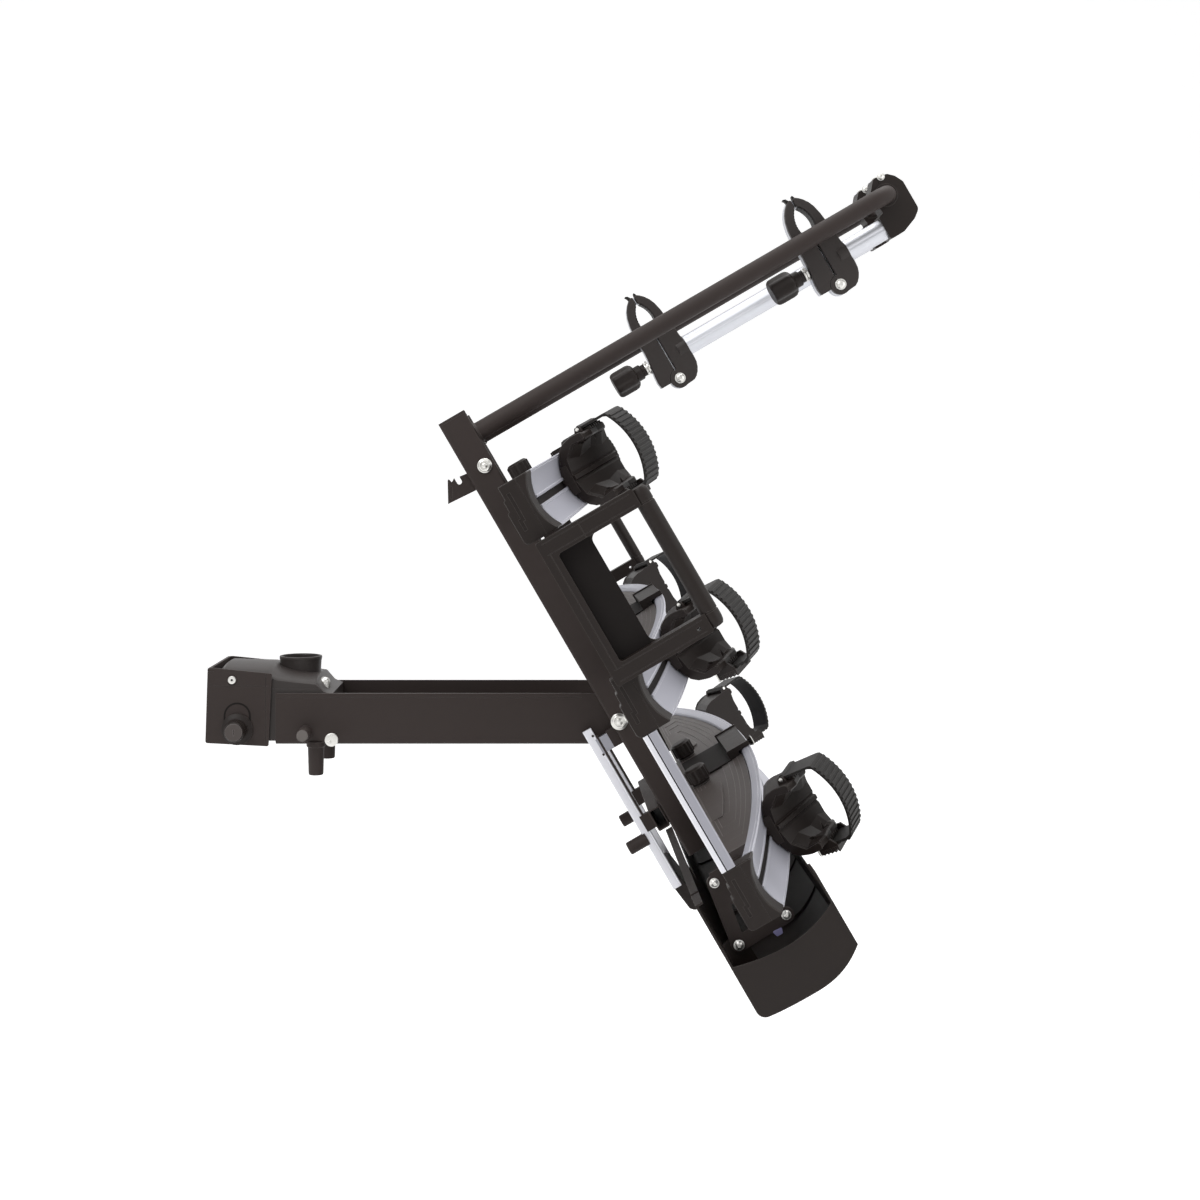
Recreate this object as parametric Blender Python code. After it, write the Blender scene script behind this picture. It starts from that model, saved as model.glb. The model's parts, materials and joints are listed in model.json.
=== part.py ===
"""Tow-ball bike rack for three bikes, tilted down about its pivot, as in its photograph.

The world origin is the centre of the tow ball. +X points away from the car, +Z points up and
+Y points to the far side of the rack. Pieces of the platform are drawn in the platform's own
axes: x runs along the rails (a), y runs across the car and z stands up from the platform (n).
One empty on the pivot tilts them all.
"""

import math

import bmesh
import bpy
from mathutils import Vector

# Clearances, in metres
GAP = 0.0003
RUNNING = 0.0004
ARCH_SEAT = 0.0006

# Platform pivot and its tilt at rest
PIVOT_X = 0.4446
PIVOT_Z = -0.0422
TILT = math.radians(59.83)

# Tongue, a folded channel open at the top
TONGUE_HALF = 0.0765
TONGUE_WALL = 0.004
TONGUE_TOP = -0.009
TONGUE_BOTTOM = -0.0788
TONGUE_FRONT = -0.0245
EAR_RADIUS = 0.030
FLOOR_SETBACK = 0.048
BALL_SLOT_HALF = 0.040
BALL_SLOT_REAR = 0.045
REST_PEG_X = 0.017
REST_PEG_RADIUS = 0.0087
REST_PEG_PROUD = 0.0025
STAND_PEG_X = 0.030
STAND_PEG_Y = 0.068
STAND_PEG_FOOT = -0.1215
STAND_PEG_RADIUS = 0.0110
PIVOT_BOLT_RADIUS = 0.006
PIVOT_HEAD_RADIUS = 0.0115
LATCH_PIN_RADIUS = 0.003
LATCH_PIN_HEAD = 0.009

# Coupling head over the tow ball
BALL_RADIUS = 0.025
COLLAR_RADIUS = 0.030
COLLAR_TOP = 0.035
HEAD_FRONT = -0.042
HEAD_REAR = 0.052
NOSE_BOTTOM = -0.016
NOSE_TOP = 0.0325
LEVER_PIN_X = -0.084
LEVER_PIN_Z = 0.0095
LEVER_PIN_RADIUS = 0.0045
LEVER_PIN_HEAD = 0.0059
NOSE_RADIUS = 0.0265
SHEET = 0.003
HOUSING_FRONT_TOP = -0.1155
HOUSING_FRONT_LEAN = 0.0052
HOUSING_REAR_TOP = -0.0296
HOUSING_REAR_LEAN = 0.0047
HOUSING_TOP = 0.026
HOUSING_BOTTOM = -0.077
LOCK_X = -0.0769
LOCK_Z = -0.058
LOCK_FLANGE = 0.0215
LOCK_GRIP = 0.0135
LOCK_LENGTH = 0.030
JAW_PIN_X = -0.052
JAW_PIN_Z = -0.001
JAW_HALF = 0.015
JAW_PIN_RADIUS = 0.0029
JAW_DROP = 0.036

# Rails, two rectangular tubes outside the tongue
RAIL_SIDE_GAP = 0.002
RAIL_WIDTH = 0.032
RAIL_LOW = -0.010
RAIL_HIGH = 0.030
RAIL_WALL = 0.0025
RAIL_FRONT = -0.469
RAIL_REAR = 0.205

# U-frame and the bike arms on its crossbar
UPRIGHT_A = -0.4345
FRAME_TUBE = 0.0125
CROSSBAR_HEIGHT = 0.680
FRAME_BEND = 0.026
FRAME_WALL = 0.002
ARM_A = -0.396
ARM_Y = 0.051
ARM_RADIUS = 0.015
ARM_WALL = 0.002
CLAMP_THICK = 0.034
MEDIUM_DROP = 0.115
LONG_DROP = 0.360

# Bike clamp jaws, from the arm's axis and the slit between the jaws
JAW_THICK = 0.028
SLIT_HALF = 0.001
KNUCKLE_A = 0.036
KNUCKLE_RADIUS = 0.014
KNUCKLE_HALF = 0.007
CLAMP_PIN = 0.004
EYE_FRONT = -0.088
EYE_REAR = -0.034
EYE_RISE = 0.012
COLLAR_HEIGHT = 0.0325
STUD_RADIUS = 0.004
KNOB_RADIUS = 0.0195
KNOB_TOP = -0.051
KNOB_BOTTOM = -0.087

# Latch hook under the near rail
HOOK_BOLT_A = -0.3896
HOOK_BOLT_HEIGHT = 0.0165
HOOK_BOLT_RADIUS = 0.004
HOOK_HEAD = 0.010
HOOK_EYE = 0.010
HOOK_PLATE = 0.005
LATCH_A = -0.3882
LATCH_HEIGHT = -0.0247

# Wheel trays, three arches across the platform
TRAY_FIRST = -0.3185
TRAY_SECOND = -0.0803
TRAY_THIRD = 0.1582
TRAY_HALF_WIDTH = 0.035
TRAY_LIP = 0.002
TRAY_FLOOR = 0.0055
GUTTER_DEPTH = 0.010
SLOT_HALF = 0.00425
SLOT_DEPTH = 0.003
ARCH_END_HEIGHT = 0.060
ARCH_RISE = 0.079
ARCH_HALF_SPAN = 0.583
TRAY_STEPS = 14

# Moulded saddles that carry the trays on the rails
SADDLE_HALF_WIDTH = 0.030
SADDLE_SETBACK = 0.083
SADDLE_CHORD = 0.0365
SADDLE_WALL = 0.004
SADDLE_BAND = 0.016
SADDLE_STEP = 0.0012
SADDLE_END_SLOPE = 5.5
SADDLE_FOOT_SLOPE = 0.6
PAD_TOP = 0.070
BRACKET_HALF = 0.075
BRACKET_CHEEK = 0.0047
BRACKET_GRIP = 0.0135
BRACKET_ROOT = 0.013
TRAY_KNOB_Y = 0.105
TRAY_KNOB_HEIGHT = 0.055
TRAY_KNOB_RADIUS = 0.016
TRAY_KNOB_LENGTH = 0.0235

# Caps, handles and side rails at the ends of the trays
CAP_DEPTH = 0.023
CAP_BOTTOM = 0.0205
CAP_STEP = 0.005
HANDLE_REACH_FRONT = -0.2818
HANDLE_REACH_REAR = -0.1079
HANDLE_BASE = 0.030
HANDLE_THICK = 0.0205
HANDLE_ARM = 0.021
HANDLE_SILL = 0.085
HANDLE_PIN_INSET = 0.010
HANDLE_PIN_DROP = 0.019
GRIP_HEIGHT = 0.154
GRIP_RADIUS = 0.010
SIDE_RAIL_LOW = 0.0255
SIDE_RAIL_HEIGHT = 0.0172
SIDE_RAIL_WIDTH = 0.015
SIDE_RAIL_GROOVE = 0.0019

# Pedal frame under the rear of the rails
CROSS_TUBE_FRONT = 0.125
CROSS_TUBE_REAR = 0.156
CROSS_TUBE_HEIGHT = 0.0177
CROSS_TUBE_WALL = 0.002
STRIP_Y = 0.090
STRIP_WIDTH = 0.006
STRIP_FRONT = -0.009
STRIP_LOW = -0.0515
STRIP_HEIGHT = 0.013
HANGER_FRONT = 0.005
HANGER_REAR = 0.030
PEDAL_AXLE_A = 0.232
PEDAL_AXLE_HEIGHT = -0.045
PEDAL_AXLE_RADIUS = 0.003
PEDAL_LENGTH = 0.054
PEDAL_HALF = 0.060
FOOT_A = 0.160
FOOT_RADIUS = 0.009
FOOT_HEIGHT = 0.0255

# Wheel holders, six cradles with toothed straps
HOLDER_Y = 0.365
HOLDER_TILT = math.radians(29)
HOLDER_LIFT = 0.012
CRADLE_HALF = 0.043
CRADLE_TOP = 0.055
CRADLE_OUTER = -0.030
CRADLE_INNER = 0.034
CRADLE_WALL = 0.0055
CRADLE_FLOOR = 0.012
CRADLE_RISE = 0.032
FOOT_LENGTH = 0.064
STRAP_THICK = 0.003
STRAP_OUTER = -0.012
STRAP_INNER = 0.030
STRAP_SHOULDER = 0.080
STRAP_CROWN = 0.015
STRAP_HINGE_V = 0.040
STRAP_FREE_END = 0.050
STRAP_KNUCKLE = 0.0042
STRAP_PIN = 0.0017
TEETH = 14

# Lamp board behind the trays
BOARD_BEYOND = 0.050
BOARD_WALL = 0.0025
BOARD_BOTTOM = -0.018
BOARD_TOP = 0.1145
BOARD_MOUTH = 0.2346
MOUTH_FALL_LOW = 0.0100
MOUTH_FALL_HIGH = 0.0175
BOARD_REAR = 0.2942
BOARD_FALL_LOW = 0.004
BOARD_FALL_HIGH = 0.0225
BOARD_CORNER = 0.011
BOARD_STEPS = 8
SHELF_FRONT = 0.147
LEDGE_FRONT = 0.2055
CORNER_FRONT = 0.180
CORNER_WIDTH = 0.038
SHELF_INNER = 0.160
LINK_THICK = 0.004
LINK_PIN_RADIUS = 0.0035
LINK_BOLT_PROUD = 0.003
EAR_THICK = 0.004
HINGE_A = 0.2205
HINGE_HEIGHT = 0.001
LINK_ROOT_A = 0.148
LINK_ROOT_HEIGHT = 0.0118
LINK_TIP_A = 0.219
LINK_TIP_HEIGHT = 0.0633
LENS_MARGIN = 0.025
LENS_LENGTH = 0.190
LENS_LOW = 0.012
LENS_HIGH = 0.082
LENS_STEP = 0.0012

# Values that follow from the ones above
RAIL_INNER = TONGUE_HALF + RAIL_SIDE_GAP
RAIL_OUTER = RAIL_INNER + RAIL_WIDTH
RAIL_MIDDLE = RAIL_INNER + RAIL_WIDTH / 2
PIVOT = Vector((PIVOT_X, 0, PIVOT_Z))
ARCH_RADIUS = (ARCH_HALF_SPAN**2 + ARCH_RISE**2) / (2 * ARCH_RISE)
ARCH_LIP = ARCH_END_HEIGHT + ARCH_RISE
ARCH_CENTRE = ARCH_LIP - ARCH_RADIUS
TRAY_DEPTH = GUTTER_DEPTH + TRAY_FLOOR
TRAY_HALF_LENGTH = ARCH_HALF_SPAN - CAP_DEPTH - GAP
TRAY_A = (TRAY_FIRST, TRAY_SECOND, TRAY_THIRD)
SADDLE_HALF_LENGTH = ARCH_HALF_SPAN - SADDLE_SETBACK
BOARD_HALF = SADDLE_HALF_LENGTH + BOARD_BEYOND
MEDIUM_SLIT = CROSSBAR_HEIGHT - MEDIUM_DROP
LONG_SLIT = CROSSBAR_HEIGHT - LONG_DROP
LINK_Y = SADDLE_HALF_LENGTH + GAP
CORNER_HALF = BOARD_HALF - CORNER_WIDTH
LENS_OUTER = BOARD_HALF - LENS_MARGIN
LENS_INNER = LENS_OUTER - LENS_LENGTH
CAP_INNER = TRAY_HALF_LENGTH + GAP
CAP_OUTER = CAP_INNER + CAP_DEPTH
HANDLE_INNER = CAP_OUTER + GAP
PEG_END = RAIL_OUTER + REST_PEG_PROUD
BORE_RADIUS = BALL_RADIUS + 0.0005

FINISHES = {
    "paint": ((0.050, 0.043, 0.040), 0.42, 0.0),
    "plastic": ((0.020, 0.018, 0.016), 0.50, 0.0),
    "silver": ((0.42, 0.42, 0.46), 0.38, 0.85),
    "bright": ((0.80, 0.80, 0.81), 0.25, 0.95),
    "zinc": ((0.62, 0.62, 0.60), 0.30, 0.95),
    "rubber": ((0.018, 0.017, 0.016), 0.75, 0.0),
}


# Shape makers
def finish(obj, kind):
    """Give the object a material of its own."""
    colour, roughness, metallic = FINISHES[kind]
    material = bpy.data.materials.new(obj.name + "_" + kind)
    material.use_nodes = True
    shader = material.node_tree.nodes["Principled BSDF"]
    shader.inputs["Base Color"].default_value = (*colour, 1)
    shader.inputs["Roughness"].default_value = roughness
    shader.inputs["Metallic"].default_value = metallic
    obj.data.materials.clear()
    obj.data.materials.append(material)


def new_object(name, mesh):
    """Link a mesh into the scene as an object."""
    obj = bpy.data.objects.new(name, mesh)
    bpy.context.scene.collection.objects.link(obj)
    return obj


def loft(name, rings):
    """Skin a row of rings that hold the same number of points, and close both ends."""
    shape = bmesh.new()
    rows = [[shape.verts.new(point) for point in ring] for ring in rings]
    count = len(rows[0])
    for first, second in zip(rows, rows[1:]):
        for i in range(count):
            j = (i + 1) % count
            shape.faces.new((first[i], first[j], second[j], second[i]))
    shape.faces.new(rows[0])
    shape.faces.new(rows[-1])
    bmesh.ops.recalc_face_normals(shape, faces=shape.faces)
    mesh = bpy.data.meshes.new(name)
    shape.to_mesh(mesh)
    shape.free()
    return new_object(name, mesh)


def placed(along, offset, u, v):
    """A point at an offset along one axis, with the two other coordinates in X, Y, Z order."""
    if along == "X":
        return (offset, u, v)
    if along == "Y":
        return (u, offset, v)
    return (u, v, offset)


def prism(name, outline, low, high, along="Y"):
    """Extrude an outline between two places along an axis."""
    return loft(name, [[placed(along, end, u, v) for u, v in outline] for end in (low, high)])


def block(name, x, y, z):
    """A box between pairs of limits."""
    outline = [(x[0], z[0]), (x[1], z[0]), (x[1], z[1]), (x[0], z[1])]
    return prism(name, outline, y[0], y[1])


def circle(centre, radius, steps=20, start=0.0):
    """Points around a circle."""
    turn = [start + 2 * math.pi * i / steps for i in range(steps)]
    return [(centre[0] + radius * math.cos(t), centre[1] + radius * math.sin(t)) for t in turn]


def arc(centre, radius, first, last, steps):
    """Points along an arc, with both angles in degrees."""
    turn = [math.radians(first + (last - first) * i / steps) for i in range(steps + 1)]
    return [(centre[0] + radius * math.cos(t), centre[1] + radius * math.sin(t)) for t in turn]


def turned(name, profile, centre, along="Y", steps=20):
    """A round piece from (radius, place along the axis) pairs."""
    rings = []
    for radius, offset in profile:
        rings.append([placed(along, offset, u, v) for u, v in circle(centre, radius, steps)])
    return loft(name, rings)


def rod(name, centre, radius, low, high, along="Y", steps=20):
    """A plain round bar."""
    return turned(name, [(radius, low), (radius, high)], centre, along, steps)


def rounded(corners, steps=3):
    """An outline whose corners, given as (u, v, radius), are rounded."""
    points = []
    count = len(corners)
    for i, (u, v, radius) in enumerate(corners):
        here = Vector((u, v))
        if not radius:
            points.append((u, v))
            continue
        before = (Vector(corners[i - 1][:2]) - here).normalized()
        after = (Vector(corners[(i + 1) % count][:2]) - here).normalized()
        half = before.angle(after) / 2
        reach = radius / math.tan(half)
        middle = here + (before + after).normalized() * (radius / math.sin(half))
        start = here + before * reach - middle
        end = here + after * reach - middle
        first = math.atan2(start.y, start.x)
        sweep = math.atan2(end.y, end.x) - first
        sweep = (sweep + math.pi) % (2 * math.pi) - math.pi
        for k in range(steps + 1):
            turn = first + sweep * k / steps
            points.append((middle.x + radius * math.cos(turn), middle.y + radius * math.sin(turn)))
    return points


def apply_boolean(base, other, operation):
    """Join or cut with another object, which is used up."""
    modifier = base.modifiers.new(operation.title(), "BOOLEAN")
    modifier.operation = operation
    modifier.solver = "EXACT"
    modifier.object = other
    graph = bpy.context.evaluated_depsgraph_get()
    mesh = bpy.data.meshes.new_from_object(base.evaluated_get(graph))
    base.modifiers.clear()
    base.data = mesh
    bpy.data.objects.remove(other, do_unlink=True)


def fuse(base, *others):
    """Join pieces that are one part on the real rack."""
    for other in others:
        apply_boolean(base, other, "UNION")
    return base


def carve(base, *cutters):
    """Cut shapes away."""
    for cutter in cutters:
        apply_boolean(base, cutter, "DIFFERENCE")
    return base


def keep(obj, kind, parent=None, origin=(0, 0, 0)):
    """Finish a piece: its material, its shading, its origin and what carries it."""
    finish(obj, kind)
    shape = bmesh.new()
    shape.from_mesh(obj.data)
    bmesh.ops.remove_doubles(shape, verts=shape.verts, dist=0.000002)
    bmesh.ops.dissolve_degenerate(shape, edges=shape.edges, dist=0.000002)
    bmesh.ops.dissolve_limit(
        shape, angle_limit=math.radians(0.3), verts=shape.verts, edges=shape.edges
    )
    bmesh.ops.translate(shape, verts=shape.verts, vec=-Vector(origin))
    shape.to_mesh(obj.data)
    shape.free()
    obj.data.shade_smooth()
    obj.data.set_sharp_from_angle(angle=math.radians(32))
    obj.location = origin
    obj.parent = parent
    return obj


def both(side, near, far):
    """Two distances from the middle plane, put in order on one side of it."""
    return sorted((side * near, side * far))


def mirrored(points):
    """An outline drawn on one side of u = 0, completed by its mirror image."""
    return points + [(-u, v) for u, v in reversed(points)]


# Coupling and tongue
def tongue_outline():
    """Side view of the tongue, with the round ear that holds the pivot."""
    ear = arc((PIVOT_X, PIVOT_Z), EAR_RADIUS, -90, 90, 10)
    start = PIVOT_X - 1.3 * EAR_RADIUS
    low = [(TONGUE_FRONT, TONGUE_BOTTOM), (start, TONGUE_BOTTOM)]
    return low + ear + [(start, TONGUE_TOP), (TONGUE_FRONT, TONGUE_TOP)]


def tongue():
    """The folded channel with its rest pegs, stand pegs and bolt holes."""
    channel = prism("tongue_channel", tongue_outline(), -TONGUE_HALF, TONGUE_HALF)
    inside = TONGUE_HALF - TONGUE_WALL
    floor = TONGUE_BOTTOM + TONGUE_WALL
    beyond = 0.05
    carve(
        channel,
        block(
            "bay",
            (TONGUE_FRONT - beyond, PIVOT_X + beyond),
            (-inside, inside),
            (floor, TONGUE_TOP + beyond),
        ),
        block(
            "open_end",
            (PIVOT_X - FLOOR_SETBACK, PIVOT_X + beyond),
            (-inside, inside),
            (TONGUE_BOTTOM - beyond, floor + 0.002),
        ),
        block(
            "ball_slot",
            (TONGUE_FRONT - beyond, BALL_SLOT_REAR),
            (-BALL_SLOT_HALF, BALL_SLOT_HALF),
            (TONGUE_BOTTOM - beyond, floor + 0.002),
        ),
        rod("pivot_hole", (PIVOT_X, PIVOT_Z), PIVOT_BOLT_RADIUS + RUNNING, -beyond * 2, beyond * 2, steps=14),
        rod("latch_hole", latch_place(), LATCH_PIN_RADIUS + RUNNING, -beyond * 2, beyond * 2, steps=12),
    )
    rest_z = PIVOT_Z + RAIL_LOW - GAP - REST_PEG_RADIUS
    for side in (-1, 1):
        low, high = both(side, TONGUE_HALF - TONGUE_WALL / 2, PEG_END)
        fuse(channel, rod("rest_peg", (REST_PEG_X, rest_z), REST_PEG_RADIUS, low, high, steps=16))
        profile = [
            (STAND_PEG_RADIUS + 0.002, floor - TONGUE_WALL / 4),
            (STAND_PEG_RADIUS + 0.002, TONGUE_BOTTOM - 0.004),
            (STAND_PEG_RADIUS, TONGUE_BOTTOM - 0.006),
            (STAND_PEG_RADIUS - 0.001, STAND_PEG_FOOT),
        ]
        spot = (STAND_PEG_X, side * STAND_PEG_Y)
        fuse(channel, turned("stand_peg", profile, spot, "Z", 16))
    keep(channel, "paint")


def latch_place():
    """Where the latch pin stands on the tongue: the latch's place when the platform is level."""
    return (PIVOT_X + LATCH_A, PIVOT_Z + LATCH_HEIGHT)


def cross_bolt(name, centre, radius, head, near, far):
    """A bolt across the rack, with a flanged head on the near side and a nut on the far side."""
    profile = [
        (head * 0.62, -near - 0.0075),
        (head * 0.80, -near - 0.0060),
        (head * 0.82, -near - 0.0026),
        (head, -near - 0.0022),
        (head, -near - GAP),
        (radius, -near - GAP),
        (radius, far + GAP),
        (head * 0.9, far + GAP),
        (head * 0.9, far + 0.0060),
    ]
    return turned(name, profile, centre, "Y", 12)


def coupling_outline():
    """Side view of the coupling head with the nose that holds the lever."""
    rise = NOSE_TOP - LEVER_PIN_Z
    reach = math.degrees(math.asin(rise / NOSE_RADIUS))
    nose = arc((LEVER_PIN_X, LEVER_PIN_Z), NOSE_RADIUS, 180, 180 - reach, 6)
    bottom = TONGUE_BOTTOM + TONGUE_WALL + GAP
    back = [(-0.037, NOSE_TOP - 0.0021), (-0.024, NOSE_TOP - 0.0074), (0.030, 0.0140)]
    shoulder = [(0.041, TONGUE_TOP + 0.0035), (HEAD_REAR, TONGUE_TOP - 0.002), (HEAD_REAR, bottom)]
    front = [(HEAD_FRONT, bottom), (HEAD_FRONT, NOSE_BOTTOM)]
    return [(LEVER_PIN_X - NOSE_RADIUS, NOSE_BOTTOM)] + nose + back + shoulder + front


def coupling_head():
    """The cast head: ball bore, collar, jaw slot, lever pin and jaw pin."""
    half = TONGUE_HALF - TONGUE_WALL - GAP
    head = prism("coupling_head", coupling_outline(), -half, half)
    bevel = head.modifiers.new("EdgeRound", "BEVEL")
    bevel.width = 0.004
    bevel.segments = 1
    bevel.limit_method = "ANGLE"
    bevel.angle_limit = math.radians(50)
    fuse(head, rod("collar", (0, 0), COLLAR_RADIUS, TONGUE_TOP, COLLAR_TOP, "Z", 32))
    low = TONGUE_BOTTOM - 0.01
    slot_half = JAW_HALF + 0.0005
    slot_front = JAW_PIN_X - 0.017
    carve(
        head,
        rod("ball_bore", (0, 0), BORE_RADIUS, low, COLLAR_TOP + 0.01, "Z", 32),
        block("jaw_slot", (slot_front, 0), (-slot_half, slot_half), (low, JAW_PIN_Z + 0.012)),
    )
    reach = slot_half + 0.003
    pin = rod("jaw_pin", (JAW_PIN_X, JAW_PIN_Z), JAW_PIN_RADIUS, -reach, reach, steps=16)
    fuse(head, pin, lever_pin(), dome_bolt())
    keep(head, "paint")


def lever_pin():
    """The rivet that the lever housing swings on."""
    head_in = TONGUE_HALF + GAP
    profile = [
        (LEVER_PIN_HEAD * 0.7, -head_in - 0.0026),
        (LEVER_PIN_HEAD, -head_in - 0.0014),
        (LEVER_PIN_HEAD, -head_in),
        (LEVER_PIN_RADIUS, -head_in),
        (LEVER_PIN_RADIUS, head_in),
        (LEVER_PIN_HEAD, head_in),
        (LEVER_PIN_HEAD, head_in + 0.0014),
        (LEVER_PIN_HEAD * 0.7, head_in + 0.0026),
    ]
    return turned("lever_pin", profile, (LEVER_PIN_X, LEVER_PIN_Z), "Y", 14)


def dome_bolt():
    """A dome-headed bolt on the shoulder behind the collar."""
    profile = [(0.008, -0.012), (0.008, -0.0035), (0.0065, -0.0005), (0.003, 0.0010)]
    return turned("dome_bolt", profile, (0.040, -0.030), "Z", 14)


def lever_housing():
    """The folded sheet lever: two cheeks and a front plate round the coupling's nose."""
    def front_at(z):
        share = (HOUSING_TOP - z) / (HOUSING_TOP - HOUSING_BOTTOM)
        return HOUSING_FRONT_TOP - HOUSING_FRONT_LEAN * share

    outer = [
        (front_at(HOUSING_BOTTOM), HOUSING_BOTTOM, 0.003),
        (HOUSING_REAR_TOP - HOUSING_REAR_LEAN, HOUSING_BOTTOM - 0.0045, 0.002),
        (HOUSING_REAR_TOP, HOUSING_TOP - 0.008, 0.002),
        (front_at(HOUSING_TOP) + 0.006, HOUSING_TOP, 0.002),
        (front_at(HOUSING_TOP) - 0.002, HOUSING_TOP - 0.0005, 0.001),
    ]
    shell = prism("lever_housing", rounded(outer, 2), -TONGUE_HALF, TONGUE_HALF)
    inside = TONGUE_HALF - SHEET
    cavity = [
        (front_at(HOUSING_BOTTOM - 0.02) + SHEET, HOUSING_BOTTOM - 0.02),
        (0, HOUSING_BOTTOM - 0.02),
        (0, HOUSING_TOP + 0.02),
        (front_at(HOUSING_TOP + 0.02) + SHEET, HOUSING_TOP + 0.02),
    ]
    carve(
        shell,
        prism("cavity", cavity, -inside, inside),
        rod("pin_hole", (LEVER_PIN_X, LEVER_PIN_Z), LEVER_PIN_RADIUS + RUNNING, -0.1, 0.1, steps=14),
        rod("lock_hole", (LOCK_X, LOCK_Z), 0.006 + RUNNING, -0.1, 0, steps=14),
    )
    keep(shell, "paint", origin=(LEVER_PIN_X, 0, LEVER_PIN_Z))


def lock_knob():
    """The round key knob on the near cheek of the lever housing."""
    face = TONGUE_HALF + GAP
    profile = [
        (LOCK_GRIP - 0.003, -face - LOCK_LENGTH),
        (LOCK_GRIP, -face - LOCK_LENGTH + 0.003),
        (LOCK_GRIP + 0.001, -face - 0.007),
        (LOCK_FLANGE - 0.003, -face - 0.0045),
        (LOCK_FLANGE, -face - 0.003),
        (LOCK_FLANGE, -face),
        (0.006, -face),
        (0.006, -TONGUE_HALF + SHEET + 0.012),
    ]
    knob = turned("lock_knob", profile, (LOCK_X, LOCK_Z), "Y", 18)
    for side in (-1, 1):
        x = both(side, LOCK_GRIP - 0.003, LOCK_GRIP + 0.01)
        flat = block(
            "flat",
            (LOCK_X + x[0], LOCK_X + x[1]),
            (-face - LOCK_LENGTH - 0.01, -face - LOCK_LENGTH + 0.016),
            (LOCK_Z - 0.02, LOCK_Z + 0.02),
        )
        carve(knob, flat)
    keep(knob, "plastic", origin=(LOCK_X, -face, LOCK_Z))


def ball_jaw():
    """The clamping jaw that closes on the ball from the front, below its equator."""
    hub = circle((JAW_PIN_X, JAW_PIN_Z), 0.009, 20)
    jaw = prism("ball_jaw", hub, -JAW_HALF, JAW_HALF)
    bottom = JAW_PIN_Z - JAW_DROP
    touch = -math.sqrt(BALL_RADIUS**2 - 0.018**2)
    arm = [
        (JAW_PIN_X - 0.006, JAW_PIN_Z),
        (JAW_PIN_X - 0.006, bottom),
        (touch - 0.005, bottom),
        (touch - 0.0010, -0.018),
        (touch - 0.0055, -0.011),
        (JAW_PIN_X + 0.0085, JAW_PIN_Z),
    ]
    fuse(jaw, prism("jaw_arm", arm, -JAW_HALF, JAW_HALF))
    pin = (JAW_PIN_X, JAW_PIN_Z)
    carve(jaw, rod("jaw_bore", pin, JAW_PIN_RADIUS + RUNNING, -0.05, 0.05, steps=16))
    keep(jaw, "zinc", origin=(JAW_PIN_X, 0, JAW_PIN_Z))


# Rails and U-frame
def rail(name, side, platform, hooked):
    """A rectangular tube, closed at the front and open at the rear."""
    low, high = both(side, RAIL_INNER, RAIL_OUTER)
    tube = block(name, (RAIL_FRONT, RAIL_REAR), (low, high), (RAIL_LOW, RAIL_HIGH))
    carve(
        tube,
        block(
            "hollow",
            (RAIL_FRONT + RAIL_WALL, RAIL_REAR + 0.01),
            (low + RAIL_WALL, high - RAIL_WALL),
            (RAIL_LOW + RAIL_WALL, RAIL_HIGH - RAIL_WALL),
        ),
        rod("pivot_hole", (0, 0), PIVOT_BOLT_RADIUS + RUNNING, low - 0.01, high + 0.01, steps=14),
    )
    if hooked:
        bolt = (HOOK_BOLT_A, HOOK_BOLT_HEIGHT)
        slot_half = HOOK_PLATE / 2 + 0.001
        middle = side * RAIL_MIDDLE
        carve(
            tube,
            rod("bolt_hole", bolt, HOOK_BOLT_RADIUS + RUNNING, low - 0.01, high + 0.01, steps=14),
            block(
                "hook_slot",
                (HOOK_BOLT_A - 0.0154, HOOK_BOLT_A + 0.0446),
                (middle - slot_half, middle + slot_half),
                (RAIL_LOW - 0.01, RAIL_LOW + RAIL_WALL + 0.001),
            ),
        )
    keep(tube, "paint", platform)


def u_frame(platform):
    """The bent tube that stands on both rails and carries the bike arms."""
    foot = RAIL_HIGH + GAP
    bend = FRAME_BEND
    corner = RAIL_MIDDLE - bend
    left = arc((-corner, CROSSBAR_HEIGHT - bend), bend, 180, 90, 6)
    right = arc((corner, CROSSBAR_HEIGHT - bend), bend, 90, 0, 6)
    route = [(-RAIL_MIDDLE, foot)] + left + right + [(RAIL_MIDDLE, foot)]
    frame = bent_tube("u_frame", route, FRAME_TUBE, 2)
    beyond = [(-RAIL_MIDDLE, foot - 0.01)] + left + right + [(RAIL_MIDDLE, foot - 0.01)]
    carve(frame, bent_tube("tube_bore", beyond, FRAME_TUBE - FRAME_WALL, 1))
    keep(frame, "paint", platform)


def bent_tube(name, route, radius, smoothness):
    """A round bar that follows a route of (y, n) points over the uprights."""
    curve = bpy.data.curves.new(name, "CURVE")
    curve.dimensions = "3D"
    curve.bevel_depth = radius
    curve.bevel_resolution = smoothness
    curve.use_fill_caps = True
    line = curve.splines.new("POLY")
    line.points.add(len(route) - 1)
    for point, (y, n) in zip(line.points, route):
        point.co = (UPRIGHT_A, y, n, 1)
    guide = new_object(name + "_path", curve)
    graph = bpy.context.evaluated_depsgraph_get()
    mesh = bpy.data.meshes.new_from_object(guide.evaluated_get(graph))
    bpy.data.objects.remove(guide, do_unlink=True)
    shape = bmesh.new()
    shape.from_mesh(mesh)
    bmesh.ops.remove_doubles(shape, verts=shape.verts, dist=0.00001)
    bmesh.ops.recalc_face_normals(shape, faces=shape.faces)
    shape.to_mesh(mesh)
    shape.free()
    return new_object(name, mesh)


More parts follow.
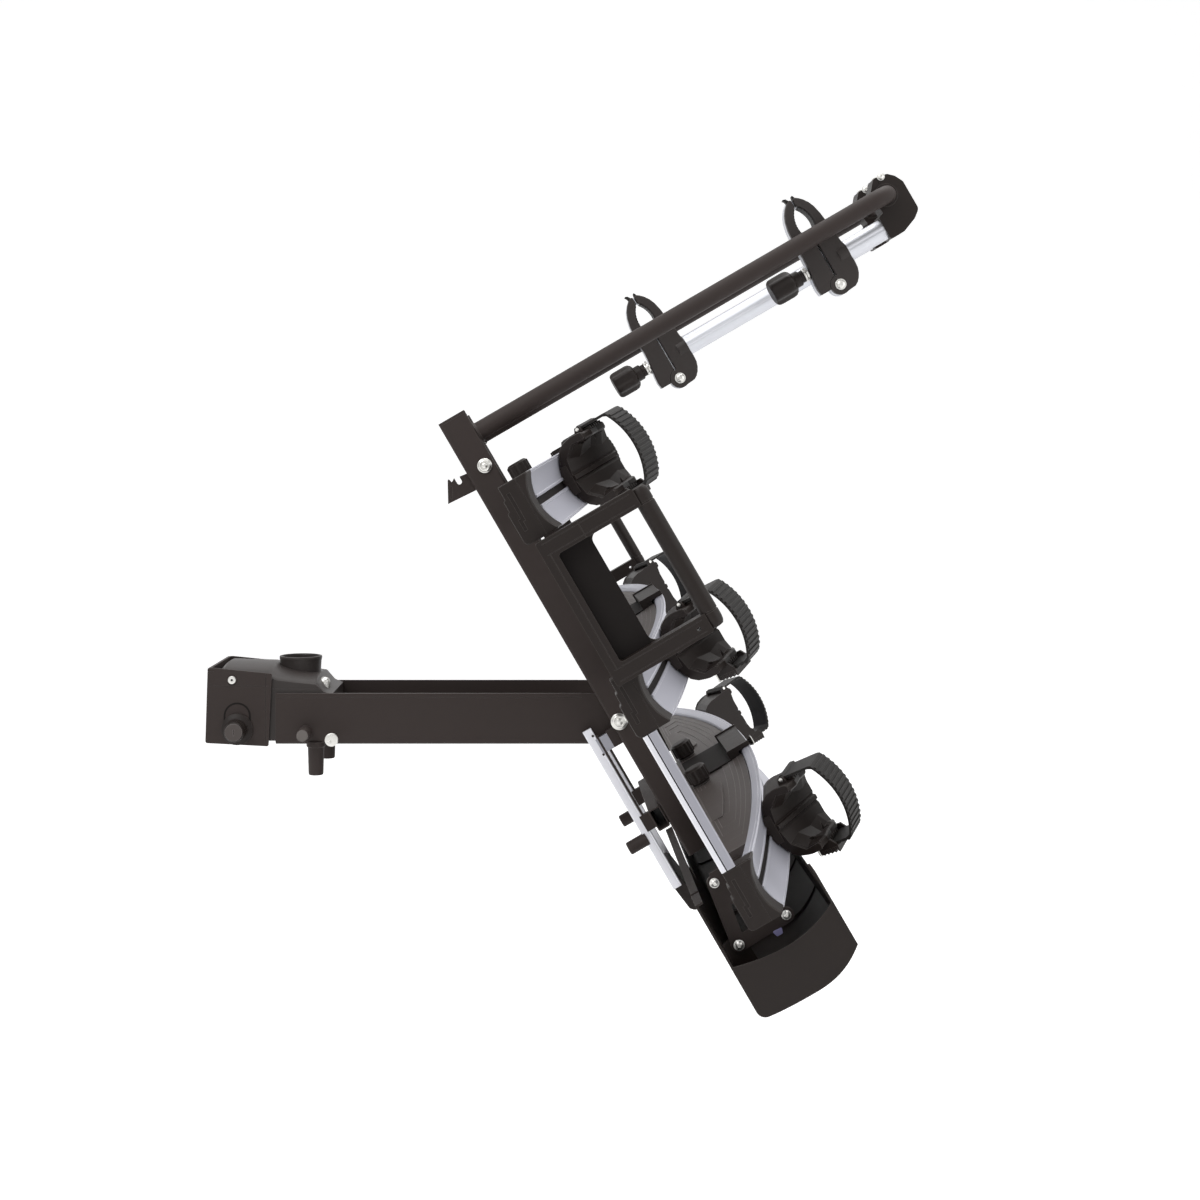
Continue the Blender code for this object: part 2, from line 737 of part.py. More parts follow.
def latch_hook(platform):
    """The notched hook under the near rail that catches the latch pin, with its bolt."""
    eye = arc((HOOK_BOLT_A, HOOK_BOLT_HEIGHT), HOOK_EYE, -20, 200, 10)
    room = LATCH_PIN_RADIUS + 1.5 * RUNNING
    notch = [(LATCH_A - 0.0061, LATCH_HEIGHT + room)]
    notch += arc((LATCH_A, LATCH_HEIGHT), room, 90, -90, 6)
    prong = [(LATCH_A - 0.0080, LATCH_HEIGHT - room), (LATCH_A - 0.0045, LATCH_HEIGHT - 0.0092)]
    tip = [(LATCH_A - 0.0103, LATCH_HEIGHT - 0.0107), (LATCH_A - 0.0097, LATCH_HEIGHT - 0.0127)]
    heel = [(LATCH_A + 0.0185, LATCH_HEIGHT - 0.0282), (LATCH_A + 0.0213, RAIL_LOW - 0.001)]
    neck = [(HOOK_BOLT_A - 0.0033, RAIL_LOW)]
    outline = eye + neck + notch + prong + tip + heel
    middle = -RAIL_MIDDLE
    hook = prism("latch_hook", outline, middle - HOOK_PLATE / 2, middle + HOOK_PLATE / 2)
    inner = RAIL_INNER - RAIL_SIDE_GAP / 2
    profile = [
        (HOOK_HEAD * 0.6, -RAIL_OUTER - 0.0070),
        (HOOK_HEAD * 0.78, -RAIL_OUTER - 0.0055),
        (HOOK_HEAD, -RAIL_OUTER - 0.0020),
        (HOOK_HEAD, -RAIL_OUTER - GAP),
        (HOOK_BOLT_RADIUS, -RAIL_OUTER - GAP),
        (HOOK_BOLT_RADIUS, -inner),
    ]
    fuse(hook, turned("hook_bolt", profile, (HOOK_BOLT_A, HOOK_BOLT_HEIGHT), "Y", 14))
    keep(hook, "paint", platform, (HOOK_BOLT_A, -RAIL_MIDDLE, HOOK_BOLT_HEIGHT))


def pedal_frame(platform):
    """The hollow cross tube and the two flat strips that hang under the rails."""
    top = RAIL_LOW - GAP
    low = top - CROSS_TUBE_HEIGHT
    wall = CROSS_TUBE_WALL
    span = (-RAIL_OUTER, RAIL_OUTER)
    frame = block("pedal_frame", (CROSS_TUBE_FRONT, CROSS_TUBE_REAR), span, (low, top))
    carve(
        frame,
        block(
            "tube_hollow",
            (CROSS_TUBE_FRONT + wall, CROSS_TUBE_REAR - wall),
            (-RAIL_OUTER - 0.01, RAIL_OUTER + 0.01),
            (low + wall, top - wall),
        ),
    )
    strip_top = STRIP_LOW + STRIP_HEIGHT
    for side in (-1, 1):
        y = both(side, STRIP_Y - STRIP_WIDTH / 2, STRIP_Y + STRIP_WIDTH / 2)
        strip = block("strip", (STRIP_FRONT, PEDAL_AXLE_A + 0.006), y, (STRIP_LOW, strip_top))
        lug = both(side, STRIP_Y - STRIP_WIDTH / 2 - 0.002, STRIP_Y + STRIP_WIDTH / 2 + 0.002)
        hanger = block("hanger", (HANGER_FRONT, HANGER_REAR), lug, (strip_top - 0.004, top))
        post_x = (CROSS_TUBE_FRONT + 0.004, CROSS_TUBE_REAR - 0.004)
        post = block("post", post_x, lug, (strip_top - 0.004, low + wall / 2))
        profile = [
            (FOOT_RADIUS - 0.0015, STRIP_LOW - FOOT_HEIGHT),
            (FOOT_RADIUS, STRIP_LOW - FOOT_HEIGHT + 0.002),
            (FOOT_RADIUS, STRIP_LOW + 0.004),
        ]
        foot = turned("foot", profile, (FOOT_A, side * STRIP_Y), "Z", 14)
        fuse(frame, strip, hanger, post, foot)
    reach = STRIP_Y + STRIP_WIDTH / 4
    axle = rod("axle", (PEDAL_AXLE_A, PEDAL_AXLE_HEIGHT), PEDAL_AXLE_RADIUS, -reach, reach, steps=12)
    fuse(frame, axle)
    keep(frame, "silver", platform)


def foot_pedal(platform):
    """The ribbed tilt pedal on the rear axle of the pedal frame."""
    spot = (PEDAL_AXLE_A, PEDAL_AXLE_HEIGHT)
    hub = arc(spot, 0.0078, 110, 290, 9)
    end = PEDAL_AXLE_A + PEDAL_LENGTH
    ribs = []
    for i in range(5):
        start = PEDAL_AXLE_A + 0.020 + i * 0.006
        ribs += [(start, PEDAL_AXLE_HEIGHT + 0.0105), (start + 0.002, PEDAL_AXLE_HEIGHT + 0.0125)]
        ribs += [(start + 0.004, PEDAL_AXLE_HEIGHT + 0.0125)]
    tail = [(end, PEDAL_AXLE_HEIGHT + 0.0105), (end, PEDAL_AXLE_HEIGHT + 0.004)]
    under = [(end - 0.006, PEDAL_AXLE_HEIGHT - 0.002), (PEDAL_AXLE_A + 0.016, PEDAL_AXLE_HEIGHT - 0.006)]
    outline = hub + list(reversed(under)) + list(reversed(tail)) + list(reversed(ribs))
    pedal = prism("foot_pedal", outline, -PEDAL_HALF, PEDAL_HALF)
    carve(pedal, rod("bore", spot, PEDAL_AXLE_RADIUS + RUNNING, -0.1, 0.1, steps=12))
    keep(pedal, "plastic", platform, (PEDAL_AXLE_A, 0, PEDAL_AXLE_HEIGHT))


# Trays and what carries them
def on_arch(a, y, n):
    """A point given where it crosses the middle, carried round the arch to y."""
    turn = math.asin(y / ARCH_RADIUS)
    reach = n - ARCH_CENTRE
    return (a, reach * math.sin(turn), ARCH_CENTRE + reach * math.cos(turn))


def arched(name, section, low, high, steps):
    """Sweep a section of (a, n) points along the arch of the trays."""
    stations = [low + (high - low) * i / steps for i in range(steps + 1)]
    return loft(name, [[on_arch(a, y, n) for a, n in section] for y in stations])


def gutter_height(u):
    """Height of the round gutter over its lowest line, at a distance from that line."""
    half = TRAY_HALF_WIDTH - TRAY_LIP
    radius = (half**2 + GUTTER_DEPTH**2) / (2 * GUTTER_DEPTH)
    return radius - math.sqrt(radius**2 - u**2)


def tray(name, place, platform):
    """One extruded wheel gutter with its centre slot, rolled to the arch."""
    floor = ARCH_LIP - GUTTER_DEPTH
    half = TRAY_HALF_WIDTH
    bed = [half - TRAY_LIP, (half - TRAY_LIP) * 0.68, (half - TRAY_LIP) * 0.38, SLOT_HALF]
    right = [(half - 0.006, ARCH_LIP - TRAY_DEPTH), (half, ARCH_LIP - TRAY_DEPTH + 0.006)]
    right += [(half, ARCH_LIP)]
    right += [(u, floor + gutter_height(u)) for u in bed]
    right += [(SLOT_HALF, floor - SLOT_DEPTH)]
    section = [(place + u, n) for u, n in mirrored(right)]
    gutter = arched(name, section, -TRAY_HALF_LENGTH, TRAY_HALF_LENGTH, TRAY_STEPS)
    keep(gutter, "silver", platform)


def saddle_arc(drop, half_length, steps):
    """Points (y, n) of an arc that runs below the trays."""
    radius = ARCH_RADIUS - TRAY_DEPTH - ARCH_SEAT - drop
    points = []
    for i in range(steps + 1):
        y = -half_length + 2 * half_length * i / steps
        points.append((y, ARCH_CENTRE + math.sqrt(radius**2 - y**2)))
    return points


def saddle_face(band, steps):
    """A D-shaped face, set in from the edge of the saddle by a band."""
    half = SADDLE_HALF_LENGTH - SADDLE_END_SLOPE * band
    crown = saddle_arc(band, half, steps)
    chord = SADDLE_CHORD + SADDLE_FOOT_SLOPE * band
    return crown + [(half, chord), (-half, chord)]


def tray_saddle(name, place, platform):
    """The moulded D-shaped saddle: stepped cheeks, rail pads and the bracket that grips the tray."""
    ends = (place - SADDLE_HALF_WIDTH, place + SADDLE_HALF_WIDTH)
    saddle = prism(name, saddle_face(0, 12), ends[0], ends[1], "X")
    inner = saddle_arc(SADDLE_WALL, SADDLE_HALF_LENGTH - SADDLE_WALL, 12)
    inner += [(SADDLE_HALF_LENGTH - SADDLE_WALL, 0), (SADDLE_WALL - SADDLE_HALF_LENGTH, 0)]
    carve(saddle, prism("hollow", inner, ends[0] + SADDLE_WALL, ends[1] - SADDLE_WALL, "X"))
    for step in (1, 2):
        face = saddle_face(step * SADDLE_BAND, 6)
        depth = step * SADDLE_STEP
        carve(
            saddle,
            prism("step", face, ends[0] - 0.01, ends[0] + depth, "X"),
            prism("step", face, ends[1] - depth, ends[1] + 0.01, "X"),
        )
    for side in (-1, 1):
        y = both(side, RAIL_INNER, RAIL_OUTER + 0.006)
        pad = block("rail_pad", (ends[0] + 0.003, ends[1] - 0.003), y, (RAIL_HIGH + GAP, PAD_TOP))
        spot = (side * TRAY_KNOB_Y, TRAY_KNOB_HEIGHT)
        fuse(saddle, pad)
        bore = rod("stud_bore", spot, STUD_RADIUS + RUNNING, ends[0] - 0.01, place, "X", 12)
        seat = rod("knob_seat", spot, 0.009, ends[0], ends[0] + 0.008, "X", 12)
        fuse(saddle, seat)
        carve(saddle, bore)
    cheek = TRAY_HALF_WIDTH + GAP
    outside = cheek + BRACKET_CHEEK
    side_n = ARCH_LIP - TRAY_DEPTH + BRACKET_GRIP
    bend = ARCH_LIP - TRAY_DEPTH - 0.0042
    grip = mirrored(
        [(outside, bend - BRACKET_ROOT), (outside, side_n), (cheek, side_n), (cheek, bend)]
    )
    section = [(place + u, n) for u, n in grip]
    fuse(saddle, prism("bracket", section, -BRACKET_HALF, BRACKET_HALF))
    keep(saddle, "plastic", platform)


def tray_knob(name, place, side, platform):
    """A fluted hand knob whose stud runs into the saddle."""
    face = place - SADDLE_HALF_WIDTH - 2 * GAP
    spot = (side * TRAY_KNOB_Y, TRAY_KNOB_HEIGHT)

    def fluted(offset, scale):
        ring = []
        for i in range(24):
            turn = 2 * math.pi * i / 24
            radius = scale * (TRAY_KNOB_RADIUS - 0.0007 * (1 - math.cos(8 * turn)))
            y = spot[0] + radius * math.cos(turn)
            ring.append((offset, y, spot[1] + radius * math.sin(turn)))
        return ring

    end = face - TRAY_KNOB_LENGTH
    knob = loft(name, [fluted(end, 0.86), fluted(end + 0.003, 1), fluted(face, 0.92)])
    fuse(knob, rod("stud", spot, STUD_RADIUS, face - 0.005, face + 0.018, "X", 10))
    keep(knob, "plastic", platform, (face, spot[0], spot[1]))


def tray_cap(name, place, side, platform):
    """The moulded end cap of a tray, with its crescent top and its stepped foot."""
    half = TRAY_HALF_WIDTH
    bed = [half - TRAY_LIP, 0.022, 0.011, 0]
    foot = [
        (-half, CAP_BOTTOM + CAP_STEP),
        (-0.006, CAP_BOTTOM + CAP_STEP),
        (-0.003, CAP_BOTTOM),
        (half - 0.005, CAP_BOTTOM),
        (half, CAP_BOTTOM + 0.005),
    ]
    rings = []
    for y in (CAP_INNER, CAP_OUTER):
        lip = ARCH_CENTRE + math.sqrt(ARCH_RADIUS**2 - y**2)
        crescent = [(half, lip)]
        crescent += [(u, lip - GUTTER_DEPTH + gutter_height(u)) for u in bed]
        outline = crescent + [(-u, v) for u, v in reversed(crescent[:-1])] + foot
        rings.append([(place + u, side * y, v) for u, v in outline])
    cap = loft(name, rings)
    recess = both(side, CAP_OUTER - 0.0016, CAP_OUTER + 0.01)
    panel = [(-0.024, 0.0305), (0.006, 0.0305), (0.006, 0.0275), (0.020, 0.0275), (0.020, 0.0315)]
    panel += [(0.010, 0.0315), (0.010, 0.0345), (-0.024, 0.0345)]
    carve(cap, prism("panel", [(place + u, v) for u, v in panel], recess[0], recess[1]))
    keep(cap, "plastic", platform)


def side_handle(name, side, platform):
    """The lifting handle between the first two caps, with its open window and round grip."""
    y = both(side, HANDLE_INNER, HANDLE_INNER + HANDLE_THICK)
    front = HANDLE_REACH_FRONT
    rear = HANDLE_REACH_REAR
    corners = [(front, HANDLE_BASE, 0.003), (rear, HANDLE_BASE, 0.003)]
    corners += [(rear, GRIP_HEIGHT, 0.006), (front, GRIP_HEIGHT, 0.006)]
    handle = prism(name, rounded(corners, 3), y[0], y[1])
    inner = (front + HANDLE_ARM, rear - HANDLE_ARM)
    window = [(inner[0], HANDLE_SILL, 0.008), (inner[1], HANDLE_SILL, 0.008)]
    window += [(inner[1], GRIP_HEIGHT - 0.003, 0.010), (inner[0], GRIP_HEIGHT - 0.003, 0.010)]
    sill = HANDLE_BASE + 0.018
    pocket = [(inner[0], sill), (inner[1], sill), (inner[1], HANDLE_SILL + 0.015)]
    pocket += [(inner[0], HANDLE_SILL + 0.015)]
    deep = both(side, HANDLE_INNER + 0.006, HANDLE_INNER + HANDLE_THICK + 0.01)
    carve(
        handle,
        prism("window", rounded(window, 3), y[0] - 0.01, y[1] + 0.01),
        prism("pocket", pocket, deep[0], deep[1]),
    )
    middle = side * (HANDLE_INNER + HANDLE_THICK / 2)
    r = GRIP_RADIUS
    profile = [
        (r * 0.45, front + 0.002),
        (r * 0.86, front + 0.0045),
        (r, front + 0.010),
        (r, rear - 0.010),
        (r * 0.86, rear - 0.0045),
        (r * 0.45, rear - 0.002),
    ]
    fuse(handle, turned("grip", profile, (middle, GRIP_HEIGHT), "X", 16))
    hole = (rear - HANDLE_PIN_INSET, GRIP_HEIGHT - HANDLE_PIN_DROP)
    carve(handle, rod("pin_hole", hole, 0.0022, y[0] - 0.01, y[1] + 0.01, steps=8))
    keep(handle, "plastic", platform)


def side_rail(name, side, platform):
    """The grooved aluminium bar between the second and third caps."""
    front = TRAY_A[1] + TRAY_HALF_WIDTH + GAP
    rear = TRAY_A[2] - TRAY_HALF_WIDTH - GAP
    outer = side * CAP_OUTER
    inner = side * (CAP_OUTER - SIDE_RAIL_WIDTH)
    groove = side * (CAP_OUTER - SIDE_RAIL_GROOVE)
    split = SIDE_RAIL_LOW + 0.0096
    top = SIDE_RAIL_LOW + SIDE_RAIL_HEIGHT
    outline = [
        (inner, SIDE_RAIL_LOW),
        (outer, SIDE_RAIL_LOW),
        (outer, split),
        (groove, split + 0.0004),
        (groove, split + 0.0015),
        (outer, split + 0.0019),
        (outer, top),
        (inner, top),
    ]
    keep(prism(name, outline, front, rear, "X"), "bright", platform)


# Wheel holders
def holder_frame(place, side):
    """The axes of one wheel holder: where it sits, across the tyre, along it and away from it."""
    spot = Vector(on_arch(place, side * HOLDER_Y, ARCH_LIP - GUTTER_DEPTH + HOLDER_LIFT))
    along = Vector((0, -side * math.cos(HOLDER_TILT), math.sin(HOLDER_TILT)))
    away = Vector((0, side * math.sin(HOLDER_TILT), math.cos(HOLDER_TILT)))

    def point(u, v, w):
        return tuple(spot + Vector((u, 0, 0)) + away * v + along * w)

    return point


def cradle_section(drop, swell, depth, floor):
    """The cradle at one station along the tyre: its outer walls and the trough between them."""
    half = CRADLE_HALF
    top = CRADLE_TOP - depth
    base = -HOLDER_LIFT + 0.0012 + drop
    right = [
        (0.010, base + gutter_height(0.010)),
        (0.026, base + gutter_height(0.026) + 0.001),
        (0.036, base + GUTTER_DEPTH + 0.003),
        (half - 0.001, base + GUTTER_DEPTH + 0.016),
        (half - 0.0015, 0.024),
    ]
    for i in range(3):
        low = 0.028 + i * (CRADLE_TOP - 0.034) / 3
        right += [(half, low), (half - 0.0015, low + 0.0055)]
    right += [(half - 0.002, top), (half - CRADLE_WALL - 0.004, top)]
    right += [(half - CRADLE_WALL - swell, floor + 0.45 * (top - floor))]
    right += [(half / 2 - swell, floor + 0.06 * (top - floor)), (0.006, floor)]
    return mirrored(right)


def wheel_cradle(name, place, side, platform):
    """The moulded cradle: a faceted scoop for the tyre on a foot that slides in the tray."""
    point = holder_frame(place, side)
    lean = HOLDER_TILT - math.asin(HOLDER_Y / ARCH_RADIUS)
    rings = []
    for w, swell, depth in (
        (CRADLE_OUTER, 0.0000, 0.006),
        (CRADLE_OUTER * 0.45, 0.0050, 0.001),
        (CRADLE_INNER * 0.20, 0.0010, 0.003),
        (CRADLE_INNER * 0.65, 0.0055, 0.000),
        (CRADLE_INNER, 0.0020, 0.005),
    ):
        drop = -w * math.tan(lean)
        floor = CRADLE_FLOOR + CRADLE_RISE * (w - CRADLE_OUTER) / (CRADLE_INNER - CRADLE_OUTER)
        rings.append([point(u, v, w) for u, v in cradle_section(drop, swell, depth, floor)])
    cradle = loft(name, rings)
    floor = ARCH_LIP - GUTTER_DEPTH
    right = [(0.018, floor + 0.010), (0.018, floor + gutter_height(0.018) + ARCH_SEAT)]
    right += [(0.008, floor + gutter_height(0.008) + ARCH_SEAT)]
    right += [(SLOT_HALF - ARCH_SEAT, floor + ARCH_SEAT), (SLOT_HALF - ARCH_SEAT, floor - 0.002)]
    section = [(place + u, n) for u, n in mirrored(right)]
    middle = side * HOLDER_Y
    foot = arched("foot", section, middle - FOOT_LENGTH / 2, middle + FOOT_LENGTH / 2, 1)
    fuse(cradle, foot)
    hinge_u = -CRADLE_HALF - GAP - STRAP_KNUCKLE
    lug = [(-CRADLE_HALF + 0.002, STRAP_HINGE_V - 0.007), (-CRADLE_HALF + 0.002, STRAP_HINGE_V + 0.006)]
    lug += [(hinge_u - 0.0025, STRAP_HINGE_V + 0.003), (hinge_u - 0.0025, STRAP_HINGE_V - 0.003)]
    for ends in (
        (STRAP_OUTER - GAP - 0.004, STRAP_OUTER - GAP),
        (STRAP_INNER + GAP, CRADLE_INNER - 0.0002),
    ):
        fuse(cradle, loft("lug", [[point(u, v, w) for u, v in lug] for w in ends]))
    pin = circle((hinge_u, STRAP_HINGE_V), STRAP_PIN, 8)
    stations = (STRAP_OUTER - 0.002, STRAP_INNER + 0.002)
    fuse(cradle, loft("pin", [[point(u, v, w) for u, v in pin] for w in stations]))
    keep(cradle, "plastic", platform, on_arch(place, side * HOLDER_Y, ARCH_LIP))


def strap_outline():
    """Side view of the strap: a toothed crown between two legs, with its hinge knuckle."""
    leg = CRADLE_HALF + GAP + STRAP_KNUCKLE
    outer = leg + STRAP_THICK / 2
    inner = leg - STRAP_THICK / 2
    radius = (outer**2 + STRAP_CROWN**2) / (2 * STRAP_CROWN)
    middle = STRAP_SHOULDER + STRAP_CROWN - radius
    half = math.degrees(math.asin(outer / radius))
    crown = []
    for i in range(TEETH):
        turn = math.radians(90 + half - 2 * half * (i + 0.5) / TEETH)
        fall = math.radians(90 + half - 2 * half * (i + 0.85) / TEETH)
        crown.append((radius * math.cos(turn), middle + radius * math.sin(turn)))
        crown.append(((radius - 0.0009) * math.cos(fall), middle + (radius - 0.0009) * math.sin(fall)))
    under = arc((0, middle), radius - STRAP_THICK, 90 - half * 0.90, 90 + half * 0.90, 5)
    left = [(-outer, STRAP_HINGE_V), (-outer, STRAP_SHOULDER - 0.004)]
    right = [(outer, STRAP_SHOULDER - 0.004), (outer, STRAP_FREE_END), (inner, STRAP_FREE_END)]
    right += [(inner, STRAP_SHOULDER - 0.006)]
    return left + crown + right + under + [(-inner, STRAP_SHOULDER - 0.006), (-inner, STRAP_HINGE_V)]


def wheel_strap(name, place, side, platform):
    """The toothed strap over the tyre, hinged on the cradle's pin."""
    point = holder_frame(place, side)
    outline = strap_outline()
    strap = loft(name, [[point(u, v, w) for u, v in outline] for w in (STRAP_OUTER, STRAP_INNER)])
    hinge_u = -CRADLE_HALF - GAP - STRAP_KNUCKLE
    hub = circle((hinge_u, STRAP_HINGE_V), STRAP_KNUCKLE, 10)
    fuse(strap, loft("knuckle", [[point(u, v, w) for u, v in hub] for w in (STRAP_OUTER, STRAP_INNER)]))
    bore = circle((hinge_u, STRAP_HINGE_V), STRAP_PIN + RUNNING, 10)
    ends = (STRAP_OUTER - 0.01, STRAP_INNER + 0.01)
    carve(strap, loft("bore", [[point(u, v, w) for u, v in bore] for w in ends]))
    keep(strap, "rubber", platform, point(hinge_u, STRAP_HINGE_V, 0))


# Bike arms
def top_clamp(name, y, platform):
    """The block that holds one arm on the crossbar."""
    corners = [
        (-0.4478, 0.6629, 0),
        (-0.4630, 0.6756, 0.004),
        (-0.4597, 0.6953, 0.005),
        (-0.4518, 0.7036, 0.004),
        (-0.4398, 0.7097, 0.004),
        (-0.3964, 0.7096, 0.008),
        (-0.3874, 0.6984, 0),
        (-0.3790, 0.6770, 0),
        (-0.3790, 0.6555, 0.003),
        (-0.4126, 0.6555, 0.002),
        (-0.4155, 0.6640, 0),
        (-0.4345, CROSSBAR_HEIGHT - 0.0185, 0),
    ]
    shift_a = UPRIGHT_A + 0.4345
    shift_n = CROSSBAR_HEIGHT - 0.680
    outline = rounded([(u + shift_a, v + shift_n, r) for u, v, r in corners], 2)
    clamp = prism(name, outline, y - CLAMP_THICK / 2, y + CLAMP_THICK / 2)
    low = CROSSBAR_HEIGHT - 0.040
    carve(
        clamp,
        rod("bar_bore", (UPRIGHT_A, CROSSBAR_HEIGHT), FRAME_TUBE + RUNNING, y - 0.05, y + 0.05, steps=20),
        rod("arm_bore", (ARM_A, y), ARM_RADIUS + RUNNING, low, CROSSBAR_HEIGHT + 0.004, "Z", 20),
    )
    pivot = (UPRIGHT_A - 0.0258, CROSSBAR_HEIGHT + 0.0061)
    head = CLAMP_THICK / 2
    profile = [
        (0.0030, y - head - 0.0028),
        (0.0055, y - head - 0.0010),
        (0.0055, y + head + 0.0010),
        (0.0030, y + head + 0.0028),
    ]
    stub = turned("stub", profile, pivot, "Y", 12)
    fuse(clamp, stub)
    keep(clamp, "plastic", platform, (UPRIGHT_A, y, CROSSBAR_HEIGHT))


def arm_tube(name, y, slit, platform):
    """The aluminium tube of one arm, from its top clamp down to its bike clamp."""
    low = slit + COLLAR_HEIGHT + GAP
    high = CROSSBAR_HEIGHT + 0.004 - GAP
    tube = rod(name, (ARM_A, y), ARM_RADIUS, low, high, "Z", 20)
    bore = rod("bore", (ARM_A, y), ARM_RADIUS - ARM_WALL, low - 0.01, high + 0.01, "Z", 12)
    carve(tube, bore)
    keep(tube, "bright", platform, (UPRIGHT_A, y, CROSSBAR_HEIGHT))


def jaw_outline():
    """The upper half of the bike clamp: body, eye and curved finger, above the slit."""
    middle = (EYE_FRONT + EYE_REAR) / 2
    half = (EYE_REAR - EYE_FRONT) / 2
    rise = EYE_RISE - SLIT_HALF
    radius = (half**2 + rise**2) / (2 * rise)
    spread = math.degrees(math.asin(half / radius))
    eye = arc((middle, SLIT_HALF + rise - radius), radius, 90 - spread, 90 + spread, 8)
    finger = [(EYE_FRONT - 0.0100, SLIT_HALF), (EYE_FRONT - 0.0120, 0.0065)]
    finger += [(EYE_FRONT - 0.0040, 0.0165), (EYE_FRONT + 0.0120, 0.0235)]
    back = [(-0.050, 0.0265), (-0.022, 0.0262), (0.005, 0.0285), (0.027, 0.0310)]
    back += [(0.040, 0.0270), (0.0480, 0.0175), (KNUCKLE_A + KNUCKLE_RADIUS - 0.0005, SLIT_HALF)]
    return [(EYE_REAR + 0.0001, SLIT_HALF)] + eye[1:-1] + [(EYE_FRONT, SLIT_HALF)] + finger + back


def upper_jaw(name, y, slit, platform):
    """The fixed jaw: fork cheeks, hinge pin and the seat of the arm tube."""
    half = JAW_THICK / 2
    outline = [(ARM_A + u, slit + v) for u, v in jaw_outline()]
    jaw = prism(name, outline, y - half, y + half)
    pin = (ARM_A + KNUCKLE_A, slit)
    seat = rod("seat", (ARM_A, y), ARM_RADIUS + 0.0012, slit + 0.020, slit + COLLAR_HEIGHT, "Z", 20)
    fuse(jaw, seat, rod("cheeks", pin, KNUCKLE_RADIUS, y - half, y + half, steps=18))
    gap = KNUCKLE_HALF + RUNNING
    carve(jaw, rod("fork", pin, KNUCKLE_RADIUS + 0.0006, y - gap, y + gap, steps=18))
    profile = [
        (0.0028, y - half - 0.0028),
        (0.0050, y - half - 0.0012),
        (0.0050, y - half + 0.002),
        (CLAMP_PIN, y - half + 0.002),
        (CLAMP_PIN, y + half - 0.002),
        (0.0050, y + half - 0.002),
        (0.0050, y + half + 0.0012),
        (0.0028, y + half + 0.0028),
    ]
    fuse(jaw, turned("hinge_pin", profile, pin, "Y", 12))
    keep(jaw, "plastic", platform, (UPRIGHT_A, y, CROSSBAR_HEIGHT))


def lower_jaw(name, y, slit, platform):
    """The swinging jaw, a mirror of the upper one, with one knuckle in its fork."""
    half = JAW_THICK / 2
    outline = [(ARM_A + u, slit - v) for u, v in jaw_outline()]
    jaw = prism(name, outline, y - half, y + half)
    pin = (ARM_A + KNUCKLE_A, slit)
    low = slit - 0.05
    carve(jaw, rod("clearance", pin, KNUCKLE_RADIUS + 0.0006, y - 0.05, y + 0.05, steps=18))
    beyond = [(0, 0), (0.05, 0), (0.05, -0.05), (0, -0.05)]
    carve(jaw, prism("rear_clearance", [(pin[0] + u, pin[1] + v) for u, v in beyond], y - 0.05, y + 0.05))
    width = KNUCKLE_HALF
    neck = [(-0.022, -SLIT_HALF), (0, -SLIT_HALF), (0, -KNUCKLE_RADIUS + 0.001), (-0.018, -0.022)]
    fuse(
        jaw,
        rod("knuckle", pin, KNUCKLE_RADIUS - 0.0004, y - width, y + width, steps=18),
        prism("neck", [(pin[0] + u, pin[1] + v) for u, v in neck], y - width, y + width),
    )
    carve(
        jaw,
        rod("pin_bore", pin, CLAMP_PIN + RUNNING, y - 0.05, y + 0.05, steps=14),
        rod("stud_bore", (ARM_A, y), STUD_RADIUS + RUNNING, low, slit + 0.01, "Z", 12),
    )
    keep(jaw, "plastic", platform, (pin[0], y, pin[1]))


def clamp_knob(name, y, slit, platform):
    """The lobed knob under a bike clamp, with its washer and stud."""
    seat = slit - 0.0290 - GAP

    def lobed(offset, scale):
        ring = []
        for i in range(30):
            turn = 2 * math.pi * i / 30
            radius = scale * (KNOB_RADIUS - 0.0014 * (1 - math.cos(6 * turn)))
            ring.append((ARM_A + radius * math.cos(turn), y + radius * math.sin(turn), offset))
        return ring

    top = slit + KNOB_TOP
    bottom = slit + KNOB_BOTTOM
    rings = [lobed(bottom, 0.90), lobed(bottom + 0.004, 1), lobed(top - 0.004, 1), lobed(top, 0.70)]
    knob = loft(name, rings)
    profile = [
        (0.0085, top - 0.001),
        (0.0085, top + 0.005),
        (0.0062, top + 0.005),
        (0.0062, seat - 0.0028),
        (0.0105, seat - 0.0028),
        (0.0105, seat),
        (STUD_RADIUS, seat),
        (STUD_RADIUS, slit - 0.004),
    ]
    fuse(knob, turned("spindle", profile, (ARM_A, y), "Z", 12))
    keep(knob, "plastic", platform, (ARM_A, y, seat))


# Lamp board
def board_outline(inset):
    """Side view of the lamp board's bulging rear skin, set in by its wall."""
    rear = []
    for i in range(BOARD_STEPS + 1):
        share = 2 * i / BOARD_STEPS - 1
        fall = BOARD_FALL_LOW if share < 0 else BOARD_FALL_HIGH
        height = BOARD_TOP - BOARD_BOTTOM - 2 * inset
        n = BOARD_BOTTOM + inset + height * (share + 1) / 2
        rear.append((BOARD_REAR - inset - fall * abs(share) ** 2.4, n, 0))
    rear[0] = (rear[0][0], rear[0][1], BOARD_CORNER)
    toe = (BOARD_REAR - BOARD_FALL_HIGH - BOARD_CORNER, BOARD_BOTTOM + inset, 0)
    return rounded([toe] + rear, 4)


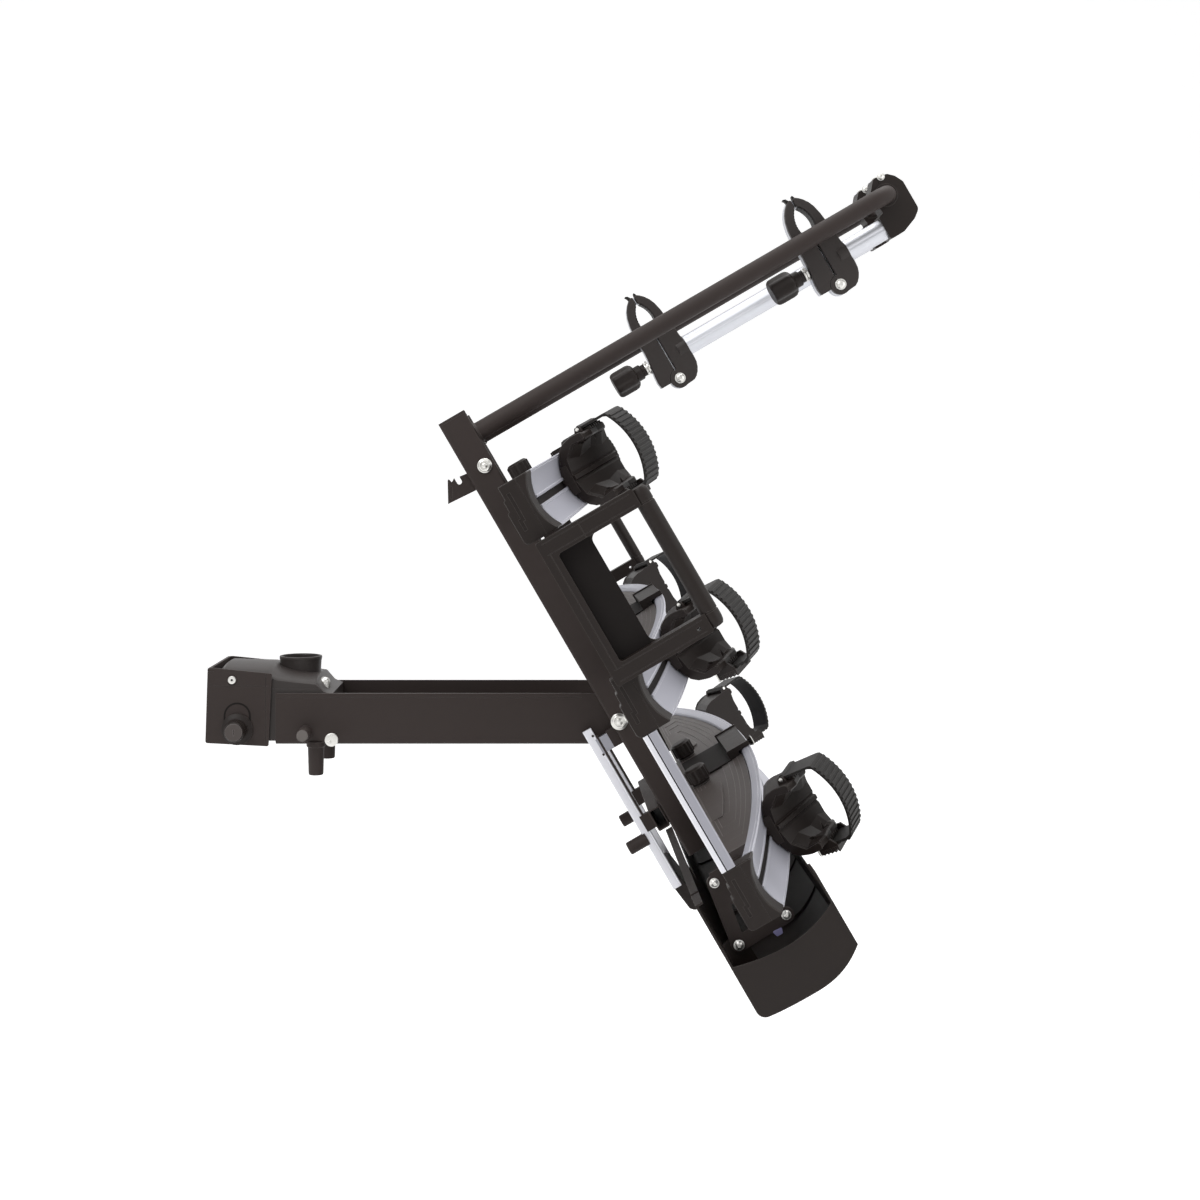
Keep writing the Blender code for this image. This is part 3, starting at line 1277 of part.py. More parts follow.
def board_mouth():
    """The bowed front edge of the end plates, from the top down."""
    front = []
    for i in range(BOARD_STEPS + 1):
        share = 1 - 2 * i / BOARD_STEPS
        fall = MOUTH_FALL_LOW if share < 0 else MOUTH_FALL_HIGH
        n = BOARD_BOTTOM + (BOARD_TOP - BOARD_BOTTOM) * (share + 1) / 2
        front.append((BOARD_MOUTH - fall * share**2, n))
    return front


def lamp_board(platform):
    """The open-fronted lamp board with end plates, bottom shelf and lens fields."""
    board = prism("lamp_board", board_mouth() + board_outline(0), -BOARD_HALF, BOARD_HALF)
    inner = board_outline(BOARD_WALL)
    before = BOARD_MOUTH - 0.05
    inner = [(before, inner[0][1])] + inner + [(before, inner[-1][1])]
    inside = BOARD_HALF - BOARD_WALL
    carve(board, prism("inside", inner, -inside, inside))
    shelf_n = (BOARD_BOTTOM, BOARD_BOTTOM + BOARD_WALL)
    ledge_n = (BOARD_TOP - BOARD_WALL, BOARD_TOP)
    behind = BOARD_MOUTH + 0.02
    fuse(board, block("ledge", (LEDGE_FRONT, behind), (-BOARD_HALF, BOARD_HALF), ledge_n))
    for side in (-1, 1):
        y = both(side, SHELF_INNER, BOARD_HALF)
        corner = both(side, CORNER_HALF, BOARD_HALF)
        fuse(
            board,
            block("shelf", (SHELF_FRONT, behind), y, shelf_n),
            block("corner", (CORNER_FRONT, behind), corner, ledge_n),
        )
        ear_y = both(side, LINK_Y - GAP - EAR_THICK, LINK_Y - GAP)
        ear = [(HINGE_A - 0.010, HINGE_HEIGHT), (HINGE_A, HINGE_HEIGHT + 0.010), (0.262, 0.012)]
        ear += [(0.262, BOARD_BOTTOM + 0.001), (HINGE_A - 0.006, BOARD_BOTTOM + 0.001)]
        fuse(board, prism("ear", ear, ear_y[0], ear_y[1]))
        link_face = LINK_Y + LINK_THICK
        slot = both(side, LINK_Y - GAP, link_face + LINK_BOLT_PROUD + RUNNING)
        fit = (SHELF_FRONT - 0.01, HINGE_A + 0.014)
        carve(board, block("link_slot", fit, slot, (BOARD_BOTTOM - 0.01, shelf_n[1] + 0.002)))
        pin = both(side, LINK_Y - EAR_THICK / 2, link_face + 0.0020)
        hinge = rod("hinge_pin", (HINGE_A, HINGE_HEIGHT), LINK_PIN_RADIUS, pin[0], pin[1], steps=12)
        head = both(side, link_face + GAP, link_face + 0.0032)
        fuse(hinge, rod("pin_head", (HINGE_A, HINGE_HEIGHT), 0.0065, head[0], head[1], steps=12))
        fuse(board, hinge)
        lens = both(side, LENS_INNER, LENS_OUTER)
        rim = board_outline(LENS_STEP)
        rim = [(a, n) for a, n in rim if LENS_LOW < n < LENS_HIGH]
        field = rim + [(0.31, rim[-1][1]), (0.31, rim[0][1])]
        carve(board, prism("lens_field", field, lens[0], lens[1]))
    keep(board, "paint", platform, (HINGE_A, 0, HINGE_HEIGHT))


def lamp_link(name, side, platform):
    """The bent steel plate that hangs the lamp board from the rear saddle."""
    y = both(side, LINK_Y, LINK_Y + LINK_THICK)
    width = 0.0088
    lug_a = TRAY_A[2]
    saddle_side = [
        (lug_a - 0.022, LINK_ROOT_HEIGHT),
        (lug_a + 0.020, LINK_ROOT_HEIGHT - 0.004),
        (lug_a + 0.020, SADDLE_CHORD + 0.014),
        (lug_a - 0.022, SADDLE_CHORD + 0.014),
    ]
    link = prism(name, saddle_side, y[0], y[1])
    root = (LINK_ROOT_A, LINK_ROOT_HEIGHT)
    hinge = (HINGE_A, HINGE_HEIGHT)
    tip = (LINK_TIP_A, LINK_TIP_HEIGHT)
    for start, end, thin in ((root, hinge, 0.94), (hinge, tip, 1.0)):
        bar = stadium(start, end, width * thin)
        fuse(link, prism("bar", bar, y[0], y[1]))
    carve(link, rod("hinge_hole", hinge, LINK_PIN_RADIUS + RUNNING, y[0] - 0.01, y[1] + 0.01, steps=14))
    for spot, radius in ((root, 0.006), (tip, 0.004)):
        out = both(side, LINK_Y + LINK_THICK / 2, LINK_Y + LINK_THICK + LINK_BOLT_PROUD)
        fuse(link, rod("bolt", spot, radius, out[0], out[1], steps=12))
    keep(link, "paint", platform)


def stadium(start, end, radius):
    """A bar with round ends between two points."""
    heading = math.degrees(math.atan2(end[1] - start[1], end[0] - start[0]))
    far = arc(end, radius, heading - 90, heading + 90, 6)
    near = arc(start, radius, heading + 90, heading + 270, 6)
    return far + near


def build_platform():
    """Everything that tilts about the pivot."""
    platform = bpy.data.objects.new("platform_pivot", None)
    bpy.context.scene.collection.objects.link(platform)
    platform.location = PIVOT
    platform.rotation_euler = (0, TILT, 0)
    rail("rail_near", -1, platform, True)
    rail("rail_far", 1, platform, False)
    u_frame(platform)
    latch_hook(platform)
    pedal_frame(platform)
    foot_pedal(platform)
    for number, place in enumerate(TRAY_A, start=1):
        tray("tray_%d" % number, place, platform)
        tray_saddle("tray_saddle_%d" % number, place, platform)
        for side, word in ((-1, "near"), (1, "far")):
            tray_cap("tray_cap_%d_%s" % (number, word), place, side, platform)
            tray_knob("tray_knob_%d_%s" % (number, word), place, side, platform)
            wheel_cradle("wheel_cradle_%d_%s" % (number, word), place, side, platform)
            wheel_strap("wheel_strap_%d_%s" % (number, word), place, side, platform)
    for side, word in ((-1, "near"), (1, "far")):
        side_handle("side_handle_" + word, side, platform)
        side_rail("side_rail_" + word, side, platform)
        lamp_link("lamp_link_" + word, side, platform)
    lamp_board(platform)
    for word, y, slit in (("medium", -ARM_Y, MEDIUM_SLIT), ("long", ARM_Y, LONG_SLIT)):
        top_clamp("top_clamp_" + word, y, platform)
        arm_tube("arm_tube_" + word, y, slit, platform)
        upper_jaw("upper_jaw_" + word, y, slit, platform)
        lower_jaw("lower_jaw_" + word, y, slit, platform)
        clamp_knob("clamp_knob_" + word, y, slit, platform)


def main():
    for obj in list(bpy.data.objects):
        bpy.data.objects.remove(obj, do_unlink=True)
    tongue()
    coupling_head()
    lever_housing()
    lock_knob()
    ball_jaw()
    bolt = cross_bolt(
        "pivot_bolt", (PIVOT_X, PIVOT_Z), PIVOT_BOLT_RADIUS, PIVOT_HEAD_RADIUS, RAIL_OUTER, RAIL_OUTER
    )
    keep(bolt, "zinc")
    pin_end = PEG_END - 0.002
    pin = cross_bolt("latch_pin", latch_place(), LATCH_PIN_RADIUS, LATCH_PIN_HEAD, pin_end, pin_end)
    keep(pin, "zinc")
    build_platform()


main()
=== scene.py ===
# %% [markdown]
# # A bike rack that clamps on a tow ball
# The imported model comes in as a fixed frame: sixty plain nodes, each riding on its body.
# This notebook dresses them. Where a node's shape is too plain it makes a finer piece in the
# same place, and where the shape is right it only changes the material.

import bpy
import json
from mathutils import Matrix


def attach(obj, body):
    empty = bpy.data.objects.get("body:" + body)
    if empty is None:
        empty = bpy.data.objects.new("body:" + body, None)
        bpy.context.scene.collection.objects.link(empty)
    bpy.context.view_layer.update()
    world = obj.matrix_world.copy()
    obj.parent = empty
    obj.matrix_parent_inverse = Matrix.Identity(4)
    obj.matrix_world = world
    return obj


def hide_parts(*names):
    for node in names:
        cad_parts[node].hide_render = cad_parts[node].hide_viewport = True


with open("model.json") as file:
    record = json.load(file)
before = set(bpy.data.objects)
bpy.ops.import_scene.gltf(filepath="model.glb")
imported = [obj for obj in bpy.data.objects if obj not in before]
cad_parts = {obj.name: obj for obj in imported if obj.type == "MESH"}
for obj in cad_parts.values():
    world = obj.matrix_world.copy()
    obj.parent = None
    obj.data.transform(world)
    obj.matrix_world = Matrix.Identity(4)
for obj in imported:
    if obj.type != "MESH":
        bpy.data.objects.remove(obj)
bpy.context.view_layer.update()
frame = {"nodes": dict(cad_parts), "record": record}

# %% [markdown]
# Everything that tilts is drawn in the platform's own axes, because there its parts are square
# to each other: x runs along the rails, y across the car, z stands up from the platform. One
# matrix then carries the finished mesh to its place, so that no object has to be turned.

# %% The platform's axes
import json
import math

import bmesh
import bpy
from mathutils import Matrix, Vector

PIVOT = Vector((0.4446, 0.0, -0.0422))
TILT = math.radians(59.83)
PLATFORM = Matrix.Translation(PIVOT) @ Matrix.Rotation(TILT, 4, "Y")
LEVEL = Matrix.Identity(4)
SIDES = ((-1, "near"), (1, "far"))
print("platform tilted by", round(math.degrees(TILT), 2), "degrees about", tuple(PIVOT))

# %% [markdown]
# Most pieces are a skin over a row of rings. The closed shell gets its normals worked out again,
# because a ring can run either way round.

# %% Shells
def link(name, mesh):
    obj = bpy.data.objects.new(name, mesh)
    bpy.context.scene.collection.objects.link(obj)
    return obj


def skin(name, rings):
    """A closed shell over rings of points."""
    shape = bmesh.new()
    rows = [[shape.verts.new(p) for p in ring] for ring in rings]
    count = len(rows[0])
    for first, second in zip(rows, rows[1:]):
        for i in range(count):
            j = (i + 1) % count
            shape.faces.new((first[i], first[j], second[j], second[i]))
    shape.faces.new(rows[0])
    shape.faces.new(rows[-1])
    bmesh.ops.recalc_face_normals(shape, faces=shape.faces)
    mesh = bpy.data.meshes.new(name)
    shape.to_mesh(mesh)
    shape.free()
    return link(name, mesh)


print("makers: link, skin")

# %% [markdown]
# An outline is a row of points in a plane. Pushed along an axis it becomes a bar or a plate,
# turned round one it becomes a knob or a bolt.

# %% Pushed and turned outlines
AXES = {"X": (0, 1, 2), "Y": (1, 0, 2), "Z": (2, 0, 1)}


def at(along, offset, u, v):
    point = [0.0, 0.0, 0.0]
    a, b, c = AXES[along]
    point[a], point[b], point[c] = offset, u, v
    return point


def push(name, outline, low, high, along="Y"):
    return skin(name, [[at(along, end, u, v) for u, v in outline] for end in (low, high)])


def slab(name, x, y, z):
    return push(name, [(x[0], z[0]), (x[1], z[0]), (x[1], z[1]), (x[0], z[1])], y[0], y[1])


def arc(centre, radius, first, last, steps):
    turn = [math.radians(first + (last - first) * i / steps) for i in range(steps + 1)]
    return [(centre[0] + radius * math.cos(t), centre[1] + radius * math.sin(t)) for t in turn]


def circle(centre, radius, steps=48):
    return arc(centre, radius, 0, 360 - 360 / steps, steps - 1)


def lathe(name, profile, centre, along="Y", steps=48):
    """A round piece from (radius, place along the axis) pairs."""
    return skin(name, [[at(along, w, u, v) for u, v in circle(centre, r, steps)] for r, w in profile])


def rod(name, radius, low, high, centre, along="Y", steps=48):
    return lathe(name, [(radius, low), (radius, high)], centre, along, steps)


print("makers: push, slab, arc, circle, lathe, rod")

# %% [markdown]
# Bent and moulded pieces have round corners, so each corner of an outline carries a radius.
# Near and far pieces are mirror images: span puts their two limits in order.

# %% Round corners and mirror images
def rounded(corners, steps=6):
    """An outline with its corners, (u, v, radius), rounded."""
    points = []
    for i, (u, v, radius) in enumerate(corners):
        if not radius:
            points.append((u, v))
            continue
        here = Vector((u, v))
        before = (Vector(corners[i - 1][:2]) - here).normalized()
        after = (Vector(corners[(i + 1) % len(corners)][:2]) - here).normalized()
        half = before.angle(after) / 2
        middle = here + (before + after).normalized() * (radius / math.sin(half))
        start = here + before * (radius / math.tan(half)) - middle
        end = here + after * (radius / math.tan(half)) - middle
        first = math.atan2(start.y, start.x)
        sweep = (math.atan2(end.y, end.x) - first + math.pi) % (2 * math.pi) - math.pi
        for k in range(steps + 1):
            turn = first + sweep * k / steps
            points.append((middle.x + radius * math.cos(turn), middle.y + radius * math.sin(turn)))
    return points


def mirrored(points):
    return points + [(-u, v) for u, v in reversed(points)]


def span(side, near, far):
    return sorted((side * near, side * far))


print("makers: rounded, mirrored, span")

# %% [markdown]
# Cuts and joins use exact Booleans, as a modeller would by hand. Each modifier is baked into a
# plain mesh at once, so the pieces stay simple and the next step can build on them.

# %% Cutting and joining
def baked(obj):
    graph = bpy.context.evaluated_depsgraph_get()
    mesh = bpy.data.meshes.new_from_object(obj.evaluated_get(graph))
    obj.modifiers.clear()
    obj.data = mesh
    return obj


def combine(base, others, operation):
    for other in others:
        step = base.modifiers.new(operation.title(), "BOOLEAN")
        step.operation, step.solver, step.object = operation, "EXACT", other
        baked(base)
        bpy.data.objects.remove(other, do_unlink=True)
    return base


def cut(base, *others):
    return combine(base, others, "DIFFERENCE")


def join(base, *others):
    return combine(base, others, "UNION")


def gather(name, objects):
    """Several shells in one piece, without cutting them."""
    shape = bmesh.new()
    for obj in objects:
        shape.from_mesh(obj.data)
        bpy.data.objects.remove(obj, do_unlink=True)
    mesh = bpy.data.meshes.new(name)
    shape.to_mesh(mesh)
    shape.free()
    return link(name, mesh)


print("makers: cut, join, gather")

# %% [markdown]
# On the real rack no edge is sharp, and the thin bright lines in the photograph are light
# caught by rounded edges. A small bevel on every finished piece gives the same lines.

# %% Rounding the edges
def ease(obj, width=0.0008, segments=2, angle=40):
    """Round the edges a little and shade them softly."""
    shape = bmesh.new()
    shape.from_mesh(obj.data)
    bmesh.ops.remove_doubles(shape, verts=shape.verts, dist=0.000004)
    bmesh.ops.dissolve_limit(shape, angle_limit=0.004, verts=shape.verts, edges=shape.edges)
    shape.to_mesh(obj.data)
    shape.free()
    if width:
        bevel = obj.modifiers.new("Ease", "BEVEL")
        bevel.width, bevel.segments = width, segments
        bevel.limit_method, bevel.angle_limit = "ANGLE", math.radians(angle)
        bevel.miter_outer = "MITER_ARC"
        baked(obj)
    obj.data.shade_smooth()
    obj.data.set_sharp_from_angle(angle=math.radians(38))
    weight = obj.modifiers.new("Weight", "WEIGHTED_NORMAL")
    weight.keep_sharp = True
    return baked(obj)


print("makers: ease")

# %% [markdown]
# ## Light, floor and camera
# Materials, floor and world are node trees. One helper makes a node with its settings and its
# links, so that a tree reads as a short list.

# %% Wiring nodes
scene = bpy.context.scene
scene.view_settings.view_transform = "Standard"


def tree_of(owner):
    owner.use_nodes = True
    owner.node_tree.nodes.clear()
    return owner.node_tree


def wire(tree, kind, values=None, **settings):
    """A node with its settings, and sockets that are given a value or a link."""
    node = tree.nodes.new(kind)
    for key, value in settings.items():
        setattr(node, key, value)
    for key, value in (values or {}).items():
        if isinstance(value, bpy.types.NodeSocket):
            tree.links.new(value, node.inputs[key])
        else:
            node.inputs[key].default_value = value
    return node


print("view transform:", scene.view_settings.view_transform)

# %% [markdown]
# The photograph is a catalogue cut-out, pure white behind. The world is white for the camera
# and for reflections, and dimmer as a lamp, so that it doesn't wash out the dark paint.

# %% A white world
WORLD_LIGHT = 0.46


def seen_ray(tree):
    """1 for rays that show the background: straight from the camera, mirrored or through glass."""
    path = wire(tree, "ShaderNodeLightPath")
    either = wire(tree, "ShaderNodeMath", {0: path.outputs["Is Camera Ray"],
                                           1: path.outputs["Is Glossy Ray"]}, operation="MAXIMUM")
    every = wire(tree, "ShaderNodeMath", {0: either.outputs[0],
                                          1: path.outputs["Is Transmission Ray"]}, operation="MAXIMUM")
    return every.outputs[0]


def make_world():
    world = bpy.data.worlds.new("studio")
    scene.world = world
    tree = tree_of(world)
    shown = seen_ray(tree)
    level = wire(tree, "ShaderNodeMapRange", {"Value": shown, "To Min": WORLD_LIGHT, "To Max": 1.0})
    sky = wire(tree, "ShaderNodeBackground", {"Color": (1, 1, 1, 1), "Strength": level.outputs[0]})
    wire(tree, "ShaderNodeOutputWorld", {"Surface": sky.outputs[0]})


make_world()
print("world:", scene.world.name, "at", WORLD_LIGHT)

# %% [markdown]
# The floor bends up into the backdrop, as in a studio, so that no horizon shows. It glows a
# little for the camera, because paper lit by the lamps alone would look grey.

# %% The floor
FLOOR_GLOW, FLOOR_HEIGHT = 0.56, -0.60


def make_floor(height):
    bend = arc((5.0, height + 2.0), 2.0, -90, 0, 12)
    line = [(-9.0, height)] + bend + [(7.0, height + 9.0)]
    shape = bmesh.new()
    rows = [[shape.verts.new((x, y, z)) for y, z in line] for x in (-14.0, 14.0)]
    for i in range(len(line) - 1):
        shape.faces.new((rows[0][i], rows[1][i], rows[1][i + 1], rows[0][i + 1]))
    mesh = bpy.data.meshes.new("floor")
    shape.to_mesh(mesh)
    shape.free()
    mesh.shade_smooth()
    floor = link("floor", mesh)
    paper = bpy.data.materials.new("backdrop_paper")
    tree = tree_of(paper)
    shown = seen_ray(tree)
    glow = wire(tree, "ShaderNodeMath", {0: shown, 1: FLOOR_GLOW}, operation="MULTIPLY")
    body = wire(tree, "ShaderNodeBsdfPrincipled", {
        "Base Color": (0.86, 0.86, 0.86, 1), "Roughness": 0.9, "Specular IOR Level": 0.1,
        "Emission Color": (1, 1, 1, 1), "Emission Strength": glow.outputs[0]})
    wire(tree, "ShaderNodeOutputMaterial", {"Surface": body.outputs[0]})
    mesh.materials.append(paper)


make_floor(FLOOR_HEIGHT)
print("floor at", FLOOR_HEIGHT)

# %% [markdown]
# Large soft panels above and a little to the left lay long highlights on the tubes. A weaker one
# on the right keeps the shaded sides from turning black.

# %% Soft lamps
MIDDLE = (0.45, 0.0, 0.05)


def soft_lamp(name, place, target, size, power):
    light = bpy.data.lights.new(name, "AREA")
    light.shape, light.size, light.size_y, light.energy = "RECTANGLE", size[0], size[1], power
    lamp = link(name, light)
    lamp.location = place
    lamp.rotation_euler = (Vector(target) - Vector(place)).to_track_quat("-Z", "Y").to_euler()


soft_lamp("key_panel", (-1.6, -2.6, 2.8), MIDDLE, (2.4, 1.8), 62)
soft_lamp("top_panel", (0.9, 0.4, 3.2), MIDDLE, (2.6, 2.6), 60)
soft_lamp("side_panel", (3.0, -1.6, 0.8), MIDDLE, (1.6, 2.2), 16)
print("lamps: 3 panels aimed at", MIDDLE)

# %% [markdown]
# The camera stands level beside the rack. Its lens is shifted instead of turned, which keeps the
# uprights of the picture parallel.

# %% The camera
lens = bpy.data.cameras.new("camera")
lens.lens, lens.sensor_width = 50, 36
lens.shift_x, lens.shift_y = 0.0592, -0.1033
lens.clip_start, lens.clip_end = 0.05, 60
camera = link("camera", lens)
camera.location = (0.3228, -2.36, 0.2889)
camera.rotation_euler = (math.radians(90), 0, 0)
scene.camera = camera
print("camera at", tuple(round(v, 3) for v in camera.location))

# %% [markdown]
# ## Finishes
# Three effects return in every finish, so each is a node group that is built once. Grain is a
# fine noise for colour and bump. Drawn out along a tube or a tray, it becomes brushing.

# %% Grain
def group(name, inputs, outputs):
    tree = bpy.data.node_groups.new(name, "ShaderNodeTree")
    for label, kind, value in inputs:
        socket = tree.interface.new_socket(label, in_out="INPUT", socket_type="NodeSocket" + kind)
        if value is not None:
            socket.default_value = value
    for label, kind in outputs:
        tree.interface.new_socket(label, in_out="OUTPUT", socket_type="NodeSocket" + kind)
    return tree, tree.nodes.new("NodeGroupInput").outputs, tree.nodes.new("NodeGroupOutput").inputs


def grain_group():
    tree, given, result = group("grain", [
        ("Scale", "Float", 900.0), ("Stretch", "Vector", (1, 1, 1)), ("Turn", "Vector", (0, 0, 0)),
        ("Height", "Float", 0.1)], [("Shade", "Float"), ("Normal", "Vector")])
    spot = wire(tree, "ShaderNodeTexCoord").outputs["Object"]
    turned = wire(tree, "ShaderNodeMapping", {"Vector": spot, "Rotation": given["Turn"]})
    drawn = wire(tree, "ShaderNodeVectorMath", {0: turned.outputs[0], 1: given["Stretch"]},
                 operation="MULTIPLY")
    fine = wire(tree, "ShaderNodeTexNoise", {"Vector": drawn.outputs[0], "Scale": given["Scale"],
                                             "Detail": 3.0, "Roughness": 0.6})
    broad = wire(tree, "ShaderNodeTexNoise", {"Vector": turned.outputs[0], "Scale": 9.0, "Detail": 2.0})
    mixed = wire(tree, "ShaderNodeMath", {0: fine.outputs[0], 1: broad.outputs[0]}, operation="ADD")
    bump = wire(tree, "ShaderNodeBump", {"Strength": given["Height"], "Distance": 0.0004,
                                         "Height": fine.outputs[0]})
    half = wire(tree, "ShaderNodeMath", {0: mixed.outputs[0], 1: 0.5}, operation="MULTIPLY")
    tree.links.new(half.outputs[0], result["Shade"])
    tree.links.new(bump.outputs[0], result["Normal"])
    return tree


EFFECTS = {"grain": grain_group()}
print("effects:", ", ".join(EFFECTS))

# %% [markdown]
# Edge light finds rounded edges by comparing the true normal with a smoothed one. It paints a
# thin lighter line where paint and plastic turn a corner: a painted highlight for the light
# that rounded edges catch.

# %% Edge light
def edge_group():
    tree, given, result = group("edge_light", [
        ("Radius", "Float", 0.001), ("Reach", "Float", 0.05)], [("Mask", "Float")])
    smooth = wire(tree, "ShaderNodeBevel", {"Radius": given["Radius"]}, samples=6)
    true = wire(tree, "ShaderNodeNewGeometry").outputs["Normal"]
    meet = wire(tree, "ShaderNodeVectorMath", {0: smooth.outputs[0], 1: true}, operation="DOT_PRODUCT")
    away = wire(tree, "ShaderNodeMath", {0: 1.0, 1: meet.outputs["Value"]}, operation="SUBTRACT")
    mask = wire(tree, "ShaderNodeMapRange", {"Value": away.outputs[0], "From Max": given["Reach"]})
    tree.links.new(mask.outputs[0], result["Mask"])
    return tree


EFFECTS["edge"] = edge_group()
print("effects:", ", ".join(EFFECTS))

# %% [markdown]
# Dust settles in patches on what faces up, so a cloudy noise is kept only there.

# %% Settled dust
def dust_group():
    tree, given, result = group("settled_dust", [("Scale", "Float", 60.0)], [("Mask", "Float")])
    normal = wire(tree, "ShaderNodeNewGeometry").outputs["Normal"]
    up = wire(tree, "ShaderNodeSeparateXYZ", {0: normal}).outputs["Z"]
    facing = wire(tree, "ShaderNodeMapRange", {"Value": up, "From Min": 0.3})
    spot = wire(tree, "ShaderNodeTexCoord").outputs["Object"]
    cloud = wire(tree, "ShaderNodeTexNoise", {"Vector": spot, "Scale": given["Scale"], "Detail": 4.0})
    patch = wire(tree, "ShaderNodeMapRange", {"Value": cloud.outputs[0], "From Min": 0.4, "From Max": 0.75})
    mask = wire(tree, "ShaderNodeMath", {0: facing.outputs[0], 1: patch.outputs[0]}, operation="MULTIPLY")
    tree.links.new(mask.outputs[0], result["Mask"])
    return tree


EFFECTS["dust"] = dust_group()
print("effects:", ", ".join(EFFECTS))

# %% [markdown]
# A finish mixes those effects over one Principled shader: the grain shades the colour, the edges
# take a lighter one as a painted highlight, and the dust goes on last.

# %% One finish
FINISHES = {}
DUST_COLOUR = (0.30, 0.28, 0.26, 1)
RIM_RADIUS = 0.0009


def make_finish(name, colour, roughness, metallic=0.0, scale=900.0, height=0.1, stretch=(1, 1, 1),
                turn=0.0, vary=0.12, edge=(0.09, 0.08, 0.075), highlight_share=0.5, dust=0.0, specular=0.5):
    material = bpy.data.materials.new(name)
    tree = tree_of(material)
    grain = wire(tree, "ShaderNodeGroup", {}, node_tree=EFFECTS["grain"])
    grain.inputs["Scale"].default_value = scale
    grain.inputs["Stretch"].default_value = stretch
    grain.inputs["Turn"].default_value = (0, turn, 0)
    grain.inputs["Height"].default_value = height
    low = [c * (1 - vary) for c in colour]
    high = [c * (1 + vary) for c in colour]
    base = wire(tree, "ShaderNodeMix", {"Factor": grain.outputs["Shade"], "A": (*low, 1), "B": (*high, 1)},
                data_type="RGBA")
    # The lighter edge colour is a painted highlight on rounded edges.
    rims = wire(tree, "ShaderNodeGroup", {}, node_tree=EFFECTS["edge"])
    rims.inputs["Radius"].default_value = RIM_RADIUS
    share = wire(tree, "ShaderNodeMath", {0: rims.outputs["Mask"], 1: highlight_share}, operation="MULTIPLY")
    highlighted = wire(tree, "ShaderNodeMix", {"Factor": share.outputs[0], "A": base.outputs["Result"],
                                          "B": (*edge, 1)}, data_type="RGBA")
    powder = wire(tree, "ShaderNodeGroup", {}, node_tree=EFFECTS["dust"])
    amount = wire(tree, "ShaderNodeMath", {0: powder.outputs["Mask"], 1: dust}, operation="MULTIPLY")
    final = wire(tree, "ShaderNodeMix", {"Factor": amount.outputs[0], "A": highlighted.outputs["Result"],
                                         "B": DUST_COLOUR}, data_type="RGBA")
    sheen = wire(tree, "ShaderNodeMapRange", {"Value": grain.outputs["Shade"],
                                              "To Min": roughness * 0.85, "To Max": roughness * 1.15})
    shader = wire(tree, "ShaderNodeBsdfPrincipled", {
        "Base Color": final.outputs["Result"], "Roughness": sheen.outputs[0], "Metallic": metallic,
        "Normal": grain.outputs["Normal"], "Specular IOR Level": specular})
    wire(tree, "ShaderNodeOutputMaterial", {"Surface": shader.outputs[0]})
    FINISHES[name] = material
    return material


print("a finish uses", len(EFFECTS), "effects")

# %% [markdown]
# The powder coat on the steel is a warm brown-black, a little lighter than the moulded plastic.
# Castings are coarser, and the straps duller, because they bend. The cheek plastic is the black
# plastic painted much lighter, a painted highlight for faces that catch the light.

# %% Paints and plastics
make_finish("powder_coat", (0.0330, 0.0240, 0.0216), 0.58, scale=1500, height=0.16, dust=0.03, specular=0.26)
make_finish("cast_paint", (0.0290, 0.0232, 0.0215), 0.46, scale=700, height=0.30, dust=0.03, specular=0.32)
make_finish("moulded_plastic", (0.0150, 0.0104, 0.0088), 0.44, scale=2200, height=0.20, dust=0.03,
            edge=(0.10, 0.088, 0.082), highlight_share=0.5, specular=0.22)
make_finish("strap_plastic", (0.0100, 0.0084, 0.0075), 0.50, scale=1600, height=0.15, dust=0.02,
            edge=(0.045, 0.041, 0.038), specular=0.26)
make_finish("cheek_plastic", (0.0680, 0.0560, 0.0520), 0.50, scale=1700, height=0.18, dust=0.03,
            edge=(0.26, 0.24, 0.23), highlight_share=0.8, specular=0.35)
print("paints and plastics:", len(FINISHES))

# %% [markdown]
# The bars shine along their length, so their grain is drawn out and turned with the platform.
# The shaded bar is the same drawn aluminium painted darker, a painted shade for bar faces in
# shade. The lenses are coloured plastic with a smooth face.

# %% Drawn bars and lenses
make_finish("drawn_bar", (0.68, 0.68, 0.72), 0.34, metallic=0.8, scale=420, stretch=(0.02, 1, 1), turn=-TILT,
            height=0.05, vary=0.05, edge=(0.92, 0.92, 0.95), highlight_share=0.6)
make_finish("shaded_bar", (0.33, 0.33, 0.37), 0.40, metallic=0.6, scale=420, stretch=(0.02, 1, 1), turn=-TILT,
            height=0.05, vary=0.05, edge=(0.75, 0.75, 0.79), highlight_share=0.5)
make_finish("lens_red", (0.24, 0.003, 0.004), 0.26, scale=700, height=0.05, vary=0.10,
            edge=(0.4, 0.01, 0.01), specular=0.2)
make_finish("lens_amber", (0.50, 0.115, 0.005), 0.26, scale=700, height=0.05, vary=0.10,
            edge=(0.6, 0.20, 0.02), specular=0.2)
make_finish("lens_clear", (0.58, 0.59, 0.62), 0.20, scale=700, height=0.05, vary=0.06, edge=(0.7, 0.7, 0.72))
make_finish("lens_lilac", (0.36, 0.34, 0.60), 0.20, scale=700, height=0.05, vary=0.06, edge=(0.5, 0.48, 0.7))
print("finishes so far:", len(FINISHES))
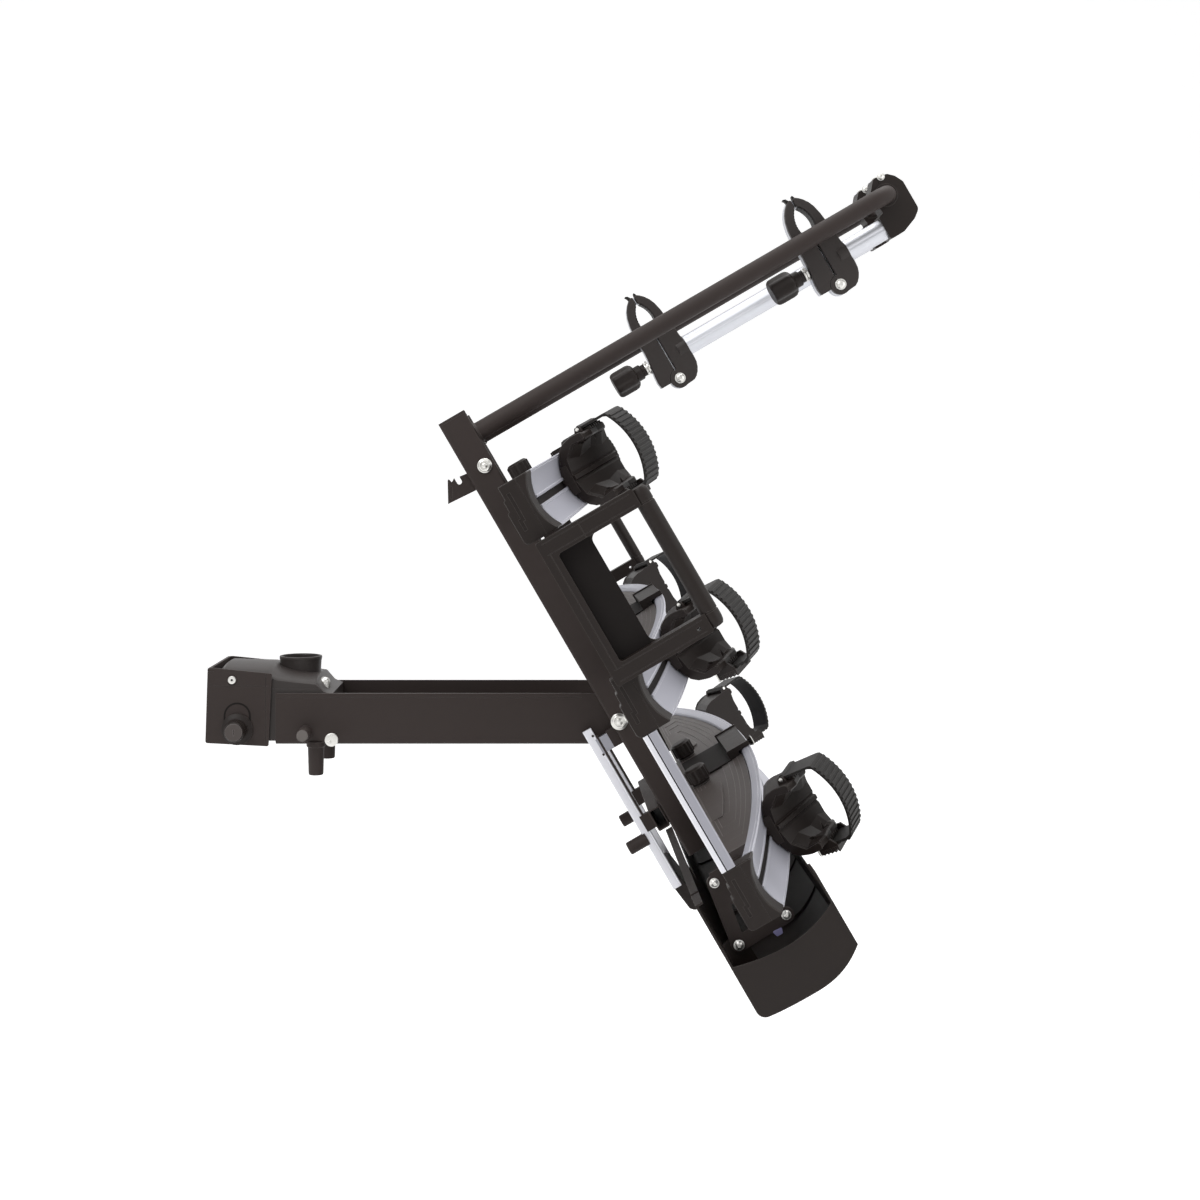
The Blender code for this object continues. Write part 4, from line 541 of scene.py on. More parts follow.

# %% [markdown]
# The trays are satin aluminium with a cool cast, the arms brighter, the screws zinc. The slot
# shadow finish is a painted shade, a dull black on pieces that stand in for the shade in slots,
# grooves and recesses. A lighter brown finish is a painted highlight for edges that catch light.

# %% Metals and shadows
make_finish("worn_edge", (0.150, 0.134, 0.125), 0.48, scale=1500, height=0.10, specular=0.3)
make_finish("tray_metal", (0.47, 0.47, 0.53), 0.42, metallic=0.35, scale=500, stretch=(1, 0.02, 1),
            height=0.10, vary=0.06, edge=(0.85, 0.85, 0.88), highlight_share=0.6)
make_finish("bright_metal", (0.62, 0.63, 0.67), 0.40, metallic=0.75, scale=600, stretch=(1, 1, 0.02),
            turn=-TILT, height=0.05, vary=0.04, edge=(0.80, 0.81, 0.84), highlight_share=0.35)
make_finish("zinc_plate", (0.66, 0.65, 0.62), 0.28, metallic=0.95, scale=1800, height=0.12, vary=0.10,
            edge=(0.9, 0.9, 0.88), highlight_share=0.5)
make_finish("slot_shadow", (0.0110, 0.0088, 0.0082), 0.7, height=0.05, edge=(0.011, 0.009, 0.008),
            specular=0.14)
print("finishes:", ", ".join(FINISHES))

# %% [markdown]
# Each node of the model names the material that it is made of. That name picks its finish.

# %% The nodes get their finish
SLOT_FINISH = {"painted_steel": "powder_coat", "cast_head": "cast_paint", "black_plastic": "moulded_plastic",
               "strap_plastic": "strap_plastic", "tray_aluminium": "tray_metal",
               "bright_aluminium": "bright_metal", "zinc": "zinc_plate"}
NODE_SLOT = {row["node"]: row["material_slot"] for row in frame["record"]["subparts"]}
for name, obj in frame["nodes"].items():
    obj.data.materials.clear()
    obj.data.materials.append(FINISHES[SLOT_FINISH[NODE_SLOT[name]]])
print("nodes with a finish:", len(NODE_SLOT))

# %% [markdown]
# ## Putting a piece in its place
# A finer piece takes over from its node: it rides on the node's body, hides the node and takes
# the finish that the record names. Its mesh is carried to its place, so the object stays put.

# %% Dressing a node
BODY_OF = {}
for body_name, members in frame["record"]["behaviour"]["bodies"].items():
    for member in members:
        BODY_OF[member] = body_name


def add(obj, body, finish, place=PLATFORM, width=0.0006, segments=2, angle=40):
    """A piece of its own on a body."""
    obj.data.transform(place)
    if place.determinant() < 0:
        obj.data.flip_normals()
    ease(obj, width, segments, angle)
    obj.data.materials.clear()
    obj.data.materials.append(FINISHES[finish])
    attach(obj, body)
    return obj


def dress(obj, *nodes, finish=None, place=PLATFORM, width=0.0008, segments=2, angle=40):
    """A piece that stands for its nodes."""
    slot = NODE_SLOT[nodes[0]]
    add(obj, BODY_OF[nodes[0]], finish or SLOT_FINISH[slot], place, width, segments, angle)
    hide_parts(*nodes)
    return obj


# %% [markdown]
# A piece that returns is made once as a pattern and copied. The patterns leave the scene
# when their copies stand, and a shifted matrix brings each copy to its tray.

# %% Patterns and their copies
def copy_of(obj, name):
    return link(name, obj.data.copy())


def forget(*objects):
    for obj in objects:
        bpy.data.objects.remove(obj, do_unlink=True)


def slide(place):
    """The platform's matrix, shifted to one tray."""
    return PLATFORM @ Matrix.Translation((place, 0, 0))


print("helpers: copy_of, forget, slide")

# %% [markdown]
# ## The wheel trays
# Geometry Nodes trees make what follows a rule or repeats. They all begin with named inputs and
# end with real geometry that carries its material, so those two ends are written once.

# %% Both ends of a tree
def shape_tree(name, inputs):
    """An empty Geometry Nodes tree with named inputs and a material."""
    tree = bpy.data.node_groups.new(name, "GeometryNodeTree")
    rows = [("Geometry", "Geometry", None)] + inputs + [("Material", "Material", None)]
    for label, kind, value in rows:
        socket = tree.interface.new_socket(label, in_out="INPUT", socket_type="NodeSocket" + kind)
        if value is not None:
            socket.default_value = value
    tree.interface.new_socket("Geometry", in_out="OUTPUT", socket_type="NodeSocketGeometry")
    return tree, tree.nodes.new("NodeGroupInput").outputs, tree.nodes.new("NodeGroupOutput").inputs


def close_tree(tree, given, result, shape):
    real = wire(tree, "GeometryNodeRealizeInstances", {"Geometry": shape})
    coat = wire(tree, "GeometryNodeSetMaterial", {"Geometry": real.outputs[0], "Material": given["Material"]})
    tree.links.new(coat.outputs[0], result["Geometry"])
    return tree


def grow(obj, tree, finish, **values):
    """Run a tree on an object and keep its mesh."""
    step = obj.modifiers.new(tree.name, "NODES")
    step.node_group = tree
    wanted = {key.replace("_", " "): value for key, value in values.items()}
    wanted["Material"] = FINISHES[finish]
    for item in tree.interface.items_tree:
        if item.in_out == "INPUT" and item.name in wanted:
            step[item.identifier] = wanted[item.name]
    return baked(obj)


def maths(tree, operation, first, second=0.0):
    return wire(tree, "ShaderNodeMath", {0: first, 1: second}, operation=operation).outputs[0]


print("tree helpers: shape_tree, close_tree, grow, maths")

# %% [markdown]
# Each tray is one aluminium extrusion, rolled to a long arch. The maker bends a straight bar,
# so the lesson does too: a small tree carries every point of the bar round the arch.

# %% A tree that bends a straight bar
ARCH_RADIUS = 2.1907
ARCH_LIP = 0.139
ARCH_CENTRE = ARCH_LIP - ARCH_RADIUS


def bend_tree():
    tree, given, result = shape_tree("bend_to_arch", [
        ("Arch Radius", "Float", ARCH_RADIUS), ("Arch Centre", "Float", ARCH_CENTRE)])
    spot = wire(tree, "ShaderNodeSeparateXYZ", {0: wire(tree, "GeometryNodeInputPosition").outputs[0]})
    turn = maths(tree, "ARCSINE", maths(tree, "DIVIDE", spot.outputs["Y"], given["Arch Radius"]))
    reach = maths(tree, "SUBTRACT", spot.outputs["Z"], given["Arch Centre"])
    across = maths(tree, "MULTIPLY", reach, maths(tree, "SINE", turn))
    up = maths(tree, "MULTIPLY", reach, maths(tree, "COSINE", turn))
    moved = wire(tree, "ShaderNodeCombineXYZ", {"X": spot.outputs["X"], "Y": across,
                                                "Z": maths(tree, "ADD", up, given["Arch Centre"])})
    bent = wire(tree, "GeometryNodeSetPosition",
                {"Geometry": given["Geometry"], "Position": moved.outputs[0]})
    return close_tree(tree, given, result, bent.outputs[0])


def straight(name, section, low, high, stations):
    """A bar along Y with many stations, ready to be bent."""
    ends = [low + (high - low) * i / stations for i in range(stations + 1)]
    return skin(name, [[(u, y, n) for u, n in section] for y in ends])


BEND = bend_tree()
print("tree:", BEND.name, "with", len(BEND.nodes), "nodes")

# %% [markdown]
# The section has what the eye finds on the real bar: a round gutter, a slot along its middle,
# a small bead at each lip, a fine line down each side and two grooves underneath.

# %% Three trays
TRAY_PLACES = (-0.3185, -0.0803, 0.1582)
TRAY_HALF = 0.035
TRAY_END = 0.5597
TRAY_LOW = ARCH_LIP - 0.0155
GUTTER_HALF, GUTTER_DEEP = 0.033, 0.010
GUTTER_FLOOR = ARCH_LIP - 0.010


def gutter(u):
    """How far the round gutter has risen at a distance from its middle."""
    radius = (GUTTER_HALF**2 + GUTTER_DEEP**2) / (2 * GUTTER_DEEP)
    return radius - math.sqrt(radius**2 - u**2)


def tray_section():
    half, lip = TRAY_HALF, ARCH_LIP
    under = [(0.012, TRAY_LOW), (0.0124, TRAY_LOW + 0.0010), (0.0156, TRAY_LOW + 0.0010), (0.016, TRAY_LOW)]
    flank = [(half - 0.006, TRAY_LOW), (half - 0.0016, TRAY_LOW + 0.0020), (half, TRAY_LOW + 0.0060)]
    flank += [(half, lip - 0.0046), (half - 0.0007, lip - 0.0042), (half - 0.0007, lip - 0.0034)]
    flank += [(half, lip - 0.0030), (half, lip - 0.0008), (half - 0.0007, lip), (half - 0.0016, lip)]
    bed = [(half - 0.0023, lip - 0.0012)]
    for i in range(11):
        u = 0.0318 - (0.0318 - 0.0076) * i / 10
        bed.append((u, GUTTER_FLOOR + gutter(u)))
    bead = [(0.0070, GUTTER_FLOOR + 0.0013), (0.0052, GUTTER_FLOOR + 0.0013), (0.0043, GUTTER_FLOOR + 0.0006)]
    return mirrored(under + flank + bed + bead + [(0.0043, GUTTER_FLOOR - 0.0030)])


# The dark strip down the slot, in the dull black finish, is painted shade for the slot's inside.
slot_low = GUTTER_FLOOR - 0.0029
slot_strip = [(0.0041, slot_low), (0.0041, slot_low + 0.0022), (0.0030, slot_low + 0.0006)]
for number, place in enumerate(TRAY_PLACES, start=1):
    bar = straight("tray_extrusion_%d" % number, tray_section(), -TRAY_END, TRAY_END, 72)
    dress(grow(bar, BEND, "tray_metal"), "tray_%d" % number, place=slide(place), width=0)
    strip = straight("tray_slot_strip_%d" % number, mirrored(slot_strip), -TRAY_END, TRAY_END, 72)
    add(grow(strip, BEND, "slot_shadow"), "platform", "slot_shadow", slide(place), 0)
print("trays:", len(TRAY_PLACES), "arches of", round(2 * TRAY_END, 3), "m")

# %% [markdown]
# ## The saddles
# The moulded saddles carry the trays on the rails. Their cheeks step inwards in bands that run
# with the arch, and light catches on their steps. A Boolean stack is the plain way: one block
# with a round back, a hollow, one cut for each band. Ribs stiffen the hollow.

# %% The saddle's arch and ribs
SADDLE_HALF = 0.030
SADDLE_END = 0.500
SADDLE_TOP = ARCH_RADIUS - 0.0161
CHORD = 0.0365
RAIL_MID = 0.0945
KNOB_Y, KNOB_N = 0.105, 0.055


def crown(drop, half, steps=40):
    radius = SADDLE_TOP - drop
    stations = [-half + 2 * half * i / steps for i in range(steps + 1)]
    return [(y, ARCH_CENTRE + math.sqrt(radius**2 - y**2)) for y in stations]


def cheek(band):
    half = SADDLE_END - 5.5 * band
    foot = CHORD + 0.6 * band
    return crown(band, half) + [(half, foot), (-half, foot)]


def saddle_steps(saddle):
    for band, depth in ((0.0080, 0.0006), (0.0150, 0.0012), (0.0220, 0.0018), (0.0320, 0.0026)):
        face = cheek(band)
        cut(saddle, push("step", face, -SADDLE_HALF - 0.01, -SADDLE_HALF + depth, "X"),
            push("step", face, SADDLE_HALF - depth, SADDLE_HALF + 0.01, "X"))


def saddle_ribs():
    """Cross ribs in the hollow, where only the underside shows them."""
    ribs = []
    for i in range(-8, 9):
        y = 0.052 * i
        if abs(abs(y) - RAIL_MID) < 0.025:
            continue
        top = ARCH_CENTRE + math.sqrt((SADDLE_TOP - 0.002)**2 - y**2)
        ribs.append(slab("rib", (-0.0275, 0.0275), (y - 0.0011, y + 0.0011), (top - 0.022, top)))
    return ribs


print("saddle: rail middle at", RAIL_MID, "knob at", (KNOB_Y, KNOB_N))

# %% [markdown]
# Beside each knob the cheek carries a raised panel. Pads stand on the rails, and the knob's stud
# runs in a bore through its seat.

# %% The saddle
PANEL_FOOT, PANEL_BACK = 0.0425, 0.0262


def saddle_panel(side):
    """The raised panel beside the knob, under the bands."""
    top = [(side * abs(y), n, 0) for y, n in crown(0.040, 0.33) if y >= 0.158]
    corner = (side * 0.150, top[0][1] + 0.0005, 0.008)
    line = rounded([(side * 0.330, PANEL_FOOT, 0), (side * 0.150, PANEL_FOOT, 0), corner] + top, 6)
    return [push("panel", line, *span(face, PANEL_BACK, SADDLE_HALF), "X") for face in (-1, 1)]


def saddle_master():
    saddle = push("saddle_master", cheek(0), -SADDLE_HALF, SADDLE_HALF, "X")
    wall = 0.004
    inside = crown(wall, SADDLE_END - wall) + [(SADDLE_END - wall, 0), (wall - SADDLE_END, 0)]
    cut(saddle, push("hollow", inside, wall - SADDLE_HALF, SADDLE_HALF - wall, "X"))
    saddle_steps(saddle)
    join(saddle, *saddle_ribs())
    for side in (-1, 1):
        y = span(side, 0.0785, 0.1165)
        join(saddle, slab("rail_pad", (-0.027, 0.027), y, (0.0303, 0.070)))
        spot = (side * KNOB_Y, KNOB_N)
        seat = [(0.0125, -0.0300), (0.0118, -0.0280), (0.0118, -0.0230)]
        join(saddle, lathe("knob_seat", seat, spot, "X", 32))
        cut(saddle, rod("stud_bore", 0.0044, -0.04, 0.0, spot, "X", 24))
        join(saddle, *saddle_panel(side))
    return saddle


saddle_shape = saddle_master()
print("saddle:", len(saddle_shape.data.polygons), "faces")

# %% [markdown]
# A clip moulded to the saddle grips the flanks of the tray, with a rim at each end. Under it,
# between the knobs, the webs lie in its shade, and that shade is painted on them in a dull black.

# %% Clips, webs and the three saddles
CLIP_HALF = 0.075


def tray_bracket():
    """The clip moulded to the saddle that grips the flanks of the tray."""
    side_n, bend = TRAY_LOW + 0.0135, TRAY_LOW - 0.0042
    near, out = TRAY_HALF + 0.0003, TRAY_HALF + 0.005
    grip = mirrored([(out, bend - 0.013), (out, side_n), (near, side_n), (near, bend)])
    clip = push("tray_bracket", grip, -CLIP_HALF, CLIP_HALF)
    rim = mirrored([(out + 0.002, bend - 0.015), (out + 0.002, side_n + 0.001), (near, side_n + 0.001),
                    (near, bend)])
    for side in (-1, 1):
        join(clip, push("rim", rim, *span(side, 0.071, CLIP_HALF)))
    return clip


def tray_web():
    """The webs under the clip, between the knobs, with their shade painted on in a dull black."""
    line = rounded([(-0.0760, PANEL_FOOT, 0.002), (0.0760, PANEL_FOOT, 0.002),
                    (0.0745, 0.1155, 0.001), (-0.0745, 0.1155, 0.001)])
    webs = [push("web", line, *span(face, PANEL_BACK, SADDLE_HALF), "X") for face in (-1, 1)]
    return gather("tray_web", webs)


bracket_shape, web_shape = tray_bracket(), tray_web()
for number, place in enumerate(TRAY_PLACES, start=1):
    # The saddles take the lighter plastic, a painted highlight for their lit cheeks.
    dress(copy_of(saddle_shape, "saddle_moulding_%d" % number), "tray_saddle_%d" % number,
          finish="cheek_plastic", place=slide(place), width=0.0007)
    add(copy_of(bracket_shape, "tray_clip_%d" % number), "platform", "moulded_plastic",
        slide(place), 0.0007)
    add(copy_of(web_shape, "tray_web_%d" % number), "platform", "slot_shadow",
        slide(place), 0.0005)
forget(saddle_shape, bracket_shape, web_shape)
print("saddles: 3, each with 5 bands to a cheek")

# %% [markdown]
# ## Caps and hand knobs
# The caps close the trays. Seen from the end, a cap is a block with a crescent on top, a step in
# its foot and a shadow line round its face. Rings that shrink a little draw that line.

# %% Tray caps
CAP_IN, CAP_OUT = 0.560, 0.583
CAP_FOOT = 0.0205


def cap_outline(y, inset):
    lip = ARCH_CENTRE + math.sqrt(ARCH_RADIUS**2 - y**2)
    half = TRAY_HALF - inset
    horn = [(half, lip - inset - 0.0012), (half - 0.0012, lip - inset)]
    for i in range(13):
        u = 0.0325 - 0.0325 * i / 12
        horn.append((u - inset * (u > 0), lip - 0.010 + gutter(u) - inset))
    left = [(-u, v) for u, v in reversed(horn[:-1])]
    low = CAP_FOOT + inset
    foot = [(-half, low + 0.0050), (-0.0195, low + 0.0050), (-0.0180, low + 0.0026), (-0.0060, low + 0.0026),
            (-0.0040, low), (half - 0.0050, low), (half - 0.0015, low + 0.0015), (half, low + 0.0050)]
    return horn + left + foot


def cap_master(side):
    rows = []
    for y, inset in ((CAP_IN, 0.0004), (CAP_OUT - 0.0050, 0.0), (CAP_OUT - 0.0024, 0.0),
                     (CAP_OUT - 0.0022, 0.0011), (CAP_OUT - 0.0016, 0.0011), (CAP_OUT - 0.0014, 0.0004),
                     (CAP_OUT - 0.0004, 0.0006), (CAP_OUT, 0.0012)):
        rows.append([(u, side * y, v) for u, v in cap_outline(y, inset)])
    cap = skin("cap_master", rows)
    y = span(side, CAP_OUT - 0.0012, CAP_OUT + 0.01)
    seam = slab("seam", (-0.04, 0.04), y, (0.0460, 0.0467))
    recess = [(-0.024, 0.0305), (0.006, 0.0305), (0.006, 0.0275), (0.020, 0.0275), (0.020, 0.0315),
              (0.010, 0.0315), (0.010, 0.0345), (-0.024, 0.0345)]
    return cut(cap, push("recess", recess, *y), seam)


print("cap outline:", len(cap_outline(CAP_OUT, 0)), "points")

# %% [markdown]
# The hand knobs are moulded with flutes for the fingers: rings of points whose radius waves.

# %% Hand knobs
def knob_ring(spot, radius, offset, depth, flutes=14, steps=84):
    ring = []
    for i in range(steps):
        turn = 2 * math.pi * i / steps
        r = radius - depth * (1 - math.cos(flutes * turn)) / 2
        ring.append((offset, spot[0] + r * math.cos(turn), spot[1] + r * math.sin(turn)))
    return ring


def tray_knob(number, place, side, word):
    face = -0.0306
    spot = (side * KNOB_Y, KNOB_N)
    end = face - 0.0235
    rows = [(0.0100, end, 0), (0.0128, end + 0.0006, 0), (0.0140, end + 0.0022, 0), (0.0156, end + 0.0030, 0),
            (0.0160, end + 0.0044, 0.0016), (0.0160, face - 0.0050, 0.0016), (0.0152, face - 0.0036, 0),
            (0.0128, face - 0.0030, 0), (0.0128, face, 0)]
    knob = skin("tray_knob_grip_%d_%s" % (number, word), [knob_ring(spot, r, w, d) for r, w, d in rows])
    stud = rod("stud", 0.0040, face - 0.004, face + 0.018, spot, "X", 20)
    dress(gather(knob.name, [knob, stud]), "tray_knob_%d_%s" % (number, word), place=slide(place),
          width=0.0004)


for side, word in SIDES:
    master = cap_master(side)
    for number, place in enumerate(TRAY_PLACES, start=1):
        dress(copy_of(master, "cap_%d_%s" % (number, word)), "tray_cap_%d_%s" % (number, word),
              place=slide(place), width=0.0006)
        tray_knob(number, place, side, word)
    forget(master)
print("caps: 6, hand knobs: 6")

# %% [markdown]
# ## The wheel holders
# Six moulded cradles slide on the trays. Near and far ones are mirror images, so one cradle is
# made in its own axes: u across the tyre, v away from the tray, w along the tyre. A matrix with
# a mirrored axis makes the other hand; its faces are turned back after the move.

# %% The holder's axes
HOLDER_Y = 0.365
HOLDER_LEAN = math.radians(29)
HINGE_U, HINGE_V = -0.0475, 0.040
STRAP_LOW, STRAP_HIGH = -0.012, 0.030


def holder_place(place, side):
    turn = math.asin(HOLDER_Y / ARCH_RADIUS)
    reach = ARCH_LIP + 0.002 - ARCH_CENTRE
    sine, cosine = math.sin(HOLDER_LEAN), math.cos(HOLDER_LEAN)
    return PLATFORM @ Matrix((
        (1, 0, 0, place),
        (0, side * sine, -side * cosine, side * reach * math.sin(turn)),
        (0, cosine, sine, ARCH_CENTRE + reach * math.cos(turn)),
        (0, 0, 0, 1)))


def prong(name, outline, low, high):
    return push(name, outline, low, high, "Z")


print("holder axes at", [round(v, 3) for v in holder_place(TRAY_PLACES[0], -1).translation])

# %% [markdown]
# A bent wire or tube is a curve with a round bevel, turned into a closed mesh.

# %% Wires and tubes
def tube(name, route, radius, cyclic=False, smooth=3):
    """A round wire along a route, from a curve."""
    curve = bpy.data.curves.new(name, "CURVE")
    curve.dimensions, curve.bevel_depth, curve.bevel_resolution = "3D", radius, smooth
    curve.use_fill_caps = True
    line = curve.splines.new("POLY")
    line.points.add(len(route) - 1)
    line.use_cyclic_u = cyclic
    for point, spot in zip(line.points, route):
        point.co = (*spot, 1)
    guide = link(name + "_guide", curve)
    mesh = bpy.data.meshes.new_from_object(guide.evaluated_get(bpy.context.evaluated_depsgraph_get()))
    bpy.data.objects.remove(guide, do_unlink=True)
    mesh.name = name
    shape = bmesh.new()
    shape.from_mesh(mesh)
    bmesh.ops.remove_doubles(shape, verts=shape.verts, dist=0.00001)
    bmesh.ops.recalc_face_normals(shape, faces=shape.faces)
    shape.to_mesh(mesh)
    shape.free()
    return link(name, mesh)


print("makers: tube")

# %% [markdown]
# The cradle is a faceted scoop. Its sections are few on purpose: the flat planes between them
# are the facets of the moulding, and a narrow bevel keeps each plane flat. Three-sided pits are
# sunk in the trough, and a small ridge runs along its floor.

# %% The cradle
def scoop_section(w, swell, depth, proud):
    half = 0.043 + proud
    top = 0.055 - depth
    base = -0.0108 - w * math.tan(HOLDER_LEAN - math.asin(HOLDER_Y / ARCH_RADIUS)) - proud
    floor = 0.012 + 0.032 * (w + 0.030) / 0.064
    rise = top - floor
    outer = [(0.010, base + gutter(0.010)), (0.026, base + gutter(0.026) + 0.001), (0.0355, base + 0.0125),
             (half - 0.0030, base + 0.0205), (half - 0.0008, base + 0.0300), (half, 0.034),
             (half - 0.0004, 0.044)]
    rim = [(half - 0.0012, top - 0.001), (half - 0.0030, top), (half - 0.0080, top),
           (half - 0.0098, top - 0.0016)]
    inner = [(half - 0.0075 - swell, floor + 0.50 * rise), (0.0235 - swell, floor + 0.10 * rise),
             (0.0075, floor + 0.0006), (0.0042, floor - 0.0010), (0.0024, floor + 0.0018)]
    return mirrored(outer + rim + inner)


def pit(u, v, w, turn, size, depth=0.0075):
    """A three-sided pit in the trough's wall, its axis leaning to the middle."""
    axis = Vector((math.copysign(0.80, u), -0.55, 0.10)).normalized()
    first = axis.cross(Vector((0, 0, 1))).normalized()
    second = axis.cross(first)
    rings = []
    for reach, scale in ((-0.006, 1.5), (depth, 0.02)):
        ring = []
        for k in range(3):
            swing = math.radians(turn + 120 * k)
            spot = Vector((u, v, w)) + axis * reach
            ring.append(spot + (first * math.cos(swing) + second * math.sin(swing)) * size * scale)
        rings.append(ring)
    return skin("pit", rings)


def cradle_master():
    rows = []
    for w, swell, depth, proud in ((-0.0300, 0.000, 0.006, 0.0008), (-0.0278, 0.000, 0.006, 0.0012),
                                   (-0.0270, 0.001, 0.005, 0.0), (-0.0135, 0.005, 0.001, 0.0),
                                   (0.0068, 0.001, 0.003, 0.0), (0.0221, 0.0055, 0.000, 0.0),
                                   (0.0340, 0.002, 0.005, 0.0)):
        rows.append([(u, v, w) for u, v in scoop_section(w, swell, depth, proud)])
    cradle = skin("cradle_master", rows)
    pits = []
    for side in (-1, 1):
        pits += [pit(side * 0.0300, 0.0385, -0.0150, 20, 0.0085),
                 pit(side * 0.0300, 0.0450, 0.0120, 80, 0.0080)]
    cut(cradle, *pits)
    return cradle


cradle_shape = cradle_master()
print("cradle:", len(cradle_shape.data.polygons), "facets")

# %% [markdown]
# On the scoop stand grip pads, the strap's hinge lugs and the slatted buckle on its free side.

# %% Pads, lugs and buckle
def cradle_details():
    """Grip pads, hinge lugs and the buckle round the strap's free end."""
    pieces = []
    for side in (-1, 1):
        for i in range(6):
            w = -0.0100 + 0.0058 * i
            u = span(side, 0.0405, 0.0448)
            pieces.append(slab("ridge", u, (0.0395, 0.0535), (w, w + 0.0032)))
    lug = [(-0.0405, 0.033), (-0.0405, 0.046), (-0.0460, 0.0448), (-0.0505, 0.0430), (-0.0505, 0.0370),
           (-0.046, 0.0345)]
    for low, high in ((-0.0163, -0.0123), (0.0303, 0.0338)):
        pieces.append(prong("lug", lug, low, high))
    guard = rounded([(0.0400, 0.0330, 0.001), (0.0545, 0.0360, 0.002), (0.0560, 0.0560, 0.002),
                     (0.0500, 0.0625, 0.002), (0.0400, 0.0560, 0.001)], 3)
    for low, high in ((-0.0158, -0.0125), (0.0305, 0.0338)):
        pieces.append(prong("guard", guard, low, high))
    for i in range(5):
        v = 0.0385 + 0.0050 * i
        slat = [(0.0502, v), (0.0545 + 0.0004 * i, v + 0.0004), (0.0565 + 0.0004 * i, v + 0.0020),
                (0.0502, v + 0.0030)]
        pieces.append(prong("slat", slat, -0.0160, 0.0340))
    bed = [(0.0502, 0.0375), (0.0520, 0.0375), (0.0520, 0.0615), (0.0502, 0.0615)]
    pieces.append(prong("slat_bed", bed, -0.0157, 0.0337))
    return gather("cradle_details", pieces)


detail_shape = cradle_details()
print("cradle details:", len(detail_shape.data.polygons), "faces")

# %% [markdown]
# Zinc wire holds the buckle, and a pin with flat heads carries the strap. The foot runs in the
# gutter, so it is drawn on the arch and brought into the holder's own axes.

# %% Wires, feet and the six holders
def hinge_wire():
    """The pin that the strap turns on."""
    rows = [(0.0012, -0.0172), (0.0024, -0.0168), (0.0024, -0.0164), (0.0016, -0.0163), (0.0016, 0.0340),
            (0.0024, 0.0341), (0.0024, 0.0345), (0.0012, 0.0349)]
    return lathe("pin", rows, (HINGE_U, HINGE_V), "Z", 20)


def buckle_wire():
    corners = rounded([(0.0405, -0.0172, 0.003), (0.0555, -0.0172, 0.004), (0.0555, 0.0362, 0.004),
                       (0.0405, 0.0362, 0.003)], 5)
    return tube("wire", [(u, 0.0362, w) for u, w in corners], 0.0011, True)


def slide_foot(side):
    floor = GUTTER_FLOOR
    right = [(0.018, floor + 0.012), (0.018, floor + gutter(0.018) + 0.0006),
             (0.0085, floor + gutter(0.0085) + 0.0006), (0.0078, floor + 0.0019), (0.0040, floor + 0.0019),
             (0.0036, floor + 0.0006), (0.0036, floor - 0.0012)]
    bar = straight("foot", mirrored(right), side * HOLDER_Y - 0.032, side * HOLDER_Y + 0.032, 12)
    grow(bar, BEND, "moulded_plastic")
    bar.data.transform(holder_place(0, side).inverted() @ PLATFORM)
    return bar


for number, place in enumerate(TRAY_PLACES, start=1):
    for side, word in SIDES:
        label = "%d_%s" % (number, word)
        spot = holder_place(place, side)
        body = "wheel_holder_" + label
        dress(copy_of(cradle_shape, "cradle_scoop_" + label), "wheel_cradle_" + label, place=spot,
              width=0.0006, segments=1, angle=12)
        add(copy_of(detail_shape, "cradle_buckle_" + label), body, "moulded_plastic", spot,
            0.0004)
        foot = slide_foot(side)
        foot.name = "cradle_foot_" + label
        add(foot, body, "moulded_plastic", spot, 0.0005)
        wires = gather("holder_wires_" + label, [hinge_wire(), buckle_wire()])
        add(wires, body, "zinc_plate", spot, 0)
forget(cradle_shape, detail_shape)
print("wheel holders: 6")

# %% [markdown]
# The strap is a smooth band with ribs across its outside. Ribs repeat along a path, so Geometry
# Nodes place them: the crown line is resampled, and a small bar is set on each point, turned
# along the line.

# %% The toothed straps
def rib_tree():
    tree, given, result = shape_tree("ribs_on_path", [
        ("Ribs", "Int", 17), ("Rib Size", "Vector", (0.0022, 0.0012, 0.038)), ("Lift", "Float", 0.0004)])
    path = wire(tree, "GeometryNodeMeshToCurve", {"Mesh": given["Geometry"]})
    even = wire(tree, "GeometryNodeResampleCurve", {"Curve": path.outputs[0], "Count": given["Ribs"]},
                mode="COUNT")
    points = wire(tree, "GeometryNodeCurveToPoints", {"Curve": even.outputs[0]}, mode="EVALUATED")
    turned = wire(tree, "FunctionNodeAlignRotationToVector", {"Vector": points.outputs["Tangent"]},
                  axis="X", pivot_axis="Z")
    bar = wire(tree, "GeometryNodeMeshCube", {"Size": given["Rib Size"]})
    raised = wire(tree, "ShaderNodeCombineXYZ", {"Y": given["Lift"]})
    lifted = wire(tree, "GeometryNodeTransform",
                  {"Geometry": bar.outputs[0], "Translation": raised.outputs[0]})
    ribs = wire(tree, "GeometryNodeInstanceOnPoints", {
        "Points": points.outputs[0], "Instance": lifted.outputs[0], "Rotation": turned.outputs[0]})
    return close_tree(tree, given, result, ribs.outputs[0])


RIBS = rib_tree()
print("tree:", RIBS.name, "with", len(RIBS.nodes), "nodes")

# %% [markdown]
# The band's own outline is a crown over two straight legs, and a hub turns on the pin.

# %% The band and the six straps
STRAP_LEG_OUT, STRAP_LEG_IN = 0.0490, 0.0460
CROWN_CENTRE = (0, 0.00747)


def path_mesh(name, points):
    mesh = bpy.data.meshes.new(name)
    mesh.from_pydata(points, [(i, i + 1) for i in range(len(points) - 1)], [])
    return link(name, mesh)


def strap_line(radius, first, last, steps):
    """Points of the crown at a radius, from one angle to the other."""
    return arc(CROWN_CENTRE, radius, first, last, steps)


